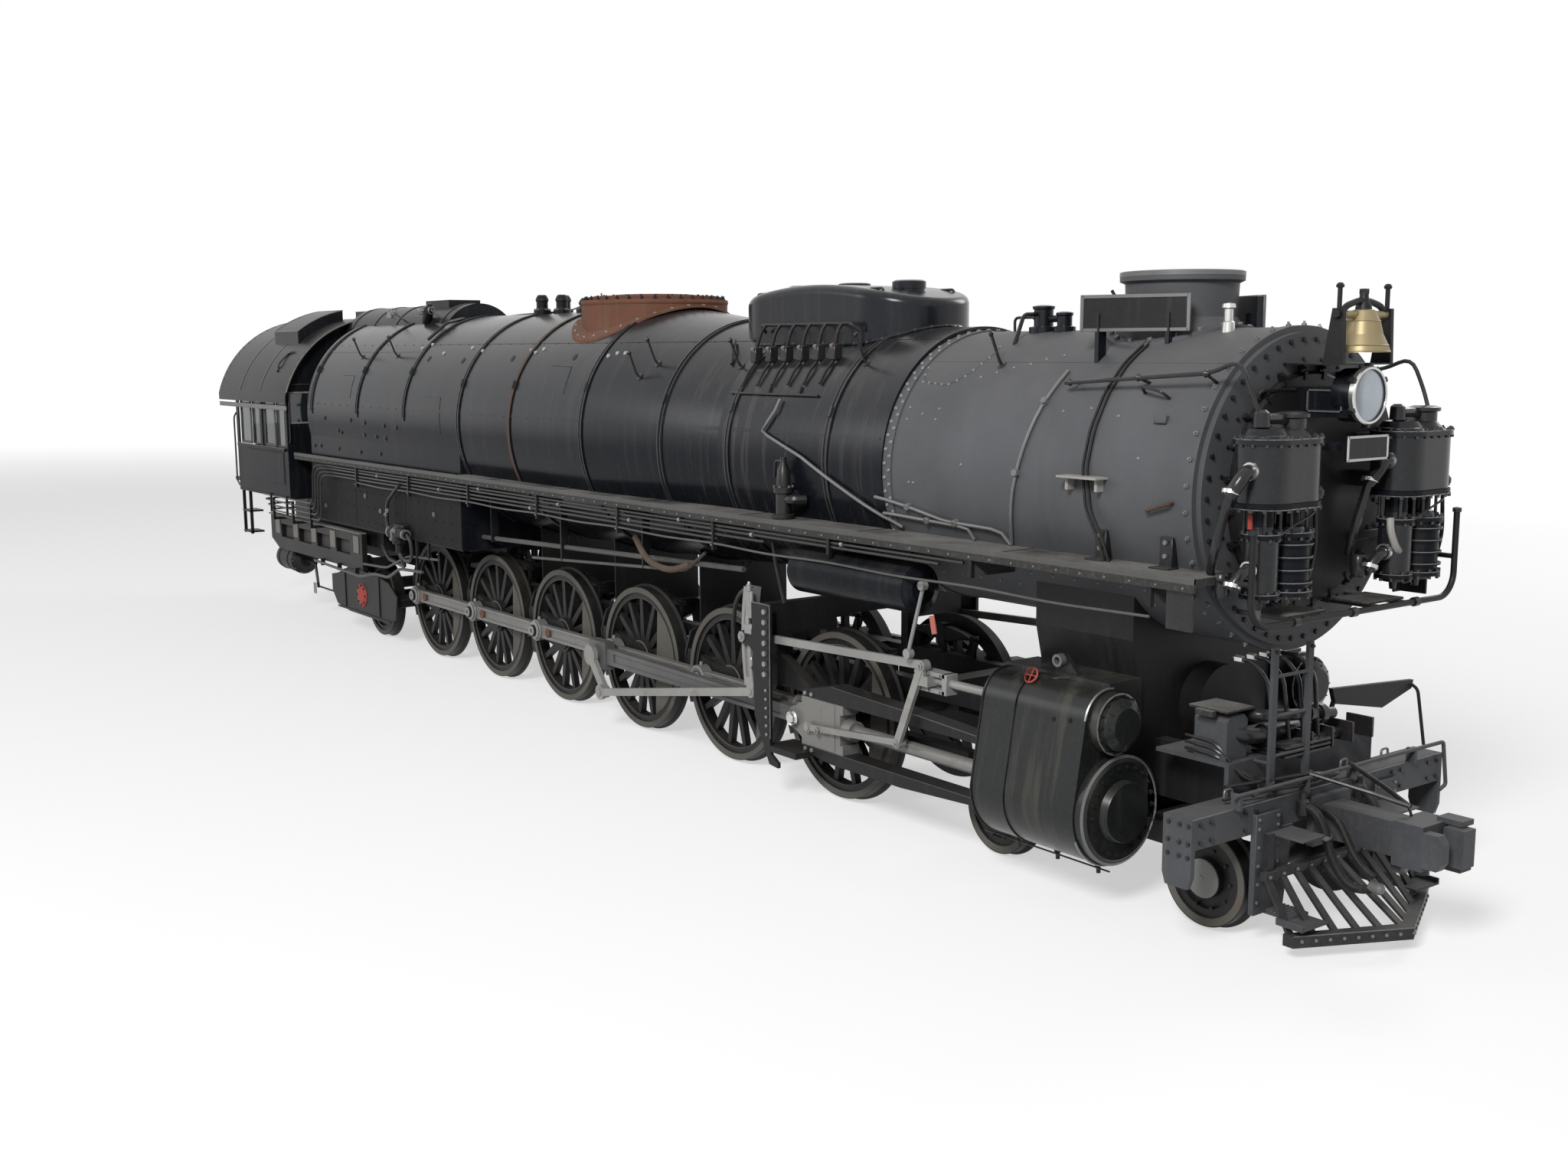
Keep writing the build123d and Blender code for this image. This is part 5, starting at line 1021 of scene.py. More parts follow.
@dataclass
class Jacket(Assembly):
    """Bands, seams, plugs and stanchions on the boiler jacket.

    Bands are rows of x, first and last angle. Heights are in metres over the flange bottoms.
    """

    bands: tuple = ((-4.96, 2, 178), (-3.12, 2, 178), (-1.43, 2, 178), (0.317, -62, 242), (1.76, -62, 242),
                    (3.53, -62, 242), (5.03, -62, 242), (6.18, -62, 242), (7.79, -62, 242))
    rusty_band: float = 1.76
    upper_seam: float = 4.50
    lower_seam: float = 3.62
    plugs: tuple = ((-1.58, 4.44), (-1.35, 4.49), (-0.75, 4.37), (0.01, 4.44), (0.38, 4.40), (1.71, 4.41),
                    (1.87, 4.38), (2.02, 4.42), (3.66, 4.34), (3.79, 4.37), (3.93, 4.37))
    holes: tuple = ((-1.12, 4.30), (-0.02, 4.28), (1.36, 4.31), (2.91, 4.33))
    washouts: tuple = ((-4.42, 3.40), (-3.37, 3.40), (-2.84, 3.38), (-2.13, 3.36), (-1.70, 3.35),
                       (-3.92, 3.22), (-3.80, 3.20), (-2.91, 3.20), (-2.47, 3.19), (-2.15, 3.18))
    low_washouts: tuple = ((-5.0, 2.95), (-4.74, 2.96), (-4.00, 2.95), (-3.13, 2.94), (-2.39, 2.95))
    stanchions: tuple = ((-3.51, 4.32), (-2.25, 4.34), (4.61, 4.26), (4.42, 4.12), (5.94, 4.24), (7.90, 4.28),
                         (9.63, 4.27))
    panels: tuple = (((-0.89, 3.80), (-0.28, 3.80), (-0.24, 3.31)),
                     ((2.48, 4.23), (2.98, 4.22), (3.02, 3.91)), ((-3.9, 4.05), (-3.45, 4.05), (-3.42, 3.72)))
    side: float = 1.40

    def build(self) -> None:
        """Make the bands, seams, plugs and stanchions."""
        self._bands()
        self._seams()
        self._plugs()
        self._stanchions()

    def _bands(self) -> None:
        """Lay a narrow raised edge on both rims of each band, and a screw clip low on it."""
        edges = [Skin.strap(x + dx, low, high, 0.016, 0.019) for x, low, high in self.bands
                 for dx in (-0.026, 0.026) if x != self.rusty_band]
        self.add("band_edges", Shape.join(*edges), BAND)
        self.add("rusty_band", Skin.strap(self.rusty_band, -62, 242, 0.060, 0.018), BROWN_BAND)
        clips = []
        for x, low, _ in self.bands:
            angle = 28 if low > 0 else 22
            for tilt in (angle, 180 - angle):
                place, out = Skin.at(x, tilt, 0.03), Skin.out(tilt)
                along = np.cross(out, (1, 0, 0))
                clips.append(tube([place - along * 0.05, place + along * 0.05], 0.016, sides=6))
        self.add("band_clips", Shape.join(*clips), BAND)

    def _seams(self) -> None:
        """Lay the long joints of the jacket sheets, with their row of small screws."""
        strips = [Skin.seam(x0, x1, z, 0.030, 0.003)
                  for x0, x1, z in ((-1.4, 8.55, self.upper_seam), (-1.4, 8.55, self.lower_seam),
                                    (-5.1, -1.4, 4.40), (-5.1, -1.4, 3.56))]
        self.add("jacket_seams", Shape.join(*strips).both(), JACKET)
        screws = [Skin.dots([(x, z - 0.012) for x in np.arange(-5.0, 8.5, 0.30)], 0.009, 0.005, Head.RIVET,
                            0.002)
                  for z in (self.upper_seam, self.lower_seam)]
        outlines = [Skin.pipe(rows, 0.005, 0.002) for rows in self.panels]
        self.add("jacket_screws", Shape.join(*screws, *outlines).both(), BAND)

    def _plugs(self) -> None:
        """Set bright plugs, dark sockets and washout plugs."""
        for name, table, radius, height, finish in (("bright_plugs", self.plugs, 0.026, 0.022, BRIGHT),
                                                    ("dark_sockets", self.holes, 0.048, 0.008, CHASSIS),
                                                    ("washout_plugs", self.washouts, 0.034, 0.020, BAND)):
            self.add(name, Skin.dots(table, radius, height, Head.PLUG).both(), finish)
        low = [(x, -self.side, z) for x, z in self.low_washouts]
        self.add("low_washout_plugs", heads(low, (0, -1, 0), 0.034, 0.020, Head.PLUG).both(), BAND)

    def _stanchions(self) -> None:
        """Stand short leaning stanchions with a foot and an eye on the jacket's shoulder."""
        parts = []
        for x, z in self.stanchions:
            angle = float(Skin.angle(x, z))
            base, out = Skin.at(x, angle), Skin.out(angle)
            top = base + np.array((0.0, -0.13, 0.26))
            parts.append(tube([base - out * 0.02, base + out * 0.05, top], 0.014, 0.04, 6))
            parts.append(heads([base], [out], 0.045, 0.014, Head.PLUG))
            parts.append(bead(0.016, 0.012, 0.028, top))
        self.add("jacket_stanchions", Shape.join(*parts).both(), PIPE)


@dataclass
class Smokebox(Assembly):
    """Rivets, pipes, handrails and the door's fastenings on the smokebox.

    Rows on the shell hold x and height on the engine's right.
    """

    centre_z: float = 3.335
    shell_r: float = 1.225
    ring_r: float = 1.237
    front_x: float = 12.085
    seam_rows: tuple = (8.628, 8.685)
    loose_rivets: tuple = ((9.80, 4.25), (9.96, 4.28), (10.09, 4.32), (10.25, 4.35), (9.64, 4.21),
                           (9.49, 4.17), (8.80, 3.90), (8.81, 3.80), (8.99, 3.85), (9.18, 3.90), (9.18, 3.81),
                           (8.94, 3.26), (9.00, 3.26), (10.62, 3.92), (10.9, 3.95), (11.2, 3.9), (11.5, 3.6),
                           (9.6, 3.45))
    patch: tuple = ((8.74, 4.24), (8.80, 4.12), (9.13, 4.10), (9.29, 4.17), (9.37, 4.27), (9.41, 4.35),
                    (9.38, 4.42))
    band_pipe: tuple = ((10.46, 4.22), (10.44, 4.13), (10.38, 3.91), (10.31, 3.58), (10.23, 3.24),
                        (10.17, 2.95), (10.13, 2.83))
    low_pipes: tuple = (((8.51, 3.11), (8.92, 3.05), (9.39, 2.96), (10.02, 2.94), (10.10, 2.89),
                         (10.12, 2.83)),
                        ((8.59, 2.97), (9.07, 2.95), (9.62, 2.93), (9.69, 2.90), (9.69, 2.83)))

    def build(self) -> None:
        """Make every group of parts on the smokebox."""
        self._rivets()
        self._door()
        self._pipes()
        self._rails()
        self._top()
        self._brackets()

    def _ring(self, x: float, step: float, shift: float = 0.0) -> tuple[np.ndarray, np.ndarray]:
        """Return places and outward directions round the shell's ring at x."""
        angle = np.arange(-66 + shift, 246, math.degrees(step / self.ring_r))
        return Skin.at(x, angle, self.ring_r - self.shell_r), Skin.out(angle)

    def _rivets(self) -> None:
        """Set the two staggered rows at the rear seam, the nuts of the front ring and the patch."""
        rows = [self._ring(x, 0.125, 3.0 * i) for i, x in enumerate(self.seam_rows)]
        parts = [heads(places, out, 0.021, 0.015, Head.RIVET) for places, out in rows]
        places, out = self._ring(11.995, 0.19)
        parts.append(heads(places, out, 0.019, 0.034, Head.STUD))
        ring = Skin.dots(Skin.steps(self.patch, 0.085), 0.016, 0.010, Head.RIVET)
        spots = Skin.dots(self.loose_rivets, 0.015, 0.010, Head.RIVET)
        self.add("smokebox_rivets", Shape.join(*parts, Shape.join(ring, spots).both()), STEEL_DOT)
        edge, seam = Skin.pipe(self.patch, 0.006, 0.001), Skin.seam(8.72, 11.94, 4.30, 0.020, 0.002)
        self.add("smokebox_patch", Shape.join(edge.both(), seam.both()), GRAPHITE)

    def _door(self) -> None:
        """Cover the door in black with its rim, dogs and hinge, and bolt the annulus round it."""
        x0 = self.front_x
        cover = lathe([(x0 - 0.01, 0.898), (x0 + 0.034, 0.898), (x0 + 0.055, 0.876), (x0 + 0.055, 0.482),
                       (x0 + 0.090, 0.332), (x0 + 0.105, 0.151), (x0 + 0.107, 0.0)], (0, 0, self.centre_z),
                      "x", 96)
        self.add("door_cover", cover, DOOR)
        middle = (x0 - 0.002, 0, self.centre_z)
        bolts = heads(around(middle, 1.135, 46), (1, 0, 0), 0.020, 0.020)
        inner = heads(around(middle, 0.99, 28, first=4), (1, 0, 0), 0.016, 0.014)
        self.add("front_bolts", Shape.join(bolts, inner), CHASSIS)
        dog = Shape.join(slab(x0 - 0.005, x0 + 0.030, -0.022, 0.022, 0.86, 0.955),
                         slab(x0 + 0.030, x0 + 0.066, -0.016, 0.016, 0.84, 0.90)).moved(0, 0, self.centre_z)
        nut = heads([(x0 + 0.028, 0, self.centre_z + 0.93)], (1, 0, 0), 0.020, 0.04, Head.STUD)
        dogs = [Shape.join(dog, nut).turned(15 * k + 7, "x", (0, 0, self.centre_z)) for k in range(24)]
        self.add("door_dogs", Shape.join(*dogs), CHASSIS)
        hinges = [slab(x0, x0 + 0.075, 0.55, 1.02, z - 0.035, z + 0.035) for z in (2.95, 3.72)]
        pins = [tube([(x0 + 0.05, 0.99, z - 0.07), (x0 + 0.05, 0.99, z + 0.07)], 0.026) for z in (2.95, 3.72)]
        self.add("door_hinges", Shape.join(*hinges, *pins), CHASSIS, ease=0.006)

    def _pipes(self) -> None:
        """Lay the pipes that run over the shell, with clips, and the two leads from the number board."""
        over = Skin.pipe(self.band_pipe, 0.015, 0.020)
        low = [Skin.pipe(rows, 0.016, 0.026) for rows in self.low_pipes]
        self.add("shell_pipes", Shape.join(over, *low), EDGE)
        clips = []
        for x, z in ((10.40, 3.98), (10.27, 3.42), (8.92, 3.05), (9.5, 2.955), (9.15, 2.95)):
            angle = float(Skin.angle(x, z))
            clips.append(heads([Skin.at(x, angle)], [Skin.out(angle)], 0.034, 0.05, Head.BOLT))
        self.add("shell_pipe_clips", Shape.join(*clips), WORN_EDGE)
        leads = []
        for shift in (0.0, 0.045):
            path = [Skin.at(10.98 + shift, angle, 0.022) for angle in (64, 50, 36, 22, 8)]
            path += [Skin.at(11.05 + shift, -6, 0.05), np.array((11.20 + shift, -1.27, 2.95)),
                     np.array((11.26 + shift, -1.27, 2.80))]
            leads.append(tube(path, 0.011, 0.06, 6))
        self.add("lamp_leads", Shape.join(*leads), RUBBER)

    def _rails(self) -> None:
        """Make the long handrail and its posts, the short grips and the brown handle."""
        rail = tube([(10.61, -1.05, 4.14), (12.04, -1.05, 4.23), (12.27, -1.05, 4.33), (12.39, -1.05, 4.08),
                     (12.46, -1.03, 3.90)], 0.016, 0.12, 8)
        posts = []
        for x, z in ((10.66, 4.145), (11.35, 4.19), (11.98, 4.225)):
            posts.append(tube([(x, -1.05, z), Skin.at(x, 42, -0.02)], 0.013, sides=6))
            posts.append(bead(0.03, 0.014, 0.030, (x, -1.05, z)))
        bar = tube([(12.10, -0.63, 4.02), (12.14, -0.63, 4.10), (12.14, -0.22, 4.10), (12.10, -0.22, 4.02)],
                   0.013, 0.04)
        grip = tube([Skin.at(11.36, 37, -0.01), Skin.at(11.38, 37, 0.09), Skin.at(11.60, 35, 0.09),
                     Skin.at(11.62, 35, -0.01)], 0.012, 0.04)
        loop = tube([Skin.at(9.02, 88, -0.01), Skin.at(9.02, 88, 0.12), Skin.at(9.28, 88, 0.12),
                     Skin.at(9.28, 88, -0.01)], 0.013, 0.05)
        self.add("smokebox_handrails", Shape.join(Shape.join(rail, *posts).both(), bar.both(), grip, loop),
                 PIPE)
        handle = tube([Skin.at(11.64, -5, -0.01), Skin.at(11.64, -5, 0.05), Skin.at(11.86, -2, 0.05),
                       Skin.at(11.86, -2, -0.01)], 0.014, 0.03)
        self.add("brown_handle", handle, BROWN_BAND)
        self.add("shell_latch", slab(11.57, 11.69, -1.135, -1.085, 3.86, 3.92), GRAPHITE, ease=0.008)

    def _top(self) -> None:
        """Stand the two small valve bodies on the crown, joined by a pipe."""
        parts = []
        for x, r, top in ((9.45, 0.085, 4.78), (9.70, 0.065, 4.72)):
            parts.append(lathe([(4.50, 0.0), (4.50, r * 1.5), (4.59, r * 1.5), (4.60, r), (top - 0.04, r),
                                (top - 0.03, r * 1.15), (top - 0.01, r * 1.15), (top, r * 0.6), (top, 0.0)],
                               (x, -0.12, 0), "z", 20))
        parts.append(tube([(9.45, -0.12, 4.66), (9.70, -0.12, 4.66)], 0.03))
        parts.append(tube([(9.45, -0.12, 4.70), (9.45, -0.36, 4.70), (9.50, -0.52, 4.44)], 0.018, 0.05))
        self.add("crown_valves", Shape.join(*parts), JACKET)

    def _brackets(self) -> None:
        """Make the step pad and the bolted brackets that tie the shell to the running board."""
        pad = Shape.join(slab(10.82, 11.23, -1.36, -1.20, 3.425, 3.445),
                         slab(10.86, 10.89, -1.30, -1.20, 3.33, 3.43),
                         slab(11.16, 11.19, -1.30, -1.20, 3.33, 3.43))
        self.add("step_pad", pad, PALE, ease=0.004)
        ties, nuts = [], []
        for x0, x1 in ((11.11, 11.22), (11.74, 11.86)):
            ties.append(slab(x0, x1, -1.215, -1.165, 2.80, 3.04))
            ties.append(slab(x0 - 0.03, x1 + 0.03, -1.30, -1.165, 2.80, 2.822))
            middle = (x0 + x1) / 2
            nuts += [(middle, -1.215, 2.90), (middle, -1.215, 3.0)]
        self.add("board_ties", Shape.join(*ties).both(), PIPE, ease=0.004)
        self.add("board_tie_nuts", heads(nuts, (0, -1, 0), 0.020, 0.02).both(), STEEL_DOT)


@dataclass
class BoilerTop(Assembly):
    """Chimney rim, number boards, sand box, dome and the fittings over the firebox.

    The number boards stay blank. The long casing is given by its centre's height and its radius.
    """

    stack_x: float = 10.865
    board_mid: tuple[float, float, float] = (10.919, -0.605, 4.68)
    board_turn: float = 24.2
    board_half: tuple[float, float] = (0.425, 0.13)
    sand_mid: float = 6.675
    sand_half: tuple[float, float] = (1.405, 0.625)
    dome_x: float = 2.85
    casing: tuple[float, float] = (4.48, 0.6)

    def build(self) -> None:
        """Make each of the parts along the crown."""
        self._stack()
        self._boards()
        self._sand()
        self._dome()
        self._fittings()
        self._turret()

    @staticmethod
    def _foot_heads(x0: float, reach: float, degrees: np.ndarray, barrel: tuple[float, float], height: float,
                    kind: Head) -> Shape:
        """Set small heads where a circle about x0 meets a barrel, given as (centre's height, radius).

        Args:
            x0: The circle's middle.
            reach: Its radius.
            degrees: Where the heads stand on it.
            barrel: The centre's height and the radius of the barrel.
            height: The head's height.
            kind: Which head.

        Returns:
            All the heads as one shape.
        """
        turn = np.radians(degrees)
        middle, radius = barrel
        x, y = x0 + reach * np.cos(turn), reach * np.sin(turn)
        z = middle + np.sqrt(radius ** 2 - y ** 2)
        return heads(np.stack([x, y, z], 1), np.stack([0 * x, y, z - middle], 1), 0.022, height, kind)

    def _stack(self) -> None:
        """Give the chimney a worn pale rim, foot bolts, a small lever and a valve."""
        rim = lathe([(4.972, 0.4945), (5.006, 0.4945), (5.012, 0.480), (5.012, 0.402), (5.000, 0.388),
                     (4.90, 0.388), (4.90, 0.42), (4.972, 0.42)], (self.stack_x, 0, 0), "z", 64, ring=True)
        self.add("stack_rim", rim, WORN_EDGE)
        collar = lathe([(4.925, 0.452), (4.940, 0.462), (4.955, 0.462), (4.955, 0.44)], (self.stack_x, 0, 0),
                       "z", 64, ring=True)
        self.add("stack_collar", collar, GRAPHITE)
        bolts = self._foot_heads(self.stack_x, 0.545, np.arange(5, 365, 20), (3.335, 1.25), 0.022, Head.BOLT)
        self.add("stack_bolts", bolts, STEEL_DOT)
        lever = Shape.join(tube([(10.37, -0.14, 4.56), (10.37, -0.14, 4.72), (10.30, -0.20, 4.88)], 0.014,
                                0.04),
                           lathe([(4.54, 0.0), (4.54, 0.07), (4.60, 0.06), (4.66, 0.035), (4.66, 0.0)],
                                 (10.37, -0.14, 0), "z", 14))
        valve = lathe([(4.50, 0.0), (4.50, 0.055), (4.60, 0.05), (4.61, 0.036), (4.70, 0.036), (4.71, 0.055),
                       (4.74, 0.05), (4.75, 0.0)], (11.53, -0.25, 0), "z", 14)
        self.add("stack_lever", lever, PIPE)
        self.add("stack_valve", valve, BRIGHT)

    def _boards(self) -> None:
        """Frame each blank number board and divide its face by thin bars."""
        half_l, half_h = self.board_half
        y = -0.030
        frame_bars = [slab(-half_l, half_l, y - 0.012, y + 0.01, side * half_h - 0.014, side * half_h + 0.014)
                      for side in (-1, 1)]
        frame_bars += [slab(side * half_l - 0.014, side * half_l + 0.014, y - 0.012, y + 0.01,
                            -half_h - 0.014, half_h + 0.014)
                       for side in (-1, 1)]
        bars = Shape.join(*frame_bars)
        face = slab(-half_l + 0.012, half_l - 0.012, y - 0.006, y + 0.01, -half_h + 0.012, half_h - 0.012)
        top = slab(-half_l, half_l, y, 0.030, half_h - 0.004, half_h + 0.012)
        for name, shape, finish in (("board_frames", Shape.join(bars, top), WORN_EDGE),
                                    ("board_faces", face, DOOR)):
            placed = shape.moved(*self.board_mid).turned(self.board_turn, "z", self.board_mid)
            self.add(name, placed.both(), finish, ease=0.003)

    def _sand(self) -> None:
        """Ring the sand box's edge and fillers, and add its grip and base screws."""
        half_l, half_w = self.sand_half
        run = half_l - half_w
        turn = np.radians(np.linspace(-90, 90, 13))
        front = np.stack([run + half_w * np.cos(turn), half_w * np.sin(turn)], 1)
        oval = np.vstack([front, -front])
        x, y = self.sand_mid + oval[:, 0], oval[:, 1]
        foot = 3.36 + np.sqrt(1.25 ** 2 - y ** 2)
        path = np.stack([x, y, foot + 0.012], 1)
        self.add("sand_box_foot", tube(path, 0.020, sides=6, loop=True), JACKET)
        spots = spaced(np.vstack([path, path[:1]]), 0.16)[:-1]
        away = spots - (self.sand_mid, 0, 0)
        away[:, 0] *= 0.6
        away[:, 2] = 0.5
        self.add("sand_box_screws", heads(spots, away, 0.022, 0.026, Head.RIVET), BAND)
        lids = [lathe([(low, 0.0), (low, 0.165), (rim, 0.165), (5.066, 0.14), (5.066, 0.0)],
                      (self.sand_mid + dx, 0, 0), "z", 28)
                for dx, low, rim in ((-0.843, 4.985, 5.052), (0, 5.015, 5.058), (0.843, 4.985, 5.052))]
        self.add("sand_box_lids", Shape.join(*lids), JACKET)
        grips = [tube([(x, -0.45, 4.87), (x, -0.45, 4.98), (x + 0.22, -0.45, 4.98), (x + 0.22, -0.45, 4.87)],
                      0.013, 0.04) for x in (5.62, 7.45)]
        self.add("sand_box_grips", Shape.join(*grips).both(), BAND)

    def _dome(self) -> None:
        """Set the studs of the dome's lid, its edge and the screws of its skirt."""
        centre = (self.dome_x, 0, 0)
        studs = heads(around((self.dome_x, 0, 4.985), 0.832, 34, "z"), (0, 0, 1), 0.020, 0.055, Head.STUD)
        top = heads(around((self.dome_x, 0, 5.030), 0.70, 24, "z"), (0, 0, 1), 0.016, 0.02, Head.BOLT)
        self.add("dome_studs", Shape.join(studs, top), CHASSIS)
        lip = lathe([(4.972, 0.860), (4.990, 0.878), (4.955, 0.886), (4.935, 0.878)], centre, "z", 64,
                    ring=True)
        self.add("dome_lip", lip, RUSTED)
        screws = self._foot_heads(self.dome_x, 0.955, np.arange(4, 364, 12), (3.45, 1.465), 0.018, Head.RIVET)
        self.add("dome_skirt_screws", screws, WORN_EDGE)

    def _fittings(self) -> None:
        """Dress the safety valves and the whistle with caps, nuts and their thin rod."""
        parts, bright = [], []
        for x, y, r, top in ((0.31, -0.17, 0.075, 5.13), (0.31, 0.17, 0.075, 5.13), (0.54, 0.0, 0.075, 5.13),
                             (1.21, 0.0, 0.095, 5.07)):
            parts.append(lathe([(4.86, r * 1.05), (4.88, r * 1.22), (4.94, r * 1.22), (4.96, r * 1.05)],
                               (x, y, 0), "z", 20, ring=True))
            parts.append(lathe([(top - 0.09, r * 1.02), (top - 0.08, r * 1.14), (top - 0.05, r * 1.14),
                                (top - 0.04, r * 1.0)], (x, y, 0), "z", 20, ring=True))
            bright.append(heads(around((x, y, 4.93), r * 1.32, 6, "z"), (0, 0, 1), 0.012, 0.02))
        rod = tube([(1.58, 0, 4.86), (1.58, 0, 5.12)], 0.012, sides=6)
        lever = tube([(1.21, 0.0, 5.05), (1.21, 0.10, 5.07), (0.9, 0.22, 5.02), (0.2, 0.30, 4.93),
                      (-1.6, 0.42, 4.86)], 0.010, 0.1, 6)
        self.add("valve_rings", Shape.join(*parts), CHASSIS)
        self.add("valve_nuts", Shape.join(*bright, rod), WORN_EDGE)
        self.add("whistle_rod", lever, PIPE)

    def _turret(self) -> None:
        """Dress the long casing with straps, a tilted bottle, a triangle and valve stems."""
        ring = np.radians(np.linspace(28, 152, 26))
        middle, radius = self.casing
        straps = []
        for x in (-5.45, -4.6, -3.75, -2.15):
            path = np.stack([np.full(26, x), -radius * np.cos(ring), middle + radius * np.sin(ring)], 1)
            straps.append(sweep(path, strip(0.02, -0.008, 0.010), path - (x, 0, middle)))
        self.add("casing_straps", Shape.join(*straps), BAND)
        bottle = lathe([(0.0, 0.0), (0.0, 0.06), (0.03, 0.075), (0.24, 0.075), (0.27, 0.04), (0.32, 0.03),
                        (0.32, 0.0)], (0, 0, 0), "z", 16).turned(28, "y").moved(-2.62, -0.52, 4.80)
        self.add("casing_bottle", bottle, JACKET)
        triangle = prism([(-4.35, 4.82), (-4.05, 4.82), (-4.28, 5.02)], "y", -0.42, -0.38)
        self.add("casing_triangle", triangle, PALE, ease=0.005)
        valves = (-2.55, -2.2, -3.55)
        stems = [tube([(x, -0.45, 4.86), (x, -0.62, 4.98)], 0.014, sides=6) for x in valves]
        rings = [bead(0.010, 0.045, 0.058, (x, -0.62, 4.98), "x", 14) for x in valves]
        self.add("casing_hand_wheels", Shape.join(*stems, *rings), WORN_EDGE)
        pipes = [tube([(-1.95, -0.2, 4.86), (-1.7, -0.35, 4.86), (-1.5, -0.7, 4.80), (-1.5, -1.0, 4.56)],
                      0.022, 0.1),
                 tube([(-1.92, 0.2, 4.86), (-1.2, 0.3, 4.90), (-0.2, 0.35, 4.92), (0.3, 0.20, 4.90)], 0.020,
                      0.1)]
        self.add("casing_pipes", Shape.join(*pipes), PIPE)


@dataclass
class SandGear(Assembly):
    """The row of sand traps beside the sand box, their pipes, and the feed pipe and valve below them."""

    first: tuple[float, float] = (6.18, 4.30)
    last: tuple[float, float] = (7.42, 4.33)
    count: int = 6
    bar_y: float = -0.75
    bar_z: float = 4.65

    def build(self) -> None:
        """Make the bar, the traps, their pipes and the feed pipe."""
        spots = np.linspace(self.first, self.last, self.count)
        bodies, pipes, nuts = [], [], []
        for x, z in spots:
            angle = float(Skin.angle(x, z))
            middle, out = Skin.at(x, angle, 0.07), Skin.out(angle)
            bodies.append(slab(x - 0.045, x + 0.045, middle[1] - 0.05, middle[1] + 0.05, middle[2] - 0.075,
                               middle[2] + 0.075))
            pipes.append(tube([(x, self.bar_y, self.bar_z), (x + 0.03, self.bar_y - 0.08, self.bar_z - 0.06),
                               middle + (0.0, 0.0, 0.07)], 0.020, 0.05, 6))
            pipes.append(tube([middle - (0, 0, 0.06), Skin.at(x + 0.01, angle - 9, 0.03),
                               Skin.at(x + 0.02, angle - 16, 0.02)], 0.016, 0.04, 6))
            nuts.append(heads([middle + out * 0.06, middle - (0, 0, 0.085)], [out, (0, 0, -1)], 0.022, 0.03))
        bar = tube([(6.05, -0.66, 4.58), (6.10, self.bar_y, self.bar_z), (7.54, self.bar_y, self.bar_z),
                    (7.58, -0.66, 4.58)], 0.017, 0.04)
        posts = [tube([(5.52, -0.68, 4.51), (5.66, -0.80, 4.44), (5.80, -0.92, 4.26)], 0.017, 0.05),
                 tube([(7.61, -0.68, 4.49), (7.72, -0.78, 4.44), (7.86, -0.86, 4.30)], 0.017, 0.05)]
        rail = Skin.pipe(((6.05, 3.97), (7.5, 3.97)), 0.012, 0.016)
        drops = [Skin.pipe(((x, 4.05), (x + 0.02, 3.97)), 0.012, 0.016) for x, _ in spots[::2]]
        self.add("sand_traps", Shape.join(*bodies).both(), PIPE, ease=0.008)
        self.add("sand_pipes", Shape.join(bar, *posts, *pipes, rail, *drops).both(), PIPE)
        self.add("sand_trap_nuts", Shape.join(*nuts).both(), STEEL_DOT)
        feed = Skin.pipe(((6.95, 3.92), (6.93, 3.81), (6.79, 3.61), (7.44, 3.41), (8.36, 3.02), (8.79, 2.86)),
                         0.016, 0.030)
        check = Shape.join(lathe([(2.81, 0.0), (2.81, 0.11), (2.85, 0.11), (2.86, 0.075), (3.05, 0.075),
                                  (3.06, 0.10), (3.11, 0.10), (3.12, 0.07), (3.28, 0.06), (3.34, 0.03),
                                  (3.40, 0.03), (3.40, 0.0)], (7.26, -1.34, 0), "z", 20),
                           tube([(7.26, -1.34, 3.0), (7.40, -1.34, 3.0), (7.46, -1.22, 3.0)], 0.045, 0.05),
                           tube([(7.26, -1.34, 3.36), (7.16, -1.36, 3.36), (7.12, -1.34, 3.20)], 0.014, 0.03))
        self.add("feed_pipe", feed, EDGE)
        self.add("check_valve", check.both(), PIPE)
        bolts = heads(around((7.26, -1.34, 3.11), 0.088, 6, "z"), (0, 0, 1), 0.012, 0.02)
        self.add("check_valve_bolts", bolts.both(), STEEL_DOT)


# The front end.

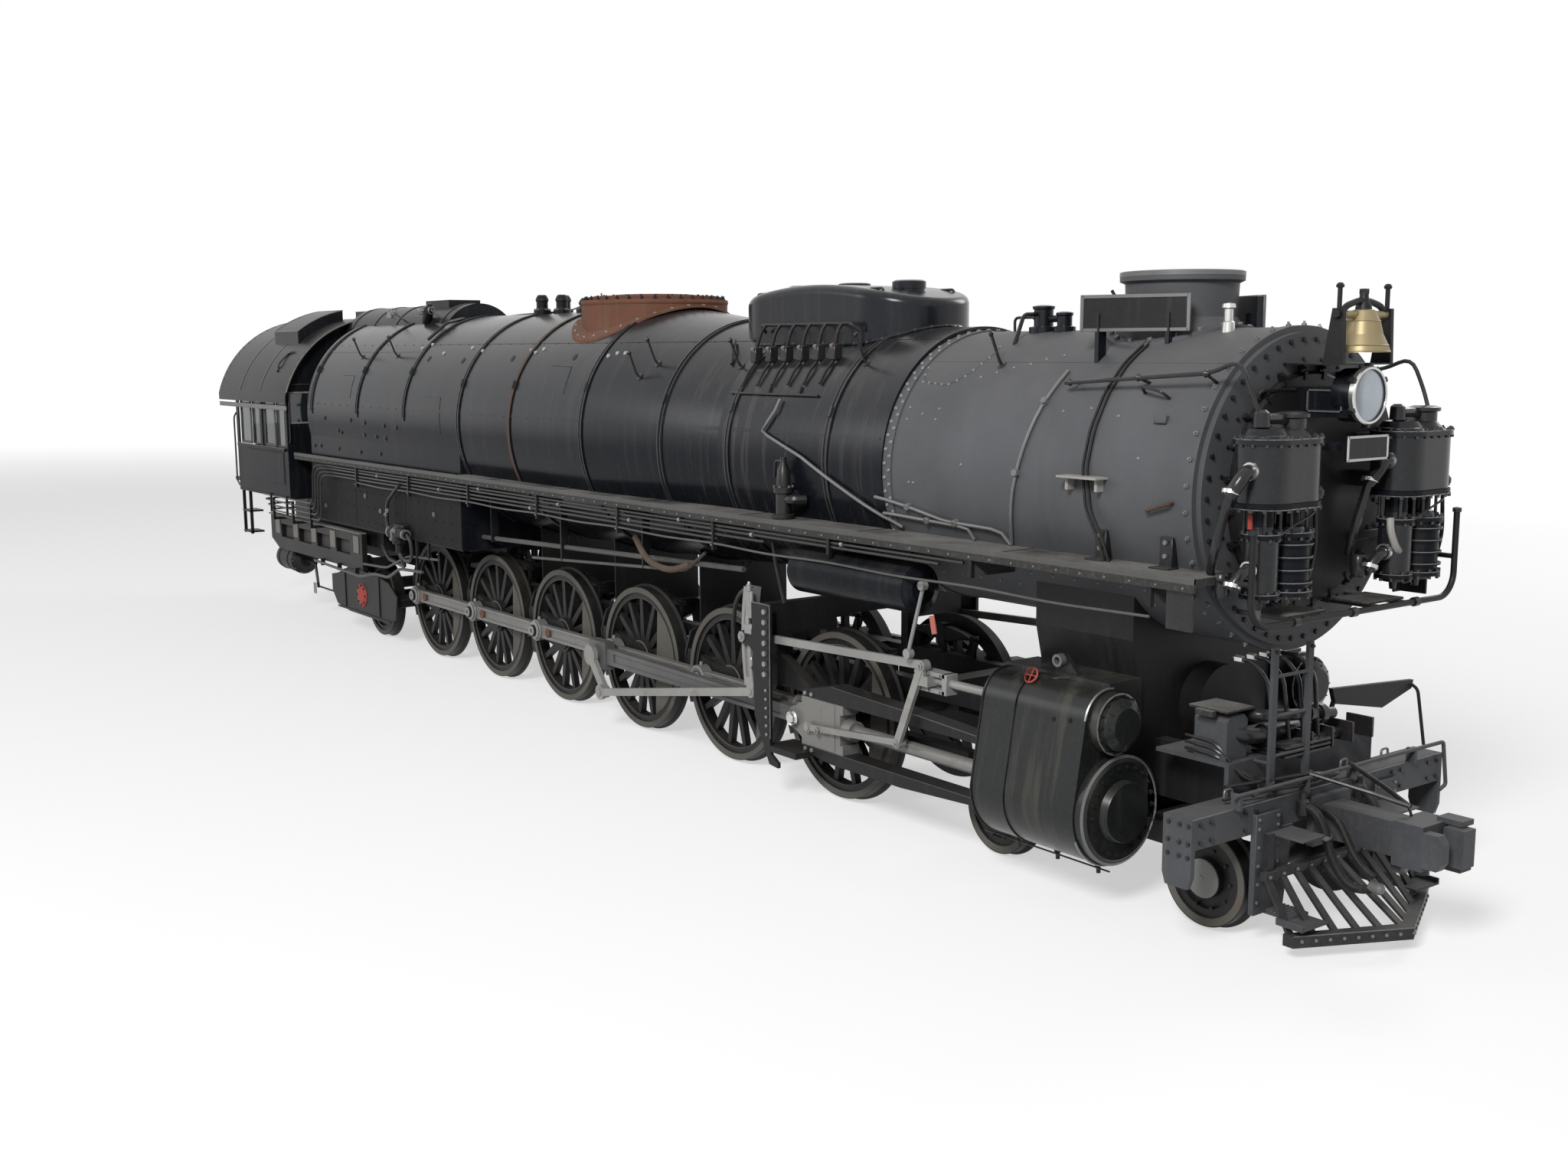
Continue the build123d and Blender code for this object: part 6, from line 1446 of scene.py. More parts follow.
@dataclass
class Pumps(Assembly):
    """Flanges, bolts, studs and pipes of the two air pumps.

    One pump is built about y = 0 and set on both sides, as the two are alike and not mirrored.
    """

    x: float = 12.45
    sides: tuple[float, float] = (-0.82, 0.82)
    half: float = 0.15
    steam: tuple[float, float, float] = (3.29, 3.78, 0.20)
    air: tuple[float, float] = (2.65, 3.11)
    air_rows: tuple = ((-0.15, 0.13, 10), (0.15, 0.17, 12))

    def build(self) -> None:
        """Make one pump's dressing and set it twice."""
        places = [(0, y, 0) for y in self.sides]
        for name, shape, finish in (
                ("pump_bolts", self._bolts(), PUMP_NUT), ("pump_rims", self._rims(), EDGE),
                ("pump_lids", self._lids(), DARK_GLOSS), ("pump_studs", self._studs(), PIPE),
                ("pump_elbows", self._elbows(), DARK_GLOSS), ("pump_elbow_rims", self._elbow_rims(), BRIGHT),
                ("pump_thin_pipes", self._thin(), PIPE)):
            self.add(name, shape.repeated(places), finish)
        self.add("pump_shells", self._shells().repeated(places), DARK_GLOSS)
        tag = slab(self.x - 0.05, self.x - 0.01, -1.07, -1.05, 3.14, 3.25)
        self.add("pump_tag", tag, RED, ease=0.003)
        bend = tube([(12.50, 0.52, 3.12), (12.52, 0.50, 3.02), (12.54, 0.56, 2.88), (12.52, 0.66, 2.85)],
                    0.028, 0.08)
        self.add("far_pump_bend", bend, PALE)

    def _oval(self, radius: float, z: float, step: float) -> np.ndarray:
        """Return points along the casing's stadium-shaped outline.

        Args:
            radius: Radius of its round ends.
            z: Its height.
            step: About how far apart the points are.

        Returns:
            The points.
        """
        turn = np.radians(np.linspace(0, 180, 13))
        left = np.stack([self.x + radius * np.cos(turn), self.half + radius * np.sin(turn)], 1)
        right = np.stack([self.x - radius * np.cos(turn), -self.half - radius * np.sin(turn)], 1)
        loop = np.vstack([left, right, left[:1]])
        return spaced(np.column_stack([loop, np.full(len(loop), z)]), step)[:-1]

    def _shells(self) -> Shape:
        """Wrap the casing and the plain air cylinder in their glossy plates."""
        z0, z1, r = self.steam
        loop = self._oval(r + 0.003, 0.0, 0.03)
        plate = np.array([(0.0, z0 + 0.045), (0.003, z0 + 0.045), (0.003, z1 - 0.045), (0.0, z1 - 0.045)])
        shell = sweep(loop, plate, (0, 0, 1), loop=True)
        y, radius, _ = self.air_rows[0]
        low, high = self.air[0] + 0.04, self.air[1] - 0.04
        cover = lathe([(low, radius - 0.006), (high, radius - 0.006), (high, radius - 0.011),
                       (low, radius - 0.011)], (self.x, y, 0), "z", 32, ring=True)
        return Shape.join(shell, cover)

    def _bolts(self) -> Shape:
        """Set nuts along the flanges of the casing and of the air cylinders."""
        z0, z1, r = self.steam
        flange = r + 0.012
        parts = [heads(self._oval(flange, z1, 0.095), (0, 0, 1), 0.016, 0.024, Head.STUD),
                 heads(self._oval(flange, z1 - 0.04, 0.095), (0, 0, -1), 0.014, 0.018),
                 heads(self._oval(flange, z0, 0.095), (0, 0, -1), 0.016, 0.022)]
        for y, radius, count in self.air_rows:
            for z, way in ((self.air[0], -1), (self.air[0] + 0.035, 1), (self.air[1], 1),
                           (self.air[1] - 0.035, -1)):
                ring = around((self.x, y, z), radius + 0.001, count, "z", 9)
                parts.append(heads(ring, (0, 0, way), 0.013, 0.020))
        return Shape.join(*parts)

    def _rims(self) -> Shape:
        """Lay worn bright edges on the flanges and fins."""
        z0, z1, r = self.steam
        parts = [tube(self._oval(r + 0.021, z, 0.05), 0.005, sides=5, loop=True)
                 for z in (z1 - 0.002, z0 + 0.002)]
        for y, radius, _ in self.air_rows:
            for z in (self.air[0] + 0.033, self.air[1] - 0.002):
                parts.append(tube(around((self.x, y, z), radius + 0.011, 28, "z"), 0.004, sides=5, loop=True))
        fins = (2.742, 2.834, 2.926, 3.018)
        parts += [tube(around((self.x, 0.15, z + 0.006), 0.181, 30, "z"), 0.004, sides=5, loop=True)
                  for z in fins]
        return Shape.join(*parts)

    def _lids(self) -> Shape:
        """Put a ridge, a valve block and small caps on the casing, and caps under the air cylinders."""
        top = self.steam[1]
        parts = [lathe([(top - 0.01, 0.0), (top - 0.01, 0.175), (top + 0.02, 0.170), (top + 0.085, 0.04),
                        (top + 0.10, 0.0)], (self.x, -self.half, 0), "z", 24),
                 prism([(-0.30, top + 0.02), (-0.13, top + 0.13), (0.06, top + 0.13), (0.06, top + 0.02)],
                       "x", self.x - 0.02, self.x + 0.02),
                 lathe([(top, 0.0), (top, 0.13), (top + 0.03, 0.13), (top + 0.04, 0.10), (top + 0.13, 0.10),
                        (top + 0.14, 0.125), (top + 0.165, 0.125), (top + 0.18, 0.08), (top + 0.18, 0.0)],
                       (self.x, self.half, 0), "z", 28),
                 tube([(self.x, 0.15, top + 0.10), (self.x, -0.02, top + 0.13), (self.x, -0.18, top + 0.13)],
                      0.042, 0.05),
                 lathe([(top + 0.08, 0.0), (top + 0.08, 0.06), (top + 0.18, 0.055), (top + 0.20, 0.03),
                        (top + 0.20, 0.0)], (self.x, -0.20, 0), "z", 16)]
        for y, radius, _ in self.air_rows:
            parts.append(lathe([(self.air[1] - 0.005, 0.0), (self.air[1] - 0.005, radius * 0.72),
                                (self.air[1] + 0.035, radius * 0.66), (self.air[1] + 0.05, 0.088),
                                (self.air[1] + 0.05, 0.0)], (self.x, y, 0), "z", 20))
            parts.append(lathe([(self.air[0] + 0.005, 0.0), (self.air[0] + 0.005, radius * 0.66),
                                (self.air[0] - 0.03, radius * 0.58), (self.air[0] - 0.035, 0.03),
                                (self.air[0] - 0.09, 0.024), (self.air[0] - 0.09, 0.0)], (self.x, y, 0), "z",
                               20))
        return Shape.join(*parts)

    def _studs(self) -> Shape:
        """Stand the tie studs between the casing and the air cylinders."""
        feet = np.vstack([around((self.x, y, self.air[1]), 0.125, 4, "z", 45) for y, _, _ in self.air_rows])
        return Shape.join(*[tube([foot, foot + (0, 0, self.steam[0] - self.air[1])], 0.012, sides=6)
                            for foot in feet])

    def _elbows(self) -> Shape:
        """Make the inlet elbows on the right of the casing and of the air cylinder, and a strainer."""
        upper = tube([(self.x + 0.02, -0.28, 3.56), (self.x + 0.05, -0.42, 3.56),
                      (self.x + 0.03, -0.49, 3.46), (self.x - 0.02, -0.50, 3.40)], 0.052, 0.10, 12)
        lower = tube([(self.x, -0.22, 2.86), (self.x + 0.02, -0.36, 2.86), (self.x, -0.44, 2.78),
                      (self.x - 0.02, -0.45, 2.74)], 0.042, 0.08, 12)
        strainer = lathe([(2.66, 0.0), (2.66, 0.05), (2.70, 0.062), (2.80, 0.062), (2.83, 0.045),
                          (2.83, 0.0)], (self.x - 0.14, -0.40, 0), "z", 16)
        drop = tube([(self.x - 0.02, -0.50, 3.40), (self.x - 0.12, -0.50, 3.05),
                     (self.x - 0.22, -0.42, 2.83)], 0.034, 0.1, 10)
        joint = lathe([(3.33, 0.0), (3.33, 0.05), (3.36, 0.062), (3.39, 0.062), (3.42, 0.04), (3.42, 0.0)],
                      (self.x + 0.04, 0.40, 0), "z", 14)
        return Shape.join(upper, lower, strainer, drop, joint)

    def _elbow_rims(self) -> Shape:
        """Ring the elbows with their bright unions."""
        ring = washer(0.014, 0.050, 0.064, (0, 0, 0), "y", 18)
        rows = ((0.04, -0.355, 3.56, 0), (-0.01, -0.497, 3.42, 72), (0.01, -0.30, 2.86, 0),
                (-0.01, -0.447, 2.76, 70))
        return Shape.join(*[ring.turned(tilt, "x").moved(self.x + dx, y, z) for dx, y, z, tilt in rows])

    def _thin(self) -> Shape:
        """Bend the thin pipes beside the pump."""
        return Shape.join(tube([(self.x + 0.10, 0.33, 3.27), (self.x + 0.17, 0.20, 3.24),
                                (self.x + 0.17, -0.02, 3.17), (self.x + 0.12, -0.10, 3.10)], 0.009, 0.08, 6),
                          tube([(self.x + 0.04, 0.40, 3.33), (self.x + 0.06, 0.40, 2.95),
                                (self.x, 0.36, 2.62), (self.x - 0.2, 0.30, 2.55)], 0.016, 0.1, 8),
                          tube([(self.x - 0.10, 0.24, 3.92), (self.x - 0.16, 0.30, 3.90),
                                (self.x - 0.18, 0.34, 3.6), (self.x - 0.30, 0.34, 3.5)], 0.016, 0.08, 8))


@dataclass
class LampAndBell(Assembly):
    """Rim, lens and blank panels of the headlamp, the blank plate, and the bell's own parts."""

    lamp: tuple[float, float] = (12.62, 4.06)
    plate: tuple[float, float] = (12.62, 3.68)
    bell_x: float = 12.53
    lip_z: float = 4.37
    pivot_z: float = 4.64

    def build(self) -> None:
        """Make the lamp's, the plate's and the bell's parts."""
        x, z = self.lamp
        rim = lathe([(x - 0.040, 0.2105), (x - 0.004, 0.2135), (x + 0.006, 0.206), (x + 0.006, 0.190),
                     (x - 0.018, 0.184), (x - 0.023, 0.19), (x - 0.023, 0.2)], (0, 0, z), "x", 48, ring=True)
        self.add("lamp_rim", rim, BRIGHT)
        back = lathe([(x - 0.0245, 0.186), (x - 0.0235, 0.186), (x - 0.0205, 0.12), (x - 0.0195, 0.05),
                      (x - 0.019, 0.0)], (0, 0, z), "x", 40)
        self.add("lamp_reflector", back, REFLECTOR)
        lens = lathe([(x - 0.016, 0.0), (x - 0.016, 0.186), (x - 0.010, 0.187), (x + 0.004, 0.12),
                      (x + 0.010, 0.05), (x + 0.011, 0.0)], (0, 0, z), "x", 48)
        self.add("lamp_lens", lens, LENS)
        side = self._border(0.30, 0.165, 0.012).moved(12.36, -0.176, 4.02)
        self.add("lamp_side_frames", side.both(), WORN_EDGE)
        clips = [slab(x - 0.05, x + 0.004, -0.02, 0.02, z + 0.205, z + 0.235).turned(60 * k, "x", (0, 0, z))
                 for k in range(6)]
        self.add("lamp_clips", Shape.join(*clips), PIPE, ease=0.004)
        self._plate()
        self._bell()

    @staticmethod
    def _border(length: float, height: float, width: float) -> Shape:
        """Return a thin flat border standing in the x-z plane about the origin."""
        a, b, w = length / 2, height / 2, width
        return Shape.join(slab(-a, a, -0.005, 0.005, b - w, b), slab(-a, a, -0.005, 0.005, -b, -b + w),
                          slab(-a, -a + w, -0.005, 0.005, -b, b), slab(a - w, a, -0.005, 0.005, -b, b))

    def _plate(self) -> None:
        """Give the front plate a black face and a white border, and leave it blank."""
        x, z = self.plate
        face = slab(x - 0.004, x + 0.004, -0.245, 0.245, z - 0.086, z + 0.086)
        self.add("plate_face", face, DOOR, ease=0.002)
        border = self._border(0.50, 0.18, 0.016).turned(90, "z").moved(x + 0.004, 0, z)
        self.add("plate_border", border, WHITE, ease=0.002)

    def _bell(self) -> None:
        """Ring the bell with beads and hang its yoke, nut and clapper."""
        x, lip, pivot = self.bell_x, self.lip_z, self.pivot_z
        beads = [bead(0.006, r - 0.006, r + 0.004, (x, 0, z), "z", 40)
                 for z, r in ((lip + 0.008, 0.199), (lip + 0.050, 0.186), (lip + 0.225, 0.123))]
        self.add("bell_beads", Shape.join(*beads), BRASS, body="bell")
        yoke = tube([(x, -0.262, pivot), (x, -0.22, pivot + 0.06), (x, -0.06, pivot + 0.10),
                     (x, 0.06, pivot + 0.10), (x, 0.22, pivot + 0.06), (x, 0.262, pivot)], 0.024, 0.06, 10)
        crown = lathe([(lip + 0.30, 0.0), (lip + 0.30, 0.06), (lip + 0.34, 0.055), (lip + 0.37, 0.035),
                       (lip + 0.43, 0.030), (lip + 0.43, 0.0)], (x, 0, 0), "z", 18)
        nut = heads([(x, 0, lip + 0.425)], (0, 0, 1), 0.034, 0.03)
        self.add("bell_yoke", Shape.join(yoke, crown, nut), CHASSIS, body="bell")
        clapper = Shape.join(tube([(x, 0, lip + 0.25), (x, 0, lip + 0.05)], 0.010, sides=8),
                             lathe([(lip + 0.010, 0.0), (lip + 0.018, 0.022), (lip + 0.040, 0.034),
                                    (lip + 0.062, 0.022), (lip + 0.070, 0.0)], (x, 0, 0), "z", 14))
        self.add("bell_clapper", clapper, CHASSIS, body="bell")
        caps = heads([(x, -0.31, pivot), (x, 0.31, pivot)], [(0, -1, 0), (0, 1, 0)], 0.034, 0.03)
        tips = [lathe([(4.828, 0.0), (4.828, 0.026), (4.845, 0.030), (4.862, 0.018), (4.866, 0.0)], (x, y, 0),
                      "z", 12)
                for y in (-0.292, 0.292)]
        self.add("bell_post_caps", Shape.join(caps, *tips), CHASSIS)


@dataclass
class Deck(Assembly):
    """What stands on the front deck and the beam: pipes, lid, links, lift rods, ladder bolts and hoses."""

    beam_x: float = 12.41
    beam_z: tuple[float, float] = (0.88, 1.11)

    def build(self) -> None:
        """Make each of the groups."""
        self._pipes()
        self._links()
        self._bolts()
        self._plates()
        self._hoses()
        self._far_arm()

    def _pipes(self) -> None:
        """Lay the thick pipes on the deck and the row of four bent ones against the saddle."""
        thick = [tube([(11.90, -0.74, 1.56), (12.08, -0.74, 1.56), (12.16, -0.62, 1.52), (12.16, -0.20, 1.52),
                       (12.10, 0.0, 1.50)], 0.058, 0.12, 12),
                 tube([(11.90, -0.55, 1.68), (12.20, -0.55, 1.68), (12.24, -0.30, 1.66), (12.24, 0.28, 1.60)],
                      0.046, 0.10, 12),
                 tube([(11.96, -0.42, 1.44), (12.26, -0.42, 1.44), (12.30, -0.10, 1.44), (12.20, 0.45, 1.42)],
                      0.040, 0.10, 10)]
        self.add("deck_pipes", Shape.join(*thick), PIPE)
        joints = [washer(0.03, 0.06, 0.082, place, "y", 16)
                  for place in ((12.16, -0.45, 1.52), (12.24, -0.05, 1.65), (12.24, 0.10, 1.62))]
        self.add("deck_pipe_joints", Shape.join(*joints), DARK_GLOSS)
        rows = (-0.62, -0.47, -0.32, -0.17)
        bent = [tube([(11.98, y, 2.10), (12.16 + 0.03 * k, y, 2.10), (12.22 + 0.03 * k, y + 0.10, 1.95),
                      (12.24 + 0.02 * k, y + 0.20, 1.40)], 0.017, 0.07, 8) for k, y in enumerate(rows)]
        self.add("saddle_pipes", Shape.join(*bent), DARK_GLOSS)
        ends = heads([(12.02, y, 2.10) for y in rows], (1, 0, 0), 0.030, 0.05)
        self.add("saddle_pipe_nuts", ends, BRIGHT)
        thin = [tube([(11.75, -0.86, 1.40 + dz), (12.05, -0.88, 1.40 + dz), (12.25, -0.70 - dz, 1.24),
                      (12.35, -0.30, 1.16), (12.38, 0.05 + dz, 1.15)], 0.012, 0.1, 6)
                for dz in (0.0, 0.05, 0.10)]
        self.add("deck_thin_pipes", Shape.join(*thin), PIPE)

    def _links(self) -> None:
        """Make the lift levers that cross over the beam and the V-shaped pair down to the coupler."""
        rods = [tube([(12.20, -0.95, 1.20), (12.42, -0.30, 1.24), (12.47, 0.05, 1.20)], 0.015, 0.03, 8),
                tube([(12.20, -0.40, 1.18), (12.44, -0.70, 1.25), (12.47, -0.98, 1.20)], 0.013, 0.03, 8),
                tube([(12.30, -1.10, 1.15), (12.42, -0.60, 1.18), (12.45, -0.15, 1.16)], 0.012, 0.03, 8)]
        vee = [tube([(12.44, y, 1.24), (12.85, y * 0.4, 1.16), (13.10, 0.02, 1.09)], 0.018, 0.04, 8)
               for y in (-0.26, 0.24)]
        chain = tube([(13.10, 0.0, 1.09), (13.12, 0.0, 1.05), (13.12, 0.02, 0.98)], 0.012, sides=6)
        self.add("lift_levers", Shape.join(*rods, *vee, chain), PIPE)
        ubolts = [tube([(x, y, 1.10), (x, y, 1.20), (x, y + 0.09, 1.20), (x, y + 0.09, 1.10)], 0.010, 0.03, 6)
                  for x, y in ((12.25, -1.02), (12.25, -0.62), (12.30, -0.12), (12.25, 0.40), (12.25, 0.95))]
        self.add("beam_ubolts", Shape.join(*ubolts), WORN_EDGE)

    def _bolts(self) -> None:
        """Bolt the beam's face, its ends, the ladder's feet and the pilot's bars."""
        low, high = self.beam_z
        face = [(self.beam_x, y, z) for y in (-1.48, -1.36, -0.98, -0.86, 0.86, 0.98, 1.36, 1.48)
                for z in (low + 0.05, high - 0.05)]
        end = [(x, -1.57, z) for x in (12.20, 12.30, 12.38) for z in (low - 0.05, low + 0.05, high - 0.05)]
        feet = [(12.37, y, z) for y in (-0.62, -0.20) for z in (1.16, 2.20)]
        bolts = Shape.join(heads(face, (1, 0, 0), 0.018, 0.018), heads(end, (0, -1, 0), 0.018, 0.014).both(),
                           heads(feet, (1, 0, 0), 0.014, 0.02))
        self.add("beam_bolts", bolts, PIPE)
        t = np.linspace(-0.93, 0.93, 17)
        heel, nose = 12.78, 13.20
        foot = np.stack([nose - np.abs(t) * (nose - heel) - 0.002, t * 0.86, np.full(17, 0.160)], 1)
        way = np.stack([np.full(17, 0.9), np.sign(t) * 0.42, np.zeros(17)], 1)
        top = np.stack([np.full(11, 12.53), np.linspace(-0.82, 0.82, 11), np.full(11, 0.57)], 1)
        self.add("pilot_bolts",
                 Shape.join(heads(foot, way, 0.014, 0.014), heads(top, (1, 0, 0), 0.014, 0.014)), STEEL_DOT)
        beam_line = tube([(self.beam_x - 0.004, y, high - 0.003) for y in (-1.57, 1.57)], 0.006, sides=5)
        rail_line = tube([(heel, -0.86, 0.199), (nose, 0.0, 0.199), (heel, 0.86, 0.199)], 0.005, sides=5)
        self.add("front_worn_edges", Shape.join(beam_line, rail_line), EDGE)

    def _plates(self) -> None:
        """Lay the pale lid, the footboards, the braces and the wide step treads."""
        lid = Shape.join(slab(11.80, 12.16, -0.90, -0.58, 1.735, 1.755),
                         slab(11.90, 12.06, -0.95, -0.90, 1.70, 1.745))
        boards = [slab(12.22, 12.56, low, high, 2.492, 2.512) for low, high in ((-0.78, -0.32), (0.20, 0.66))]
        self.add("pale_plates", Shape.join(lid, *boards), BOARD, ease=0.004)
        self.add("pump_tag", slab(12.40, 12.46, -0.98, -0.95, 2.48, 2.72), WORN_EDGE, ease=0.004)
        arms = [slab(12.02, 12.60, y, y + 0.04, 2.462, 2.494) for y in (-0.74, -0.40, 0.24, 0.58)]
        self.add("footboard_brackets", Shape.join(*arms), PIPE, ease=0.004)
        front = Shape.join(slab(12.43, 12.445, -0.88, -0.60, 0.262, 1.03),
                           slab(12.395, 12.445, -0.888, -0.874, 0.262, 1.03),
                           slab(12.62, 12.86, -0.86, -0.56, 0.252, 0.272),
                           slab(12.44, 12.74, -0.74, -0.46, 0.86, 0.876),
                           slab(12.44, 12.47, -0.72, -0.48, 0.78, 0.865))
        lip = slab(12.63, 12.86, -0.874, -0.856, 0.252, 0.305)
        self.add("pilot_steps", Shape.join(front, lip).both(), FRONT, ease=0.004)
        dots = [(12.445, y, z) for y in (-0.855, -0.635) for z in (0.36, 0.50, 0.64, 0.78, 0.92, 0.99)]
        self.add("pilot_step_bolts", heads(dots, (1, 0, 0), 0.013, 0.012).both(), STEEL_DOT)
        ribs = [slab(12.10, 12.34, y - 0.012, y + 0.012, 1.36, 1.52) for y in (-0.10, 0.16, 0.42, 0.68)]
        stack = [slab(12.05, 12.36, -0.46, 0.10, 1.365 + 0.035 * k, 1.385 + 0.035 * k) for k in range(3)]
        self.add("deck_ribs", Shape.join(*ribs, *stack), PIPE, ease=0.003)
        ridges = [slab(12.41 + 0.035 * k, 12.425 + 0.035 * k, low, high, 0.279, 0.286)
                  for k in range(6) for low, high in ((-0.735, -0.52), (0.52, 0.735))]
        self.add("step_ridges", Shape.join(*ridges), WORN_EDGE)
        post = Shape.join(slab(12.02, 12.26, -1.46, -1.44, 2.42, 2.76),
                          slab(12.02, 12.04, -1.44, -1.34, 2.42, 2.76))
        self.add("board_end_posts", post.both(), PIPE, ease=0.004)

    def _hoses(self) -> None:
        """Bend two thick hoses beside the coupler, fixed at both ends, with their clamps."""
        near = tube([(12.46, -0.36, 1.02), (12.60, -0.34, 0.98), (12.72, -0.33, 0.62), (12.86, -0.30, 0.46),
                     (13.02, -0.26, 0.50)], 0.034, 0.16, 10)
        inner = tube([(12.46, -0.22, 1.00), (12.66, -0.22, 0.96), (12.84, -0.23, 0.66), (13.00, -0.24, 0.58)],
                     0.026, 0.14, 10)
        far = tube([(12.46, 0.36, 1.02), (12.60, 0.34, 0.98), (12.72, 0.33, 0.62), (12.86, 0.30, 0.50)],
                   0.034, 0.16, 10)
        self.add("front_hoses", Shape.join(near, inner, far), RUBBER)
        clamp = washer(0.02, 0.034, 0.042, (0, 0, 0), "z", 14).turned(18, "y")
        clamps = [clamp.moved(12.655, y, 0.82) for y in (-0.335, 0.335)]
        ends = [lathe([(-0.05, 0.0), (-0.05, 0.045), (0.03, 0.045), (0.05, 0.03), (0.05, 0.0)], place, "x",
                      14)
                for place in ((13.04, -0.255, 0.51), (12.88, 0.295, 0.51))]
        self.add("hose_clamps", Shape.join(*clamps, *ends), WORN_EDGE)
        valve = [lathe([(0.95, 0.0), (0.95, 0.05), (1.05, 0.05), (1.07, 0.03), (1.12, 0.03), (1.12, 0.0)],
                       (12.46, y, 0), "z", 12)
                 for y in (-0.36, 0.36)]
        self.add("angle_cocks", Shape.join(*valve), PIPE)

    def _far_arm(self) -> None:
        """Make the lever arm on the far side of the deck with its drop rod."""
        arm = prism([(0.46, 1.74), (1.58, 1.67), (1.56, 1.60), (1.15, 1.49), (0.51, 1.61)], "x", 12.07, 12.11)
        rod = tube([(12.09, 1.56, 1.64), (12.16, 1.57, 1.60), (12.24, 1.57, 1.14)], 0.014, 0.04, 8)
        brace = tube([(12.09, 0.52, 1.66), (12.02, 0.50, 1.36)], 0.020, sides=8)
        self.add("far_lever_arm", Shape.join(arm, rod, brace), CHASSIS)


@dataclass
class Guard(Assembly):
    """Caps on the ends of the pump guard and the clamps on its bar."""

    x: float = 12.60
    half: float = 1.26
    top: float = 3.15

    def build(self) -> None:
        """Make the caps and clamps."""
        caps = [lathe([(self.top - 0.02, 0.0), (self.top - 0.02, 0.034), (self.top + 0.012, 0.034),
                       (self.top + 0.02, 0.0)], (self.x, side * self.half, 0), "z", 14)
                for side in (-1, 1)]
        clamps = [washer(0.03, 0.026, 0.036, (self.x, y, 2.47), "y", 14) for y in (-0.05, -0.75, 0.75)]
        self.add("guard_fittings", Shape.join(*caps, *clamps), PIPE)


# Cylinders and motion. These are made for the engine's right side.

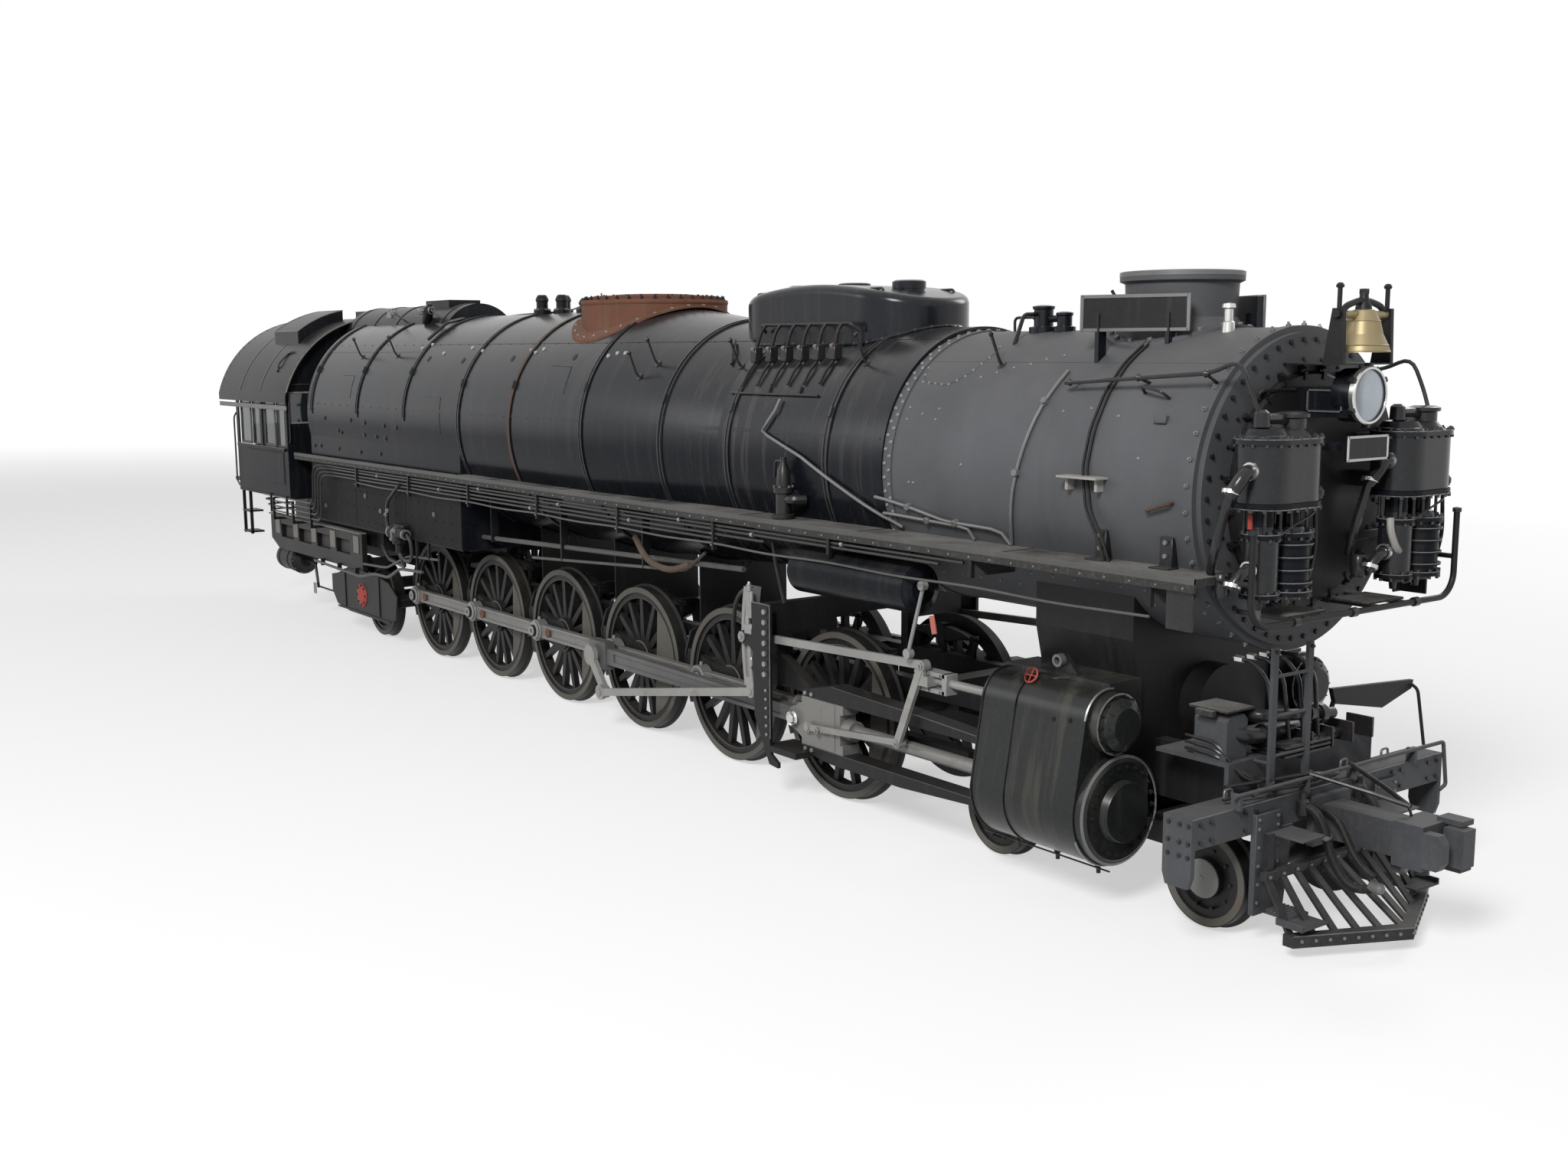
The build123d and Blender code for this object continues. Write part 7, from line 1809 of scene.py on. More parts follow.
@dataclass
class Cylinders(Assembly):
    """Edge strips, bolts, cocks, lug and hand wheel of the outside cylinders."""

    back: float = 10.15
    front: float = 11.28
    axle_z: float = AXLE_Z
    centre_y: float = -1.13
    shell_r: float = 0.448
    chest: tuple[float, float, float] = (-1.20, 1.5555, 0.26)

    def build(self) -> None:
        """Make the strips, the head bolts and the small fittings."""
        outline = self._outline(0.004)
        rear = tube([(self.back + 0.004, y, z) for y, z in outline], 0.010, sides=6)
        self.add("cylinder_rear_edges", rear.both(), CHASSIS)
        worn = [tube([(self.front - 0.004, y, z) for y, z in part], 0.011, sides=6)
                for part in (outline[:13], outline[18:])]
        self.add("cylinder_front_edges", Shape.join(*worn).both(), BRIGHT_DULL)
        path = np.array([(self.back + 0.38, y, z) for y, z in self._outline(0.0)])
        seam = sweep(path, strip(0.012, -0.004, 0.003), path - (0, self.centre_y, 1.2))
        self.add("cylinder_seams", seam.both(), CYLINDER)
        self._heads()
        self._fittings()

    def _outline(self, proud: float) -> list[tuple[float, float]]:
        """Return the jacket's outer edge from top to bottom: two arcs and the straight run between.

        Args:
            proud: Height over the jacket.

        Returns:
            Rows of y and z.
        """
        y, z, r = self.chest
        upper = np.radians(np.linspace(80, 178, 14))
        lower = np.radians(np.linspace(178, 268, 14))
        top = [(y + (r + proud) * math.cos(a), z + (r + proud) * math.sin(a)) for a in upper]
        wide = self.shell_r + proud
        low = [(self.centre_y + wide * math.cos(a), self.axle_z + wide * math.sin(a)) for a in lower]
        return top + low

    def _heads(self) -> None:
        """Bolt the front heads of the chest and the cylinder and ring them with worn edges."""
        y, z, r = self.chest
        front = self.front
        bolts = [heads(around((front + 0.10, y, z), r - 0.038, 14), (1, 0, 0), 0.015, 0.024, Head.STUD),
                 heads(around((front + 0.150, y, z), r - 0.085, 10), (1, 0, 0), 0.014, 0.026, Head.STUD)]
        ring = around((front + 0.090, self.centre_y, self.axle_z), self.shell_r - 0.10, 22)
        bolts.append(heads(ring, (1, 0, 0), 0.018, 0.026, Head.STUD))
        rear = around((self.back - 0.004, self.centre_y, self.axle_z), 0.30, 16)
        bolts.append(heads(rear, (-1, 0, 0), 0.016, 0.02))
        self.add("cylinder_bolts", Shape.join(*bolts).both(), CHASSIS)
        rims = [lathe([(front + 0.060, self.shell_r - 0.016), (front + 0.068, self.shell_r - 0.008),
                       (front + 0.080, self.shell_r - 0.030), (front + 0.070, self.shell_r - 0.036)],
                      (0, self.centre_y, self.axle_z), "x", 56, ring=True),
                lathe([(front + 0.094, r - 0.024), (front + 0.100, r - 0.016), (front + 0.104, r - 0.028),
                       (front + 0.100, r - 0.034)], (0, y, z), "x", 40, ring=True)]
        self.add("cylinder_head_rims", Shape.join(*rims).both(), EDGE)
        cap = lathe([(front + 0.148, 0.0), (front + 0.148, 0.24), (front + 0.156, 0.235),
                     (front + 0.162, 0.12), (front + 0.164, 0.0)], (0, self.centre_y, self.axle_z), "x", 40)
        self.add("cylinder_covers", cap.both(), CYLINDER)

    def _fittings(self) -> None:
        """Make the lug's eye, the red hand wheel, the relief valves and the drain cocks."""
        y, z, r = self.chest
        eye = washer(0.034, 0.030, 0.052, (self.back + 0.585, -1.18, z + r + 0.14), "y", 18)
        self.add("lug_eyes", eye.both(), WORN_EDGE)
        wheel = bead(0.010, 0.058, 0.070, (0, 0, 0), "z", 20)
        spokes = [tube([(0, 0, 0), (0.062 * math.cos(a), 0.062 * math.sin(a), 0)], 0.006, sides=5)
                  for a in np.radians(np.arange(0, 360, 90))]
        tilted = Shape.join(wheel, *spokes).turned(58, "x").moved(self.back + 0.42, -1.33, z + 0.27)
        self.add("red_hand_wheel", tilted, RED)
        stem = Shape.join(tube([(self.back + 0.42, -1.33, z + 0.27), (self.back + 0.42, -1.24, z + 0.21)],
                               0.014, sides=8),
                          lathe([(z + 0.12, 0.0), (z + 0.12, 0.05), (z + 0.22, 0.045), (z + 0.24, 0.0)],
                                (self.back + 0.45, -1.24, 0), "z", 14),
                          tube([(self.back + 0.45, -1.24, z + 0.20), (self.back + 0.62, -1.22, z + 0.27),
                                (self.back + 0.90, -1.10, z + 0.28)], 0.018, 0.08, 8))
        self.add("hand_wheel_valve", stem, PIPE)
        dots = heads([(self.back + 0.80, -1.462, z), (self.back + 0.97, -1.462, z + 0.02)], (0, -1, 0), 0.022,
                     0.012, Head.PLUG)
        self.add("chest_plugs", dots.both(), CHASSIS)
        cocks = [lathe([(0.30, 0.0), (0.30, 0.018), (0.35, 0.018), (0.36, 0.032), (0.42, 0.032), (0.42, 0.0)],
                       (self.back + dx, self.centre_y, 0), "z", 12) for dx in (0.12, 0.56, 1.0)]
        rod = tube([(x, self.centre_y - 0.04, 0.355) for x in (self.back - 0.25, self.front + 0.02)], 0.008,
                   sides=6)
        self.add("drain_cocks", Shape.join(*cocks, rod).both(), PIPE)
        glands = [lathe([(self.back - 0.105, 0.070), (self.back - 0.105, 0.115), (self.back - 0.085, 0.13),
                         (self.back - 0.060, 0.13), (self.back - 0.060, 0.070)],
                        (0, self.centre_y, self.axle_z), "x", 24, ring=True),
                  lathe([(self.back - 0.145, 0.045), (self.back - 0.145, 0.070), (self.back - 0.120, 0.075),
                         (self.back - 0.120, 0.045)], (0, y, z), "x", 20, ring=True)]
        self.add("rod_glands", Shape.join(*glands).both(), EDGE)


@dataclass
class Motion(Assembly):
    """Bolts, oil cups, pins and worn edges on the yoke, guides, crossheads and valve gear."""

    axle_z: float = AXLE_Z
    yoke_x: float = 6.93
    arm_face: float = -1.390
    guides: tuple[float, float] = (7.39, 10.06)
    link: tuple[float, float] = (6.62, 1.5805)
    lever: tuple[float, float] = (9.23, 1.6855)
    wrist_x: float = 7.292

    def build(self) -> None:
        """Make each group of parts."""
        self._yoke()
        self._guides()
        self._gear()
        self._rods()

    def _yoke(self) -> None:
        """Bolt the outer arm of the yoke and edge it with worn steel."""
        x, y = self.yoke_x + 0.085, self.arm_face
        large = line((x, y, 1.88), (x, y, 1.26), 7)
        small = line((x + 0.01, y, 1.10), (x + 0.02, y, 0.66), 6)
        bolts = Shape.join(heads(large, (0, -1, 0), 0.030, 0.030), heads(small, (0, -1, 0), 0.017, 0.016))
        self.add("yoke_bolts", bolts.both(), BRIGHT_DULL)
        edge = [tube([(self.yoke_x - 0.15, y + 0.004, 1.95), (self.yoke_x + 0.15, y + 0.004, 1.95)], 0.006,
                     sides=5),
                tube([(self.yoke_x + 0.15, y + 0.004, 1.95), (self.yoke_x + 0.15, y + 0.004, 0.62)], 0.005,
                     sides=5)]
        self.add("yoke_edges", Shape.join(*edge).both(), EDGE)
        plate = Shape.join(slab(self.yoke_x - 0.26, self.yoke_x - 0.155, -1.386, -1.352, 1.78, 2.05),
                           slab(self.yoke_x - 0.27, self.yoke_x - 0.15, -1.395, -1.345, 1.62, 1.72))
        self.add("link_plates", plate.both(), LIGHT_ROD, ease=0.006)
        cup = [(0.0, 0.0), (0.0, 0.030), (0.06, 0.030), (0.075, 0.018), (0.095, 0.014), (0.095, 0.0)]
        cups = [lathe(cup, (self.yoke_x + dx, -1.37, top), "z", 12)
                for dx, top in ((-0.21, 2.05), (-0.235, 1.72), (-0.18, 1.30))]
        self.add("oil_cups", Shape.join(*cups).both(), BRIGHT_DULL)
        hanger = tube([(7.03, -1.30, 2.56), (7.06, -1.30, 2.40), (7.21, -1.30, 1.98)], 0.020, 0.1, 8)
        curve = tube([(6.20, -1.20, 1.60), (6.25, -1.22, 1.85), (6.42, -1.24, 2.02), (6.66, -1.26, 2.05)],
                     0.022, 0.15, 8)
        self.add("yoke_hangers", Shape.join(hanger, curve).both(), PIPE)

    def _guides(self) -> None:
        """Bolt the guides at both ends and edge them with worn steel."""
        x0, x1 = self.guides
        z = self.axle_z
        rows = [(x, -1.225, z + dz) for dz in (-0.275, 0.275)
                for x in (x0 + 0.06, x0 + 0.16, x1 - 0.06, x1 - 0.16)]
        self.add("guide_bolts", heads(rows, (0, -1, 0), 0.022, 0.020).both(), BRIGHT_DULL)
        lines = [tube([(x0 + 0.45, -1.222, z + 0.395), (x0 + 1.47, -1.222, z + 0.357),
                       (x1, -1.222, z + 0.295)], 0.004, sides=5),
                 tube([(x0, -1.222, z - 0.244), (x1, -1.222, z - 0.244)], 0.004, sides=5)]
        self.add("guide_edges", Shape.join(*lines).both(), EDGE)

    def _gear(self) -> None:
        """Pin the links and levers, and add the lifting rod, its tag and the valve stem's guide."""
        lx, lz = self.link
        vx, vz = self.lever
        pins = [(lx, -1.392, lz), (vx, -1.295 - 0.035, vz), (vx - 0.32, -1.33, 0.9305), (7.72, -1.30, 0.8155)]
        self.add("gear_pins",
                 Shape.join(heads(pins[:1], (0, -1, 0), 0.055, 0.03, Head.PLUG),
                            heads(pins[1:], (0, -1, 0), 0.034, 0.030, Head.PLUG)).both(), BRIGHT_DULL)
        rod = tube([(9.28, -1.35, 2.38), (9.10, -1.35, 1.80)], 0.018, sides=8)
        eyes = [lathe([(-0.03, 0.0), (-0.03, r), (0.03, r), (0.03, 0.0)], place, "y", 14)
                for r, place in ((0.045, (9.10, -1.35, 1.78)), (0.04, (9.28, -1.35, 2.40)))]
        self.add("lifting_rods", Shape.join(rod, *eyes).both(), LIGHT_ROD)
        tag = slab(9.40, 9.46, -1.37, -1.355, 2.00, 2.16).turned(-14, "y", (9.43, -1.36, 2.08))
        self.add("red_tag", tag, TAG_RED, ease=0.003)
        stem = Shape.join(slab(9.08, 9.48, -1.27, -1.13, 1.60, 1.64),
                          slab(9.08, 9.48, -1.27, -1.13, 1.455, 1.495),
                          slab(9.44, 9.50, -1.27, -1.13, 1.455, 1.64))
        self.add("stem_guides", stem.both(), LIGHT_ROD, ease=0.005)
        rows = [(x, -1.275, z) for x in (9.14, 9.28, 9.42) for z in (1.475, 1.62)]
        nuts = heads(rows, (0, -1, 0), 0.013, 0.014)
        self.add("stem_guide_nuts", nuts.both(), BRIGHT_DULL)

    def _rods(self) -> None:
        """Put the ring and the nut on the wrist pin of the right main rod."""
        ring = lathe([(-0.012, 0.052), (-0.020, 0.070), (0.0, 0.082), (0.014, 0.070), (0.014, 0.052)],
                     (self.wrist_x, -1.275, self.axle_z), "y", 24, ring=True)
        nut = heads([(self.wrist_x, -1.27, self.axle_z)], (0, -1, 0), 0.050, 0.045)
        self.add("wrist_nuts", Shape.join(ring, nut), BRIGHT)


# Running boards and cab.

@dataclass
class Boards(Assembly):
    """Worn edges, clamped pipes, brackets and the injector along the running boards."""

    ends: tuple[float, float] = (-5.68, 12.30)
    outer: float = 1.50
    top: float = 2.81
    drop_x: float = -4.75

    def build(self) -> None:
        """Make each group of parts."""
        self._edges()
        self._pipes()
        self._low_pipes()
        self._firebox_side()
        self._reach_rods()
        self._injector()

    def _edges(self) -> None:
        """Edge the boards, joint their plates and rivet their outer sides."""
        x0, x1 = self.ends
        y = self.outer
        lip = prism([(-y - 0.004, self.top - 0.045), (-y + 0.02, self.top - 0.045),
                     (-y + 0.02, self.top + 0.004), (-y - 0.004, self.top + 0.004)], "x", x0, x1)
        self.add("board_edges", lip.both(), WORN_PIPE, ease=0.004)
        seams = [slab(x, x + 0.012, -y + 0.02, -1.09, self.top, self.top + 0.003)
                 for x in np.arange(x0 + 1.4, x1 - 0.5, 1.83)]
        self.add("board_joints", Shape.join(*seams).both(), CHASSIS)
        row = [(x, -y - 0.001, self.top - 0.075) for x in np.linspace(x0 + 0.1, x1 - 0.1, 74)]
        rivets = heads(row, (0, -1, 0), 0.011, 0.008, Head.RIVET)
        self.add("board_rivets", rivets.both(), WORN_EDGE)

    def _pipes(self) -> None:
        """Lay the pipes under the right board; four of them drop to the frame before the cab."""
        rows = []
        for k, (end, z) in enumerate(((9.9, 2.672), (9.6, 2.632), (7.1, 2.582), (6.3, 2.536))):
            drop, low = self.drop_x + 0.11 * k, 2.06 - 0.08 * k
            rows.append(tube([(end, -1.455, z), (drop + 0.4, -1.455, z), (drop + 0.1, -1.53, z),
                              (drop, -1.55, z - 0.10), (drop - 0.02, -1.555, low + 0.08),
                              (drop - 0.12, -1.555, low), (-7.12 + 0.12 * k, -1.555, low),
                              (-7.20 + 0.12 * k, -1.50, low), (-7.22 + 0.12 * k, -1.10, low)], 0.014, 0.07,
                             8))
        self.add("board_pipes", Shape.join(*rows), PIPE)
        hangers = [slab(x - 0.018, x + 0.018, -1.578, -1.545, 1.79, 2.10) for x in (-6.70, -5.95)]
        self.add("pipe_hangers", Shape.join(*hangers), CHASSIS, ease=0.003)
        # Bright rings at uneven places along the pipes: painted glints of light on the pipes, not fittings.
        unions = [washer(0.02, 0.013, 0.024, (x, -1.455, z), "x", 8)
                  for x, z in ((-2.4, 2.632), (-0.3, 2.582), (0.9, 2.672), (2.3, 2.536), (3.0, 2.632),
                               (4.6, 2.582), (5.6, 2.672), (6.9, 2.632), (8.3, 2.672))]
        self.add("pipe_glint_rings", Shape.join(*unions), BRIGHT_DULL)
        sag = [(x, -1.470, 2.490 - 0.022 * (k % 2)) for k, x in enumerate(np.arange(-3.16, 12.2, 0.94))]
        self.add("sagging_conduit", tube(sag, 0.011, 0.3, 8), WORN_PIPE)
        clamps = Shape.join(slab(-0.018, 0.018, -1.484, -1.436, 2.42, 2.715),
                            slab(-0.022, 0.022, -1.448, -1.06, 2.695, 2.735))
        clamp_x = np.arange(-3.16, 7.0, 1.88)
        self.add("pipe_clamps", clamps.repeated([(x, 0, 0) for x in clamp_x]), CHASSIS, ease=0.003)
        short = slab(-0.020, 0.020, -1.484, -1.440, 2.56, 2.715)
        short_x = np.arange(8.12, 12.0, 1.88)
        self.add("short_clamps", short.repeated([(x, 0, 0) for x in short_x]), CHASSIS, ease=0.003)
        left = [tube([(11.6, 1.45, z), (-5.5, 1.45, z)], 0.016, sides=8) for z in (2.655, 2.60)]
        holder = slab(-0.020, 0.020, 1.425, 1.475, 2.56, 2.715)
        left.append(holder.repeated([(x, 0, 0) for x in np.arange(-5.1, 11.6, 1.25)]))
        self.add("left_board_pipes", Shape.join(*left), PIPE)
        nuts = heads([(x, -1.49, z) for x in clamp_x for z in (2.47, 2.59)], (0, -1, 0), 0.010, 0.010)
        self.add("clamp_nuts", nuts, BRIGHT_DULL)
        posts = [slab(x - 0.02, x + 0.02, -1.575, *sizes)
                 for sizes in ((-1.535, 1.69, 2.03), (-1.33, 1.665, 1.705)) for x in (-6.6, -5.7, -4.9)]
        self.add("pipe_posts", Shape.join(*posts), CHASSIS, ease=0.003)

    def _low_pipes(self) -> None:
        """Lay the pipes along the frame with their hangers, and edge the slab behind the wheels."""
        low = [tube([(-5.20, -1.415, 1.12), (-3.30, -1.415, 1.07), (-2.80, -1.40, 1.167),
                     (-2.29, -1.40, 1.166), (-1.885, -1.40, 1.34), (-1.08, -1.40, 1.38)], 0.022, 0.12, 8),
               tube([(-3.28, -1.37, 1.26), (-2.38, -1.38, 1.30), (-1.59, -1.38, 1.55), (-0.58, -1.38, 1.60)],
                    0.018, 0.12, 8)]
        self.add("low_pipes", Shape.join(*low), WORN_PIPE)
        hangers = [slab(x - 0.015, x + 0.015, -1.41, -1.37, z, 1.83)
                   for x, z in ((-1.25, 1.35), (-0.85, 1.58))]
        hangers += [slab(x - 0.015, x + 0.015, -1.43, -1.365, 1.07, 1.18) for x in (-4.9, -4.2, -3.5)]
        self.add("low_pipe_hangers", Shape.join(*hangers), CHASSIS, ease=0.003)
        top = slab(-7.30, -3.30, -1.415, -1.30, 1.700, 1.722)
        pads = [slab(x, x + 0.20, -1.392, -1.378, 1.40, 1.66) for x in (-7.05, -6.21, -5.39, -4.57, -3.62)]
        self.add("slab_edges", Shape.join(top, *pads), PALE_EDGE, ease=0.004)
        self.add("slab_backing", slab(-7.22, -3.36, -1.302, -1.284, 1.22, 1.69), BEAM, ease=0.004)

    def _reach_rods(self) -> None:
        """Run the reach rods forward from the cab on their hangers, with the lagged pipe near the front."""
        reach = [tube([(-0.04, -1.10, 1.96), (6.25, -1.10, 2.19)], 0.030, sides=10),
                 tube([(1.71, -1.14, 1.85), (5.22, -1.14, 2.07), (5.60, -1.14, 2.30)], 0.018, 0.1, 8)]
        self.add("reach_rods", Shape.join(*reach), WORN_PIPE)
        carriers = [slab(x - 0.014, x + 0.014, -1.16, -1.06, z, 2.60)
                    for x, z in ((0.6, 1.94), (2.48, 1.88), (4.36, 2.0))]
        self.add("reach_rod_hangers", Shape.join(*carriers), CHASSIS, ease=0.003)
        cloth = tube([(4.35, -1.24, 2.36), (4.62, -1.26, 2.12), (5.05, -1.24, 2.05), (5.42, -1.22, 2.16)],
                     0.036, 0.2, 10)
        self.add("lagged_pipe", cloth, LAGGING)

    def _firebox_side(self) -> None:
        """Cover the flat sides of the firebox with plates, their rows of stay heads and a few plugs."""
        plates = [slab(x0, x1, -1.409, -1.398, 1.815, 2.70)
                  for x0, x1 in ((-5.14, -3.36), (-3.35, -1.56), (-1.55, 0.24))]
        self.add("firebox_plates", Shape.join(*plates).both(), FIREBOX, ease=0.004)
        x, z = np.meshgrid(np.arange(-5.0, 0.2, 0.26), np.arange(1.92, 2.62, 0.22))
        stays = np.stack([x.ravel(), np.full(x.size, -1.409), z.ravel()], axis=1)
        self.add("stay_heads", heads(stays, (0, -1, 0), 0.013, 0.009, Head.RIVET).both(), FIREBOX)
        plugs = heads([(-4.6, -1.41, 2.04), (-3.0, -1.41, 2.30), (-2.45, -1.41, 2.12), (-0.6, -1.41, 2.22)],
                      (0, -1, 0), 0.036, 0.022, Head.PLUG)
        self.add("firebox_plugs", plugs.both(), WORN_EDGE)

    def _injector(self) -> None:
        """Make the injector with its flanges, bright unions and pipes."""
        y = -1.50
        body = lathe([(-1.92, 0.0), (-1.92, 0.040), (-1.84, 0.075), (-1.74, 0.060), (-1.56, 0.085),
                      (-1.42, 0.055), (-1.34, 0.045), (-1.34, 0.0)], (0, y, 1.88), "x", 20)
        low = lathe([(1.60, 0.0), (1.60, 0.05), (1.72, 0.05), (1.74, 0.09), (1.79, 0.09), (1.83, 0.06),
                     (1.83, 0.0)], (-1.62, y, 0), "z", 18)
        self.add("injector", Shape.join(body, low), CHASSIS)
        rings = [washer(0.016, 0.045, r, (x, y, 1.88), "x", 16)
                 for x, r in ((-1.87, 0.085), (-1.66, 0.098), (-1.38, 0.075))]
        dots = heads([(-1.96, y - 0.03, 2.12), (-1.90, y - 0.03, 2.18), (-1.58, y - 0.07, 1.92),
                      (-1.70, y - 0.07, 1.80)], (0, -1, 0), 0.032, 0.03, Head.PLUG)
        self.add("injector_unions", Shape.join(*rings, dots), BRIGHT_DULL)
        pipes = [tube([(-1.92, y, 1.88), (-2.02, y, 1.98), (-1.98, y, 2.30), (-1.60, -1.47, 2.56)], 0.026,
                      0.1, 10),
                 tube([(-1.34, y, 1.88), (-1.20, y, 1.80), (-1.18, y, 1.55), (-1.42, y, 1.50),
                       (-1.62, y, 1.62)], 0.024, 0.1, 10),
                 tube([(-1.62, y, 1.62), (-1.62, -1.42, 1.40), (-2.6, -1.25, 1.40), (-3.0, -1.18, 1.55)],
                      0.030, 0.1, 10)]
        self.add("injector_pipes", Shape.join(*pipes), PIPE)
        foot = slab(-1.80, -1.45, -1.50, -1.39, 1.95, 2.00)
        self.add("injector_bracket", foot, CHASSIS, ease=0.006)


@dataclass
class Cab(Assembly):
    """Panes, sashes, gutters, rails and fittings of the cab."""

    side: float = 1.55
    sill: float = 2.86
    head: float = 3.69
    windows: tuple[tuple[float, float], ...] = ((-8.19, -7.105), (-6.995, -5.91))
    roof_z: float = 3.275
    roof_r: float = 1.665
    hatch_r: float = 1.825

    def build(self) -> None:
        """Make each group of parts."""
        self._windows()
        self._roof()
        self._walls()
        self._inside()

    @staticmethod
    def _frame(x0: float, x1: float, z0: float, z1: float, y: float, bar: float, depth: float) -> Shape:
        """Return a square frame standing in the side wall's plane."""
        return Shape.join(*[slab(a, b, y - depth, y + depth, low, high) for a, b, low, high in (
            (x0, x1, z0, z0 + bar), (x0, x1, z1 - bar, z1),
            (x0, x0 + bar, z0 + bar, z1 - bar), (x1 - bar, x1, z0 + bar, z1 - bar))])

    def _windows(self) -> None:
        """Make the sliding sashes, their panes and the framed front panes."""
        y = -self.side + 0.045
        sashes, panes = [], []
        for x0, x1 in self.windows:
            middle = (x0 + x1) / 2
            low, high = self.sill + 0.005, self.head - 0.005
            sashes.append(self._frame(x0 + 0.01, middle, low, high, y, 0.045, 0.012))
            panes.append(slab(x0 + 0.05, middle - 0.04, y - 0.003, y + 0.003, self.sill + 0.045,
                              self.head - 0.045))
            panes.append(slab(middle - 0.02, x1 - 0.004, y + 0.030, y + 0.036, self.sill + 0.004,
                              self.head - 0.004))
            sashes.append(self._frame(middle - 0.03, x1 - 0.004, low, high, y + 0.033, 0.03, 0.010))
        self.add("cab_sashes", Shape.join(*sashes).both(), SASH, ease=0.003)
        self.add("cab_panes", Shape.join(*panes).both(), SHADE_TINTED_PANE)
        frame = self._frame(-1.50, -1.14, 3.26, 3.77, 0, 0.028, 0.008).turned(90, "z").moved(-5.792, 0, 0)
        self.add("front_window_frames", frame.both(), PALE_EDGE, ease=0.003)
        self.add("front_panes", slab(-5.816, -5.810, -1.475, -1.165, 3.28, 3.75).both(), SHADE_TINTED_PANE)
        sills = [slab(x0 - 0.02, x1 + 0.02, -self.side - 0.034, -self.side + 0.01, self.sill - 0.018,
                      self.sill + 0.006)
                 for x0, x1 in self.windows]
        self.add("cab_sill_edges", Shape.join(*sills).both(), PALE_EDGE, ease=0.003)

    def _over(self, x: float, angle: np.ndarray, r: float) -> np.ndarray:
        """Return points about the roof's centre at x: r times (cosine, sine) of angles up from the right."""
        return np.stack([np.full(len(angle), x), -r * np.cos(angle), self.roof_z + r * np.sin(angle)], axis=1)

    def _arc(self, x: float, low: float, high: float, proud: float, count: int = 18) -> np.ndarray:
        """Return points over the roof at x between two angles in degrees."""
        return self._over(x, np.radians(np.linspace(low, high, count)), self.roof_r + proud)

    def _roof(self) -> None:
        """Edge the roof and hatches, and make the gutters, the seams and the grab rails."""
        edges = [tube(self._arc(-5.652, 17.0, 163.0, -0.004, 40), 0.012, sides=6),
                 tube(self._arc(-8.986, 17.0, 163.0, -0.006, 40), 0.010, sides=6)]
        self.add("roof_edges", Shape.join(*edges), PALE_EDGE)
        gutters = [tube([(-9.0, -1.600, z), (-5.65, -1.600, z)], 0.009, sides=6) for z in (3.487, 3.545)]
        lip = slab(-9.0, -5.65, -1.604, -1.590, 3.495, 3.540)
        self.add("roof_gutters", Shape.join(*gutters, lip).both(), WORN_EDGE)
        seams = []
        for x in (-7.9, -6.9):
            path = self._arc(x, 17.0, 62.0, 0.001)
            seams.append(sweep(path, strip(0.018, -0.004, 0.004), path - (x, 0, self.roof_z)))
        self.add("roof_seams", Shape.join(*seams).both(), JACKET)
        r = self.hatch_r
        angle = np.arccos(np.linspace(1.10, 0.33, 8) / r)
        hatch = [tube(self._over(x, angle, r), 0.008, sides=6) for x in (-7.45, -6.35)]
        for y in (-1.10, -0.33):
            z = self.roof_z + math.sqrt(r * r - y * y)
            hatch.append(tube([(-7.45, y, z), (-6.35, y, z)], 0.008, sides=6))
        self.add("hatch_edges", Shape.join(*hatch).both(), EDGE)
        rail = [tube([(-6.39, -1.42, 4.08), (-6.40, -1.44, 4.19), (-6.37, -1.27, 4.37), (-6.15, -1.24, 4.42),
                      (-5.95, -1.24, 4.34)], 0.014, 0.07, 8),
                tube([(-5.80, -1.08, 3.88), (-5.79, -1.45, 3.88)], 0.013, sides=8)]
        feet = heads([(-6.39, -1.45, 4.10), (-5.95, -1.26, 4.33)], (0, -0.7, 0.7), 0.030, 0.02, Head.PLUG)
        self.add("roof_rails", Shape.join(*rail, feet).both(), RAIL)
        angle = np.radians(np.arange(19, 90, 4.5))
        out = np.stack([np.zeros(len(angle)), -np.cos(angle), np.sin(angle)], axis=1)
        rivets = [heads(self._over(x, angle, self.roof_r + 0.001), out, 0.011, 0.007, Head.RIVET)
                  for x in (-5.70, -8.92)]
        self.add("roof_rivets", Shape.join(*rivets).both(), JACKET)

    def _walls(self) -> None:
        """Rivet the sides, set the blank panel on them and rail the corners."""
        y = -self.side
        panel = Shape.join(slab(-7.72, -6.00, y - 0.006, y + 0.004, 2.27, 2.80),
                           slab(-7.70, -6.02, y - 0.009, y, 2.29, 2.78))
        self.add("cab_blank_panels", panel.both(), CAB_BLACK, ease=0.003)
        rows = np.vstack([line((-8.27, y, 2.09), (-5.83, y, 2.09), 30),
                          line((-8.27, y, 2.82), (-5.83, y, 2.82), 30),
                          line((-8.27, y, 2.15), (-8.27, y, 3.72), 18),
                          line((-5.83, y, 2.15), (-5.83, y, 3.72), 18)])
        self.add("cab_rivets", heads(rows, (0, -1, 0), 0.010, 0.007, Head.RIVET).both(), DARK_GLOSS)
        rails = [tube([(-8.36, y + 0.02, 2.12), (-8.40, y - 0.01, 2.20), (-8.40, y - 0.01, 3.30),
                       (-8.34, y + 0.02, 3.38), (-8.28, y + 0.02, 3.38)], 0.015, 0.05, 8),
                 tube([(-5.79, y + 0.03, 2.95), (-5.75, y + 0.03, 3.0), (-5.75, y + 0.03, 3.62),
                       (-5.79, y + 0.03, 3.67)], 0.012, 0.03, 8)]
        self.add("cab_handrails", Shape.join(*rails).both(), RAIL)
        front = np.vstack([line((-5.798, y + 0.05, 2.9), (-5.798, y + 0.05, 3.8), 10),
                           line((-5.798, y + 0.05, 3.22), (-5.798, -1.14, 3.22), 6)])
        self.add("cab_front_rivets", heads(front, (1, 0, 0), 0.010, 0.007, Head.RIVET).both(), DARK_GLOSS)
        steps = [slab(-8.52, -8.14, -1.46, -1.22, z, z + 0.03) for z in (1.30, 1.66)]
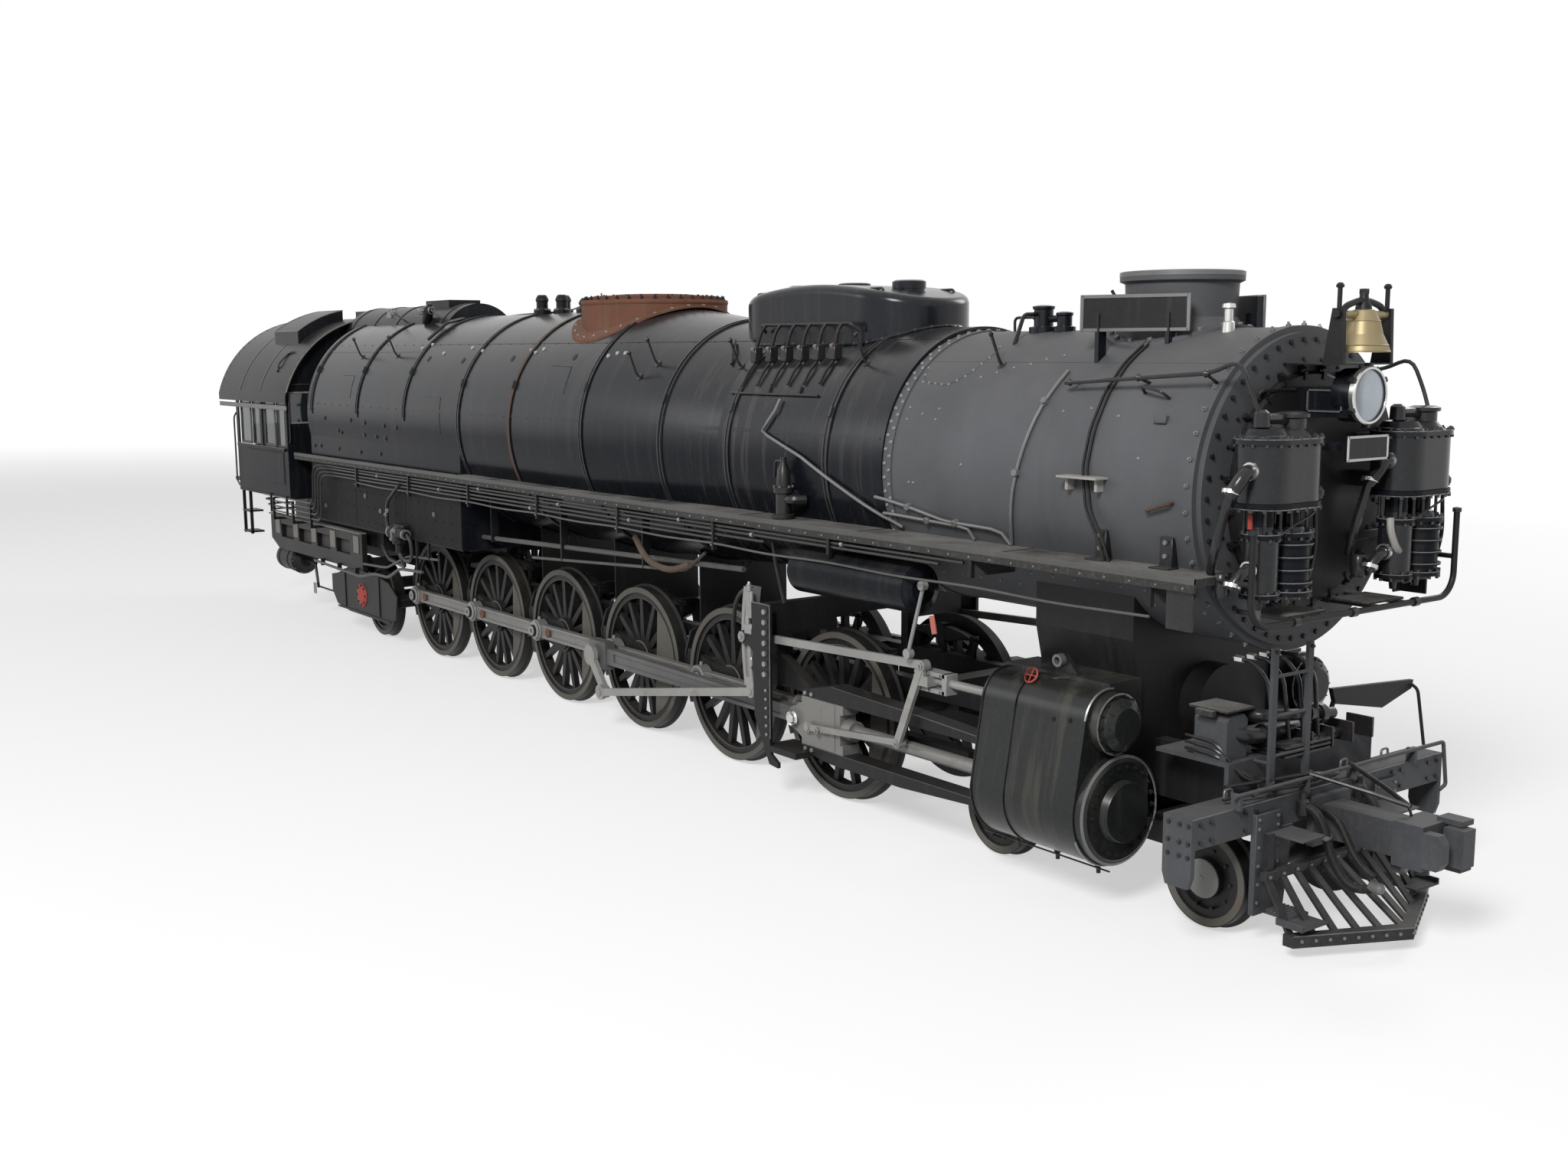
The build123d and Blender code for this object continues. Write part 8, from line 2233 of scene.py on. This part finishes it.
        steps += [slab(x, x + 0.035, -1.45, -1.40, 1.28, 2.22) for x in (-8.52, -8.175)]
        self.add("cab_steps", Shape.join(*steps).both(), CHASSIS, ease=0.004)

    def _inside(self) -> None:
        """Fit the backhead, its gauges, levers and the two seats."""
        x = -6.353
        plate = lathe([(x - 0.020, 0.0), (x - 0.020, 1.00), (x + 0.004, 1.02)], (0, 0, 3.45), "x", 48)
        door = Shape.join(lathe([(x - 0.05, 0.0), (x - 0.05, 0.24), (x - 0.02, 0.26), (x, 0.26)],
                                (0, 0, 2.85), "x", 28),
                          slab(x - 0.07, x - 0.045, -0.02, 0.02, 2.62, 3.08))
        self.add("backhead", Shape.join(plate, door), CHASSIS)
        gauges = ((0, -0.62, 3.98), (0, -0.38, 4.12), (0, 0.42, 4.10), (0, 0.66, 3.92))
        for name, profile, finish in (("gauge_cases",
                                       [(x - 0.10, 0.0), (x - 0.10, 0.085), (x - 0.04, 0.10), (x, 0.06)],
                                       DARK_GLOSS),
                                      ("gauge_faces",
                                       [(x - 0.104, 0.0), (x - 0.104, 0.074), (x - 0.098, 0.078)], WHITE)):
            self.add(name, Shape.join(*[lathe(profile, place, "x", 24) for place in gauges]), finish)
        levers = [tube([(x, -0.72, 3.60), (x - 0.18, -0.78, 3.60), (x - 0.42, -1.02, 3.52)], 0.020, 0.08, 8),
                  tube([(x - 0.05, -1.12, 2.30), (x - 0.10, -1.12, 3.30)], 0.022, sides=8)]
        places = ((-0.45, 3.62), (-0.15, 3.75), (0.2, 3.72), (0.5, 3.6))
        valves = [tube([(x, y, z), (x - 0.16, y, z)], 0.018, sides=8) for y, z in places]
        self.add("cab_levers", Shape.join(*levers, *valves), WORN_EDGE)
        wheels = [bead(0.010, 0.045, 0.062, (x - 0.165, y, z), "x", 18) for y, z in places]
        self.add("cab_valve_wheels", Shape.join(*wheels), RED)
        seat = Shape.join(slab(-7.75, -7.35, -1.42, -1.02, 2.26, 2.72),
                          slab(-7.80, -7.75, -1.42, -1.02, 2.60, 3.20))
        self.add("cab_seats", seat.both(), CHASSIS, ease=0.02)
        cushion = Shape.join(slab(-7.74, -7.33, -1.43, -1.01, 2.72, 2.79),
                             slab(-7.75, -7.69, -1.41, -1.03, 2.85, 3.18))
        self.add("cab_cushions", cushion.both(), RUBBER, ease=0.025)


# Wheels, rods and trucks.

@dataclass
class Drivers(Assembly):
    """Tyre and weight faces, hub rings and nuts of the driving wheels, and the dressing of the rods."""

    axles: tuple[float, ...] = AXLES
    axle_z: float = AXLE_Z
    pin_shifts: tuple[tuple[int, float, float], ...] = ((-1, -0.4053, 0.8789), (1, 0.2229, 1.1948))
    tyre: tuple[float, float] = (0.758, 0.823)
    tyre_face: float = 0.825
    weight_r: float = 0.686

    def build(self) -> None:
        """Dress every driving wheel, the rods and the brakes."""
        for index, x in enumerate(self.axles):
            self._wheel(index, x)
        self._coupling_rods()
        self._brakes()

    def _wheel(self, index: int, x: float) -> None:
        """Face one axle's two tyres and weights, and put the hub rings and nuts on.

        Args:
            index: Which axle, from 0 at the front.
            x: Where it stands.
        """
        body = f"drivers_{index + 1}"
        y, inner, outer = self.tyre_face, *self.tyre
        faces, nuts = [], []
        for side, shift, pin_z in self.pin_shifts:
            ring = lathe([(y - 0.002, inner), (y - 0.002, outer), (y + 0.003, outer - 0.004),
                          (y + 0.003, inner + 0.004)], (0, 0, 0), "y", 72, ring=True)
            lip = lathe([(0.809, 0.694), (0.809, 0.702), (0.815, 0.700), (0.815, 0.696)], (0, 0, 0), "y", 64,
                        ring=True)
            hub = lathe([(0.839, 0.168), (0.839, 0.206), (0.844, 0.200), (0.844, 0.174)], (0, 0, 0), "y", 32,
                        ring=True)
            turn = math.degrees(math.atan2(pin_z - self.axle_z, shift))
            wheel = Shape.join(ring, lip, hub, self._weight(index == 2).turned(-turn, "y"))
            faces.append(wheel if side > 0 else wheel.mirrored())
            pin_end = 1.065 if index > 2 else 1.010
            cap = lathe([(pin_end - 0.002, 0.026), (pin_end - 0.002, 0.066), (pin_end + 0.010, 0.062),
                         (pin_end + 0.010, 0.030)], (shift, 0, pin_z - self.axle_z), "y", 24, ring=True)
            bolts = heads(around((0, 0.871, 0), 0.075, 6, "y"), (0, 1, 0), 0.015, 0.014)
            if index > 2:
                washer = lathe([(1.018, 0.072), (1.018, 0.112), (1.030, 0.112), (1.036, 0.100),
                                (1.036, 0.072)], (shift, 0, pin_z - self.axle_z), "y", 32, ring=True)
                cap = Shape.join(cap, washer)
            made = Shape.join(cap, bolts)
            nuts.append(made if side > 0 else made.mirrored())
        self.add(f"driver_faces_{index + 1}", Shape.join(*faces).moved(x, 0, self.axle_z), RIM, body)
        self.add(f"driver_nuts_{index + 1}", Shape.join(*nuts).moved(x, 0, self.axle_z), LIGHT_ROD, body)

    def _weight(self, main: bool) -> Shape:
        """Make a balance weight's face: the part of a disc beyond a chord, opposite a crank along +x.

        Args:
            main: Whether it is the main axle's larger one.

        Returns:
            The face, as a thin plate.
        """
        chord = 0.3185 if main else 0.4485
        half = math.acos(chord / self.weight_r)
        angle = np.linspace(math.pi - half, math.pi + half, 20)
        outline = np.stack([self.weight_r * np.cos(angle), self.weight_r * np.sin(angle)], axis=1)
        return prism(outline, "y", 0.803, 0.808)

    def _coupling_rods(self) -> None:
        """Edge the rods, ring their eyes and add the knuckle pins and oil cups."""
        for (side, shift, pin_z), body in zip(self.pin_shifts, ("coupling_right", "coupling_left")):
            edges, rings, knuckles, cups = [], [], [], []
            for index, axle in enumerate(self.axles):
                x, eye = axle + shift, 0.162 if index == 2 else 0.137
                rings.append(lathe([(1.003, eye - 0.034), (1.003, eye - 0.006), (1.010, eye - 0.010),
                                    (1.010, eye - 0.030)], (x, 0, pin_z), "y", 32, ring=True))
                cups.append(lathe([(pin_z + eye - 0.004, 0.0), (pin_z + eye - 0.004, 0.022),
                                   (pin_z + eye + 0.035, 0.020), (pin_z + eye + 0.042, 0.0)], (x, 0.945, 0),
                                  "z", 10))
                if index < 5:
                    near, far = self.axles[index + 1] + shift + 0.17, x - 0.19
                    edges += [tube([(near, 0.984, pin_z + dz), (far, 0.984, pin_z + dz)], 0.0075, sides=6)
                              for dz in (-0.076, 0.076)]
                    knuckles.append(lathe([(0.985, 0.0), (0.985, 0.060), (0.996, 0.056), (0.998, 0.030),
                                           (0.998, 0.0)],
                                          (near + 0.12 if index >= 2 else far - 0.12, 0, pin_z), "y", 20))
            for name, shapes, finish in (("rod_edges", edges, LIGHT_ROD), ("rod_rings", rings, LIGHT_ROD),
                                         ("rod_knuckles", knuckles, RUST_PIN),
                                         ("rod_cups", cups, BRIGHT_DULL)):
                made = Shape.join(*shapes)
                self.add(f"{body}_{name}", made if side > 0 else made.mirrored(), finish, body)

    def _brakes(self) -> None:
        """Hang a brake shoe behind each driving wheel from the frame."""
        angle = np.radians(np.linspace(163, 203, 9))
        shoe = sweep(np.stack([0.874 * np.cos(angle), np.full(9, 0.775), 0.874 * np.sin(angle)], axis=1),
                     strip(0.045, -0.034, 0.028),
                     np.stack([np.cos(angle), np.zeros(9), np.sin(angle)], axis=1))
        hanger = sweep(np.array([(-0.93, 0.775, 0.0), (-0.945, 0.775, 0.20), (-0.93, 0.72, 0.42),
                                 (-0.92, 0.62, 0.47)]), strip(0.03, -0.014, 0.014), (1, 0, 0.1))
        beam = slab(-0.975, -0.915, 0.0, 0.83, -0.16, -0.10)
        whole = Shape.join(shoe, hanger, beam).repeated([(x, 0, self.axle_z) for x in self.axles])
        self.add("brake_shoes", whole.both(), CHASSIS, ease=0.004)


@dataclass
class Trucks(Assembly):
    """Hub discs, bolts and springs of the leading and trailing trucks."""

    leading: tuple[tuple[float, str], ...] = ((11.94, "leading_wheels_front"), (9.70, "leading_wheels_rear"))
    leading_z: float = 0.409
    trailing: tuple[float, float] = (-4.0, 0.5995)

    def build(self) -> None:
        """Make the discs and the bolts."""
        for x, body in self.leading:
            disc = lathe([(0.838, 0.0), (0.838, 0.152), (0.850, 0.152), (0.857, 0.140), (0.857, 0.028),
                          (0.864, 0.022), (0.864, 0.0)], (x, 0, self.leading_z), "y", 36)
            self.add(body + "_discs", disc.both(), HUB_GREY, body)
            rim = lathe([(0.823, 0.312), (0.823, 0.374), (0.828, 0.370), (0.828, 0.316)],
                        (x, 0, self.leading_z), "y", 56, ring=True)
            self.add(body + "_rims", rim.both(), RIM, body)
            bolts = heads(around((x, 0.805, self.leading_z), 0.235, 10, "y"), (0, 1, 0), 0.016, 0.022)
            self.add(body + "_bolts", bolts.both(), CHASSIS, body)
        self._trailing()

    def _trailing(self) -> None:
        """Make the red journal covers, the bolts and the leaf springs of the trailing truck."""
        x, z = self.trailing
        cover = lathe([(1.130, 0.0), (1.130, 0.188), (1.146, 0.182), (1.152, 0.120), (1.160, 0.110),
                       (1.160, 0.0)], (x, 0, z + 0.08), "y", 36)
        self.add("journal_covers", cover.both(), RED, "trailing_truck")
        bolts = heads(around((x, 1.150, z + 0.08), 0.150, 8, "y"), (0, 1, 0), 0.015, 0.014)
        self.add("journal_bolts", bolts.both(), CHASSIS, "trailing_truck")
        plate = prism([(-5.25, 0.62), (-5.05, 0.42), (-4.55, 0.36), (-3.10, 0.36), (-2.72, 0.46),
                       (-2.66, 0.80), (-2.95, 0.98), (-3.45, 1.06), (-4.55, 1.06), (-5.00, 0.92),
                       (-5.25, 0.88)], "y", -1.134, -1.106)
        ribs = [slab(-5.0, -2.9, -1.150, -1.130, 0.38, 0.41), slab(-4.70, -4.66, -1.150, -1.130, 0.42, 1.02),
                slab(-3.34, -3.30, -1.150, -1.130, 0.42, 1.02)]
        self.add("trailing_frames", Shape.join(plate, *ribs).both(), CHASSIS, "trailing_truck", ease=0.006)
        ties = [slab(tx - 0.05, tx + 0.05, -1.11, 1.11, 0.62, 0.74) for tx in (-5.12, -2.84)]
        self.add("trailing_ties", Shape.join(*ties), CHASSIS, "trailing_truck", ease=0.01)
        leaves = []
        for index in range(6):
            span = np.linspace(-1, 1, 7) * (0.52 - 0.07 * index)
            rise = 1.27 - 0.022 * index - 0.08 * (span / 0.52) ** 2
            path = np.stack([x + span, np.full(7, -1.03), rise], axis=1)
            leaves.append(sweep(path, strip(0.04, -0.009, 0.009)))
        stand = [slab(x - 0.05, x + 0.05, -1.075, -0.985, 1.10, 1.29),
                 slab(x - 0.10, x + 0.10, -1.12, -0.96, 1.04, 1.11)]
        self.add("trailing_springs", Shape.join(*leaves, *stand).both(), PIPE, "trailing_truck")
        rim = lathe([(0.823, 0.498), (0.823, 0.564), (0.828, 0.560), (0.828, 0.502)], (x, 0, z), "y", 64,
                    ring=True)
        self.add("trailing_rims", rim.both(), RIM, "trailing_wheels")


@dataclass
class Underframe(Assembly):
    """Leaf springs, waist sheets, rear brake cylinders and the saddle's bolts."""

    axles: tuple[float, ...] = AXLES
    sheets: tuple[float, ...] = (0.93, 2.80, 4.67)
    leaves: int = 7
    half: float = 0.48

    def build(self) -> None:
        """Make the springs, the sheets, the brake cylinders and the saddle's bolts."""
        self._springs()
        self._sheets()
        self._rear()
        spots = [(x, -0.845, z) for x in np.arange(10.26, 11.2, 0.13) for z in (1.70, 1.80)]
        angle, x = (grid.ravel()
                    for grid in np.meshgrid((-38, -46), np.arange(9.0, 11.9, 0.24), indexing="ij"))
        low = heads(Skin.at(x, angle, 0.002), Skin.out(angle), 0.016, 0.012, Head.RIVET)
        dots = Shape.join(heads(spots, (0, -1, 0), 0.017, 0.016), low)
        self.add("saddle_bolts", dots.both(), STEEL_DOT)

    def _rear(self) -> None:
        """Hang the brake cylinders, their straps and pipes from the frames behind the trailing truck."""
        barrel = lathe([(-7.62, 0.0), (-7.60, 0.16), (-7.56, 0.215), (-6.86, 0.215), (-6.84, 0.235),
                        (-6.79, 0.235), (-6.77, 0.20), (-6.70, 0.10), (-6.70, 0.0)], (0, -1.02, 0.93), "x",
                       32)
        straps = [washer(0.022, 0.214, 0.224, (x, -1.02, 0.93), "x", 32) for x in (-7.45, -7.05)]
        arms = [slab(x - 0.025, x + 0.025, -1.02, -0.60, 1.125, 1.175) for x in (-7.45, -7.05)]
        rod = tube([(-6.72, -1.02, 0.93), (-6.30, -1.02, 0.93)], 0.028, sides=10)
        lever = sweep(np.array([(-6.30, -1.02, 1.22), (-6.29, -1.02, 0.93), (-6.24, -1.0, 0.52)]),
                      strip(0.035, -0.012, 0.012), (0, 1, 0))
        bar = slab(-6.33, -6.27, -1.03, -0.60, 1.19, 1.23)
        pull = tube([(-6.24, -0.99, 0.54), (-5.60, -0.90, 0.50)], 0.016, sides=8)
        self.add("brake_cylinders", Shape.join(barrel, *straps, *arms).both(), CHASSIS)
        self.add("brake_levers", Shape.join(rod, lever, bar, pull).both(), PIPE)
        self.add("blank_tag", slab(-6.37, -6.25, -1.040, -1.030, 0.42, 0.60), PALE, ease=0.002)
        bolts = heads(around((-6.768, -1.02, 0.93), 0.215, 10), (1, 0, 0), 0.012, 0.016)
        self.add("brake_cylinder_bolts", bolts.both(), WORN_EDGE)

    def _springs(self) -> None:
        """Pile the leaves: a leaf's height falls with the square of the distance from its middle."""
        packs = []
        for index in range(self.leaves):
            x = np.linspace(-1, 1, 7) * (self.half - 0.055 * index)
            z = 1.60 - 0.020 * index - 0.09 * (x / self.half) ** 2
            path = np.stack([x, np.full(7, 0.54), z], axis=1)
            packs.append(sweep(path, strip(0.045, -0.008, 0.008)))
        places = [(x, 0, 0) for x in self.axles]
        self.add("leaf_springs", Shape.join(*packs).repeated(places).both(), PIPE)
        fittings = [slab(-0.05, 0.05, 0.488, 0.592, 1.44, 1.63),
                    slab(-0.028, 0.028, 0.515, 0.565, 1.32, 1.45)]
        for x in (-0.45, 0.45):
            fittings += [slab(x - 0.018, x + 0.018, 0.522, 0.558, 1.31, 1.55),
                         slab(x - 0.034, x + 0.034, 0.50, 0.58, 1.525, 1.55)]
        self.add("spring_fittings", Shape.join(*fittings).repeated(places).both(), CHASSIS, ease=0.005)

    def _sheets(self) -> None:
        """Stand the sheets between the axles; each one's top follows the boiler's underside."""
        sheets, bolts = [], []
        for x in self.sheets:
            radius, middle = Skin.size(x)
            y = np.linspace(0.60, -0.60, 13)
            arc = np.stack([y, middle - np.sqrt(radius ** 2 - y ** 2) + 0.008], axis=1)
            outline = np.vstack([[(-0.60, 1.31), (0.60, 1.31)], arc])
            sheets.append(prism(outline, "x", x - 0.010, x + 0.010))
            shelf = np.array([(-0.010, -0.006), (0.075, -0.006), (0.075, 0.006), (-0.010, 0.006)])
            sheets.append(sweep(np.stack([np.full(13, x), arc[:, 0], arc[:, 1] - 0.016], axis=1), shelf))
            row = np.stack([np.full(13, x + 0.012), arc[:, 0], arc[:, 1] - 0.07], axis=1)
            bolts.append(heads(row, (1, 0, 0), 0.013, 0.012))
        self.add("waist_sheets", Shape.join(*sheets), CHASSIS)
        self.add("waist_sheet_bolts", Shape.join(*bolts), PIPE)


PARTS = (Jacket(), Smokebox(), BoilerTop(), SandGear(), Pumps(), LampAndBell(), Deck(), Guard(), Cylinders(),
         Motion(), Boards(), Cab(), Drivers(), Trucks(), Underframe())


def write_sizes() -> None:
    """Update the view layer; no sizes are written."""
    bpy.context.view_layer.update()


def main() -> None:
    """Build the studio, dress the locomotive and add its pieces."""
    logging.basicConfig(level=logging.INFO, format="%(message)s")
    bpy.context.scene.view_settings.view_transform = "Standard"
    for part in (Studio(), Dressing(), *PARTS):
        part.build()
    write_sizes()


if __name__ == "__main__":
    main()
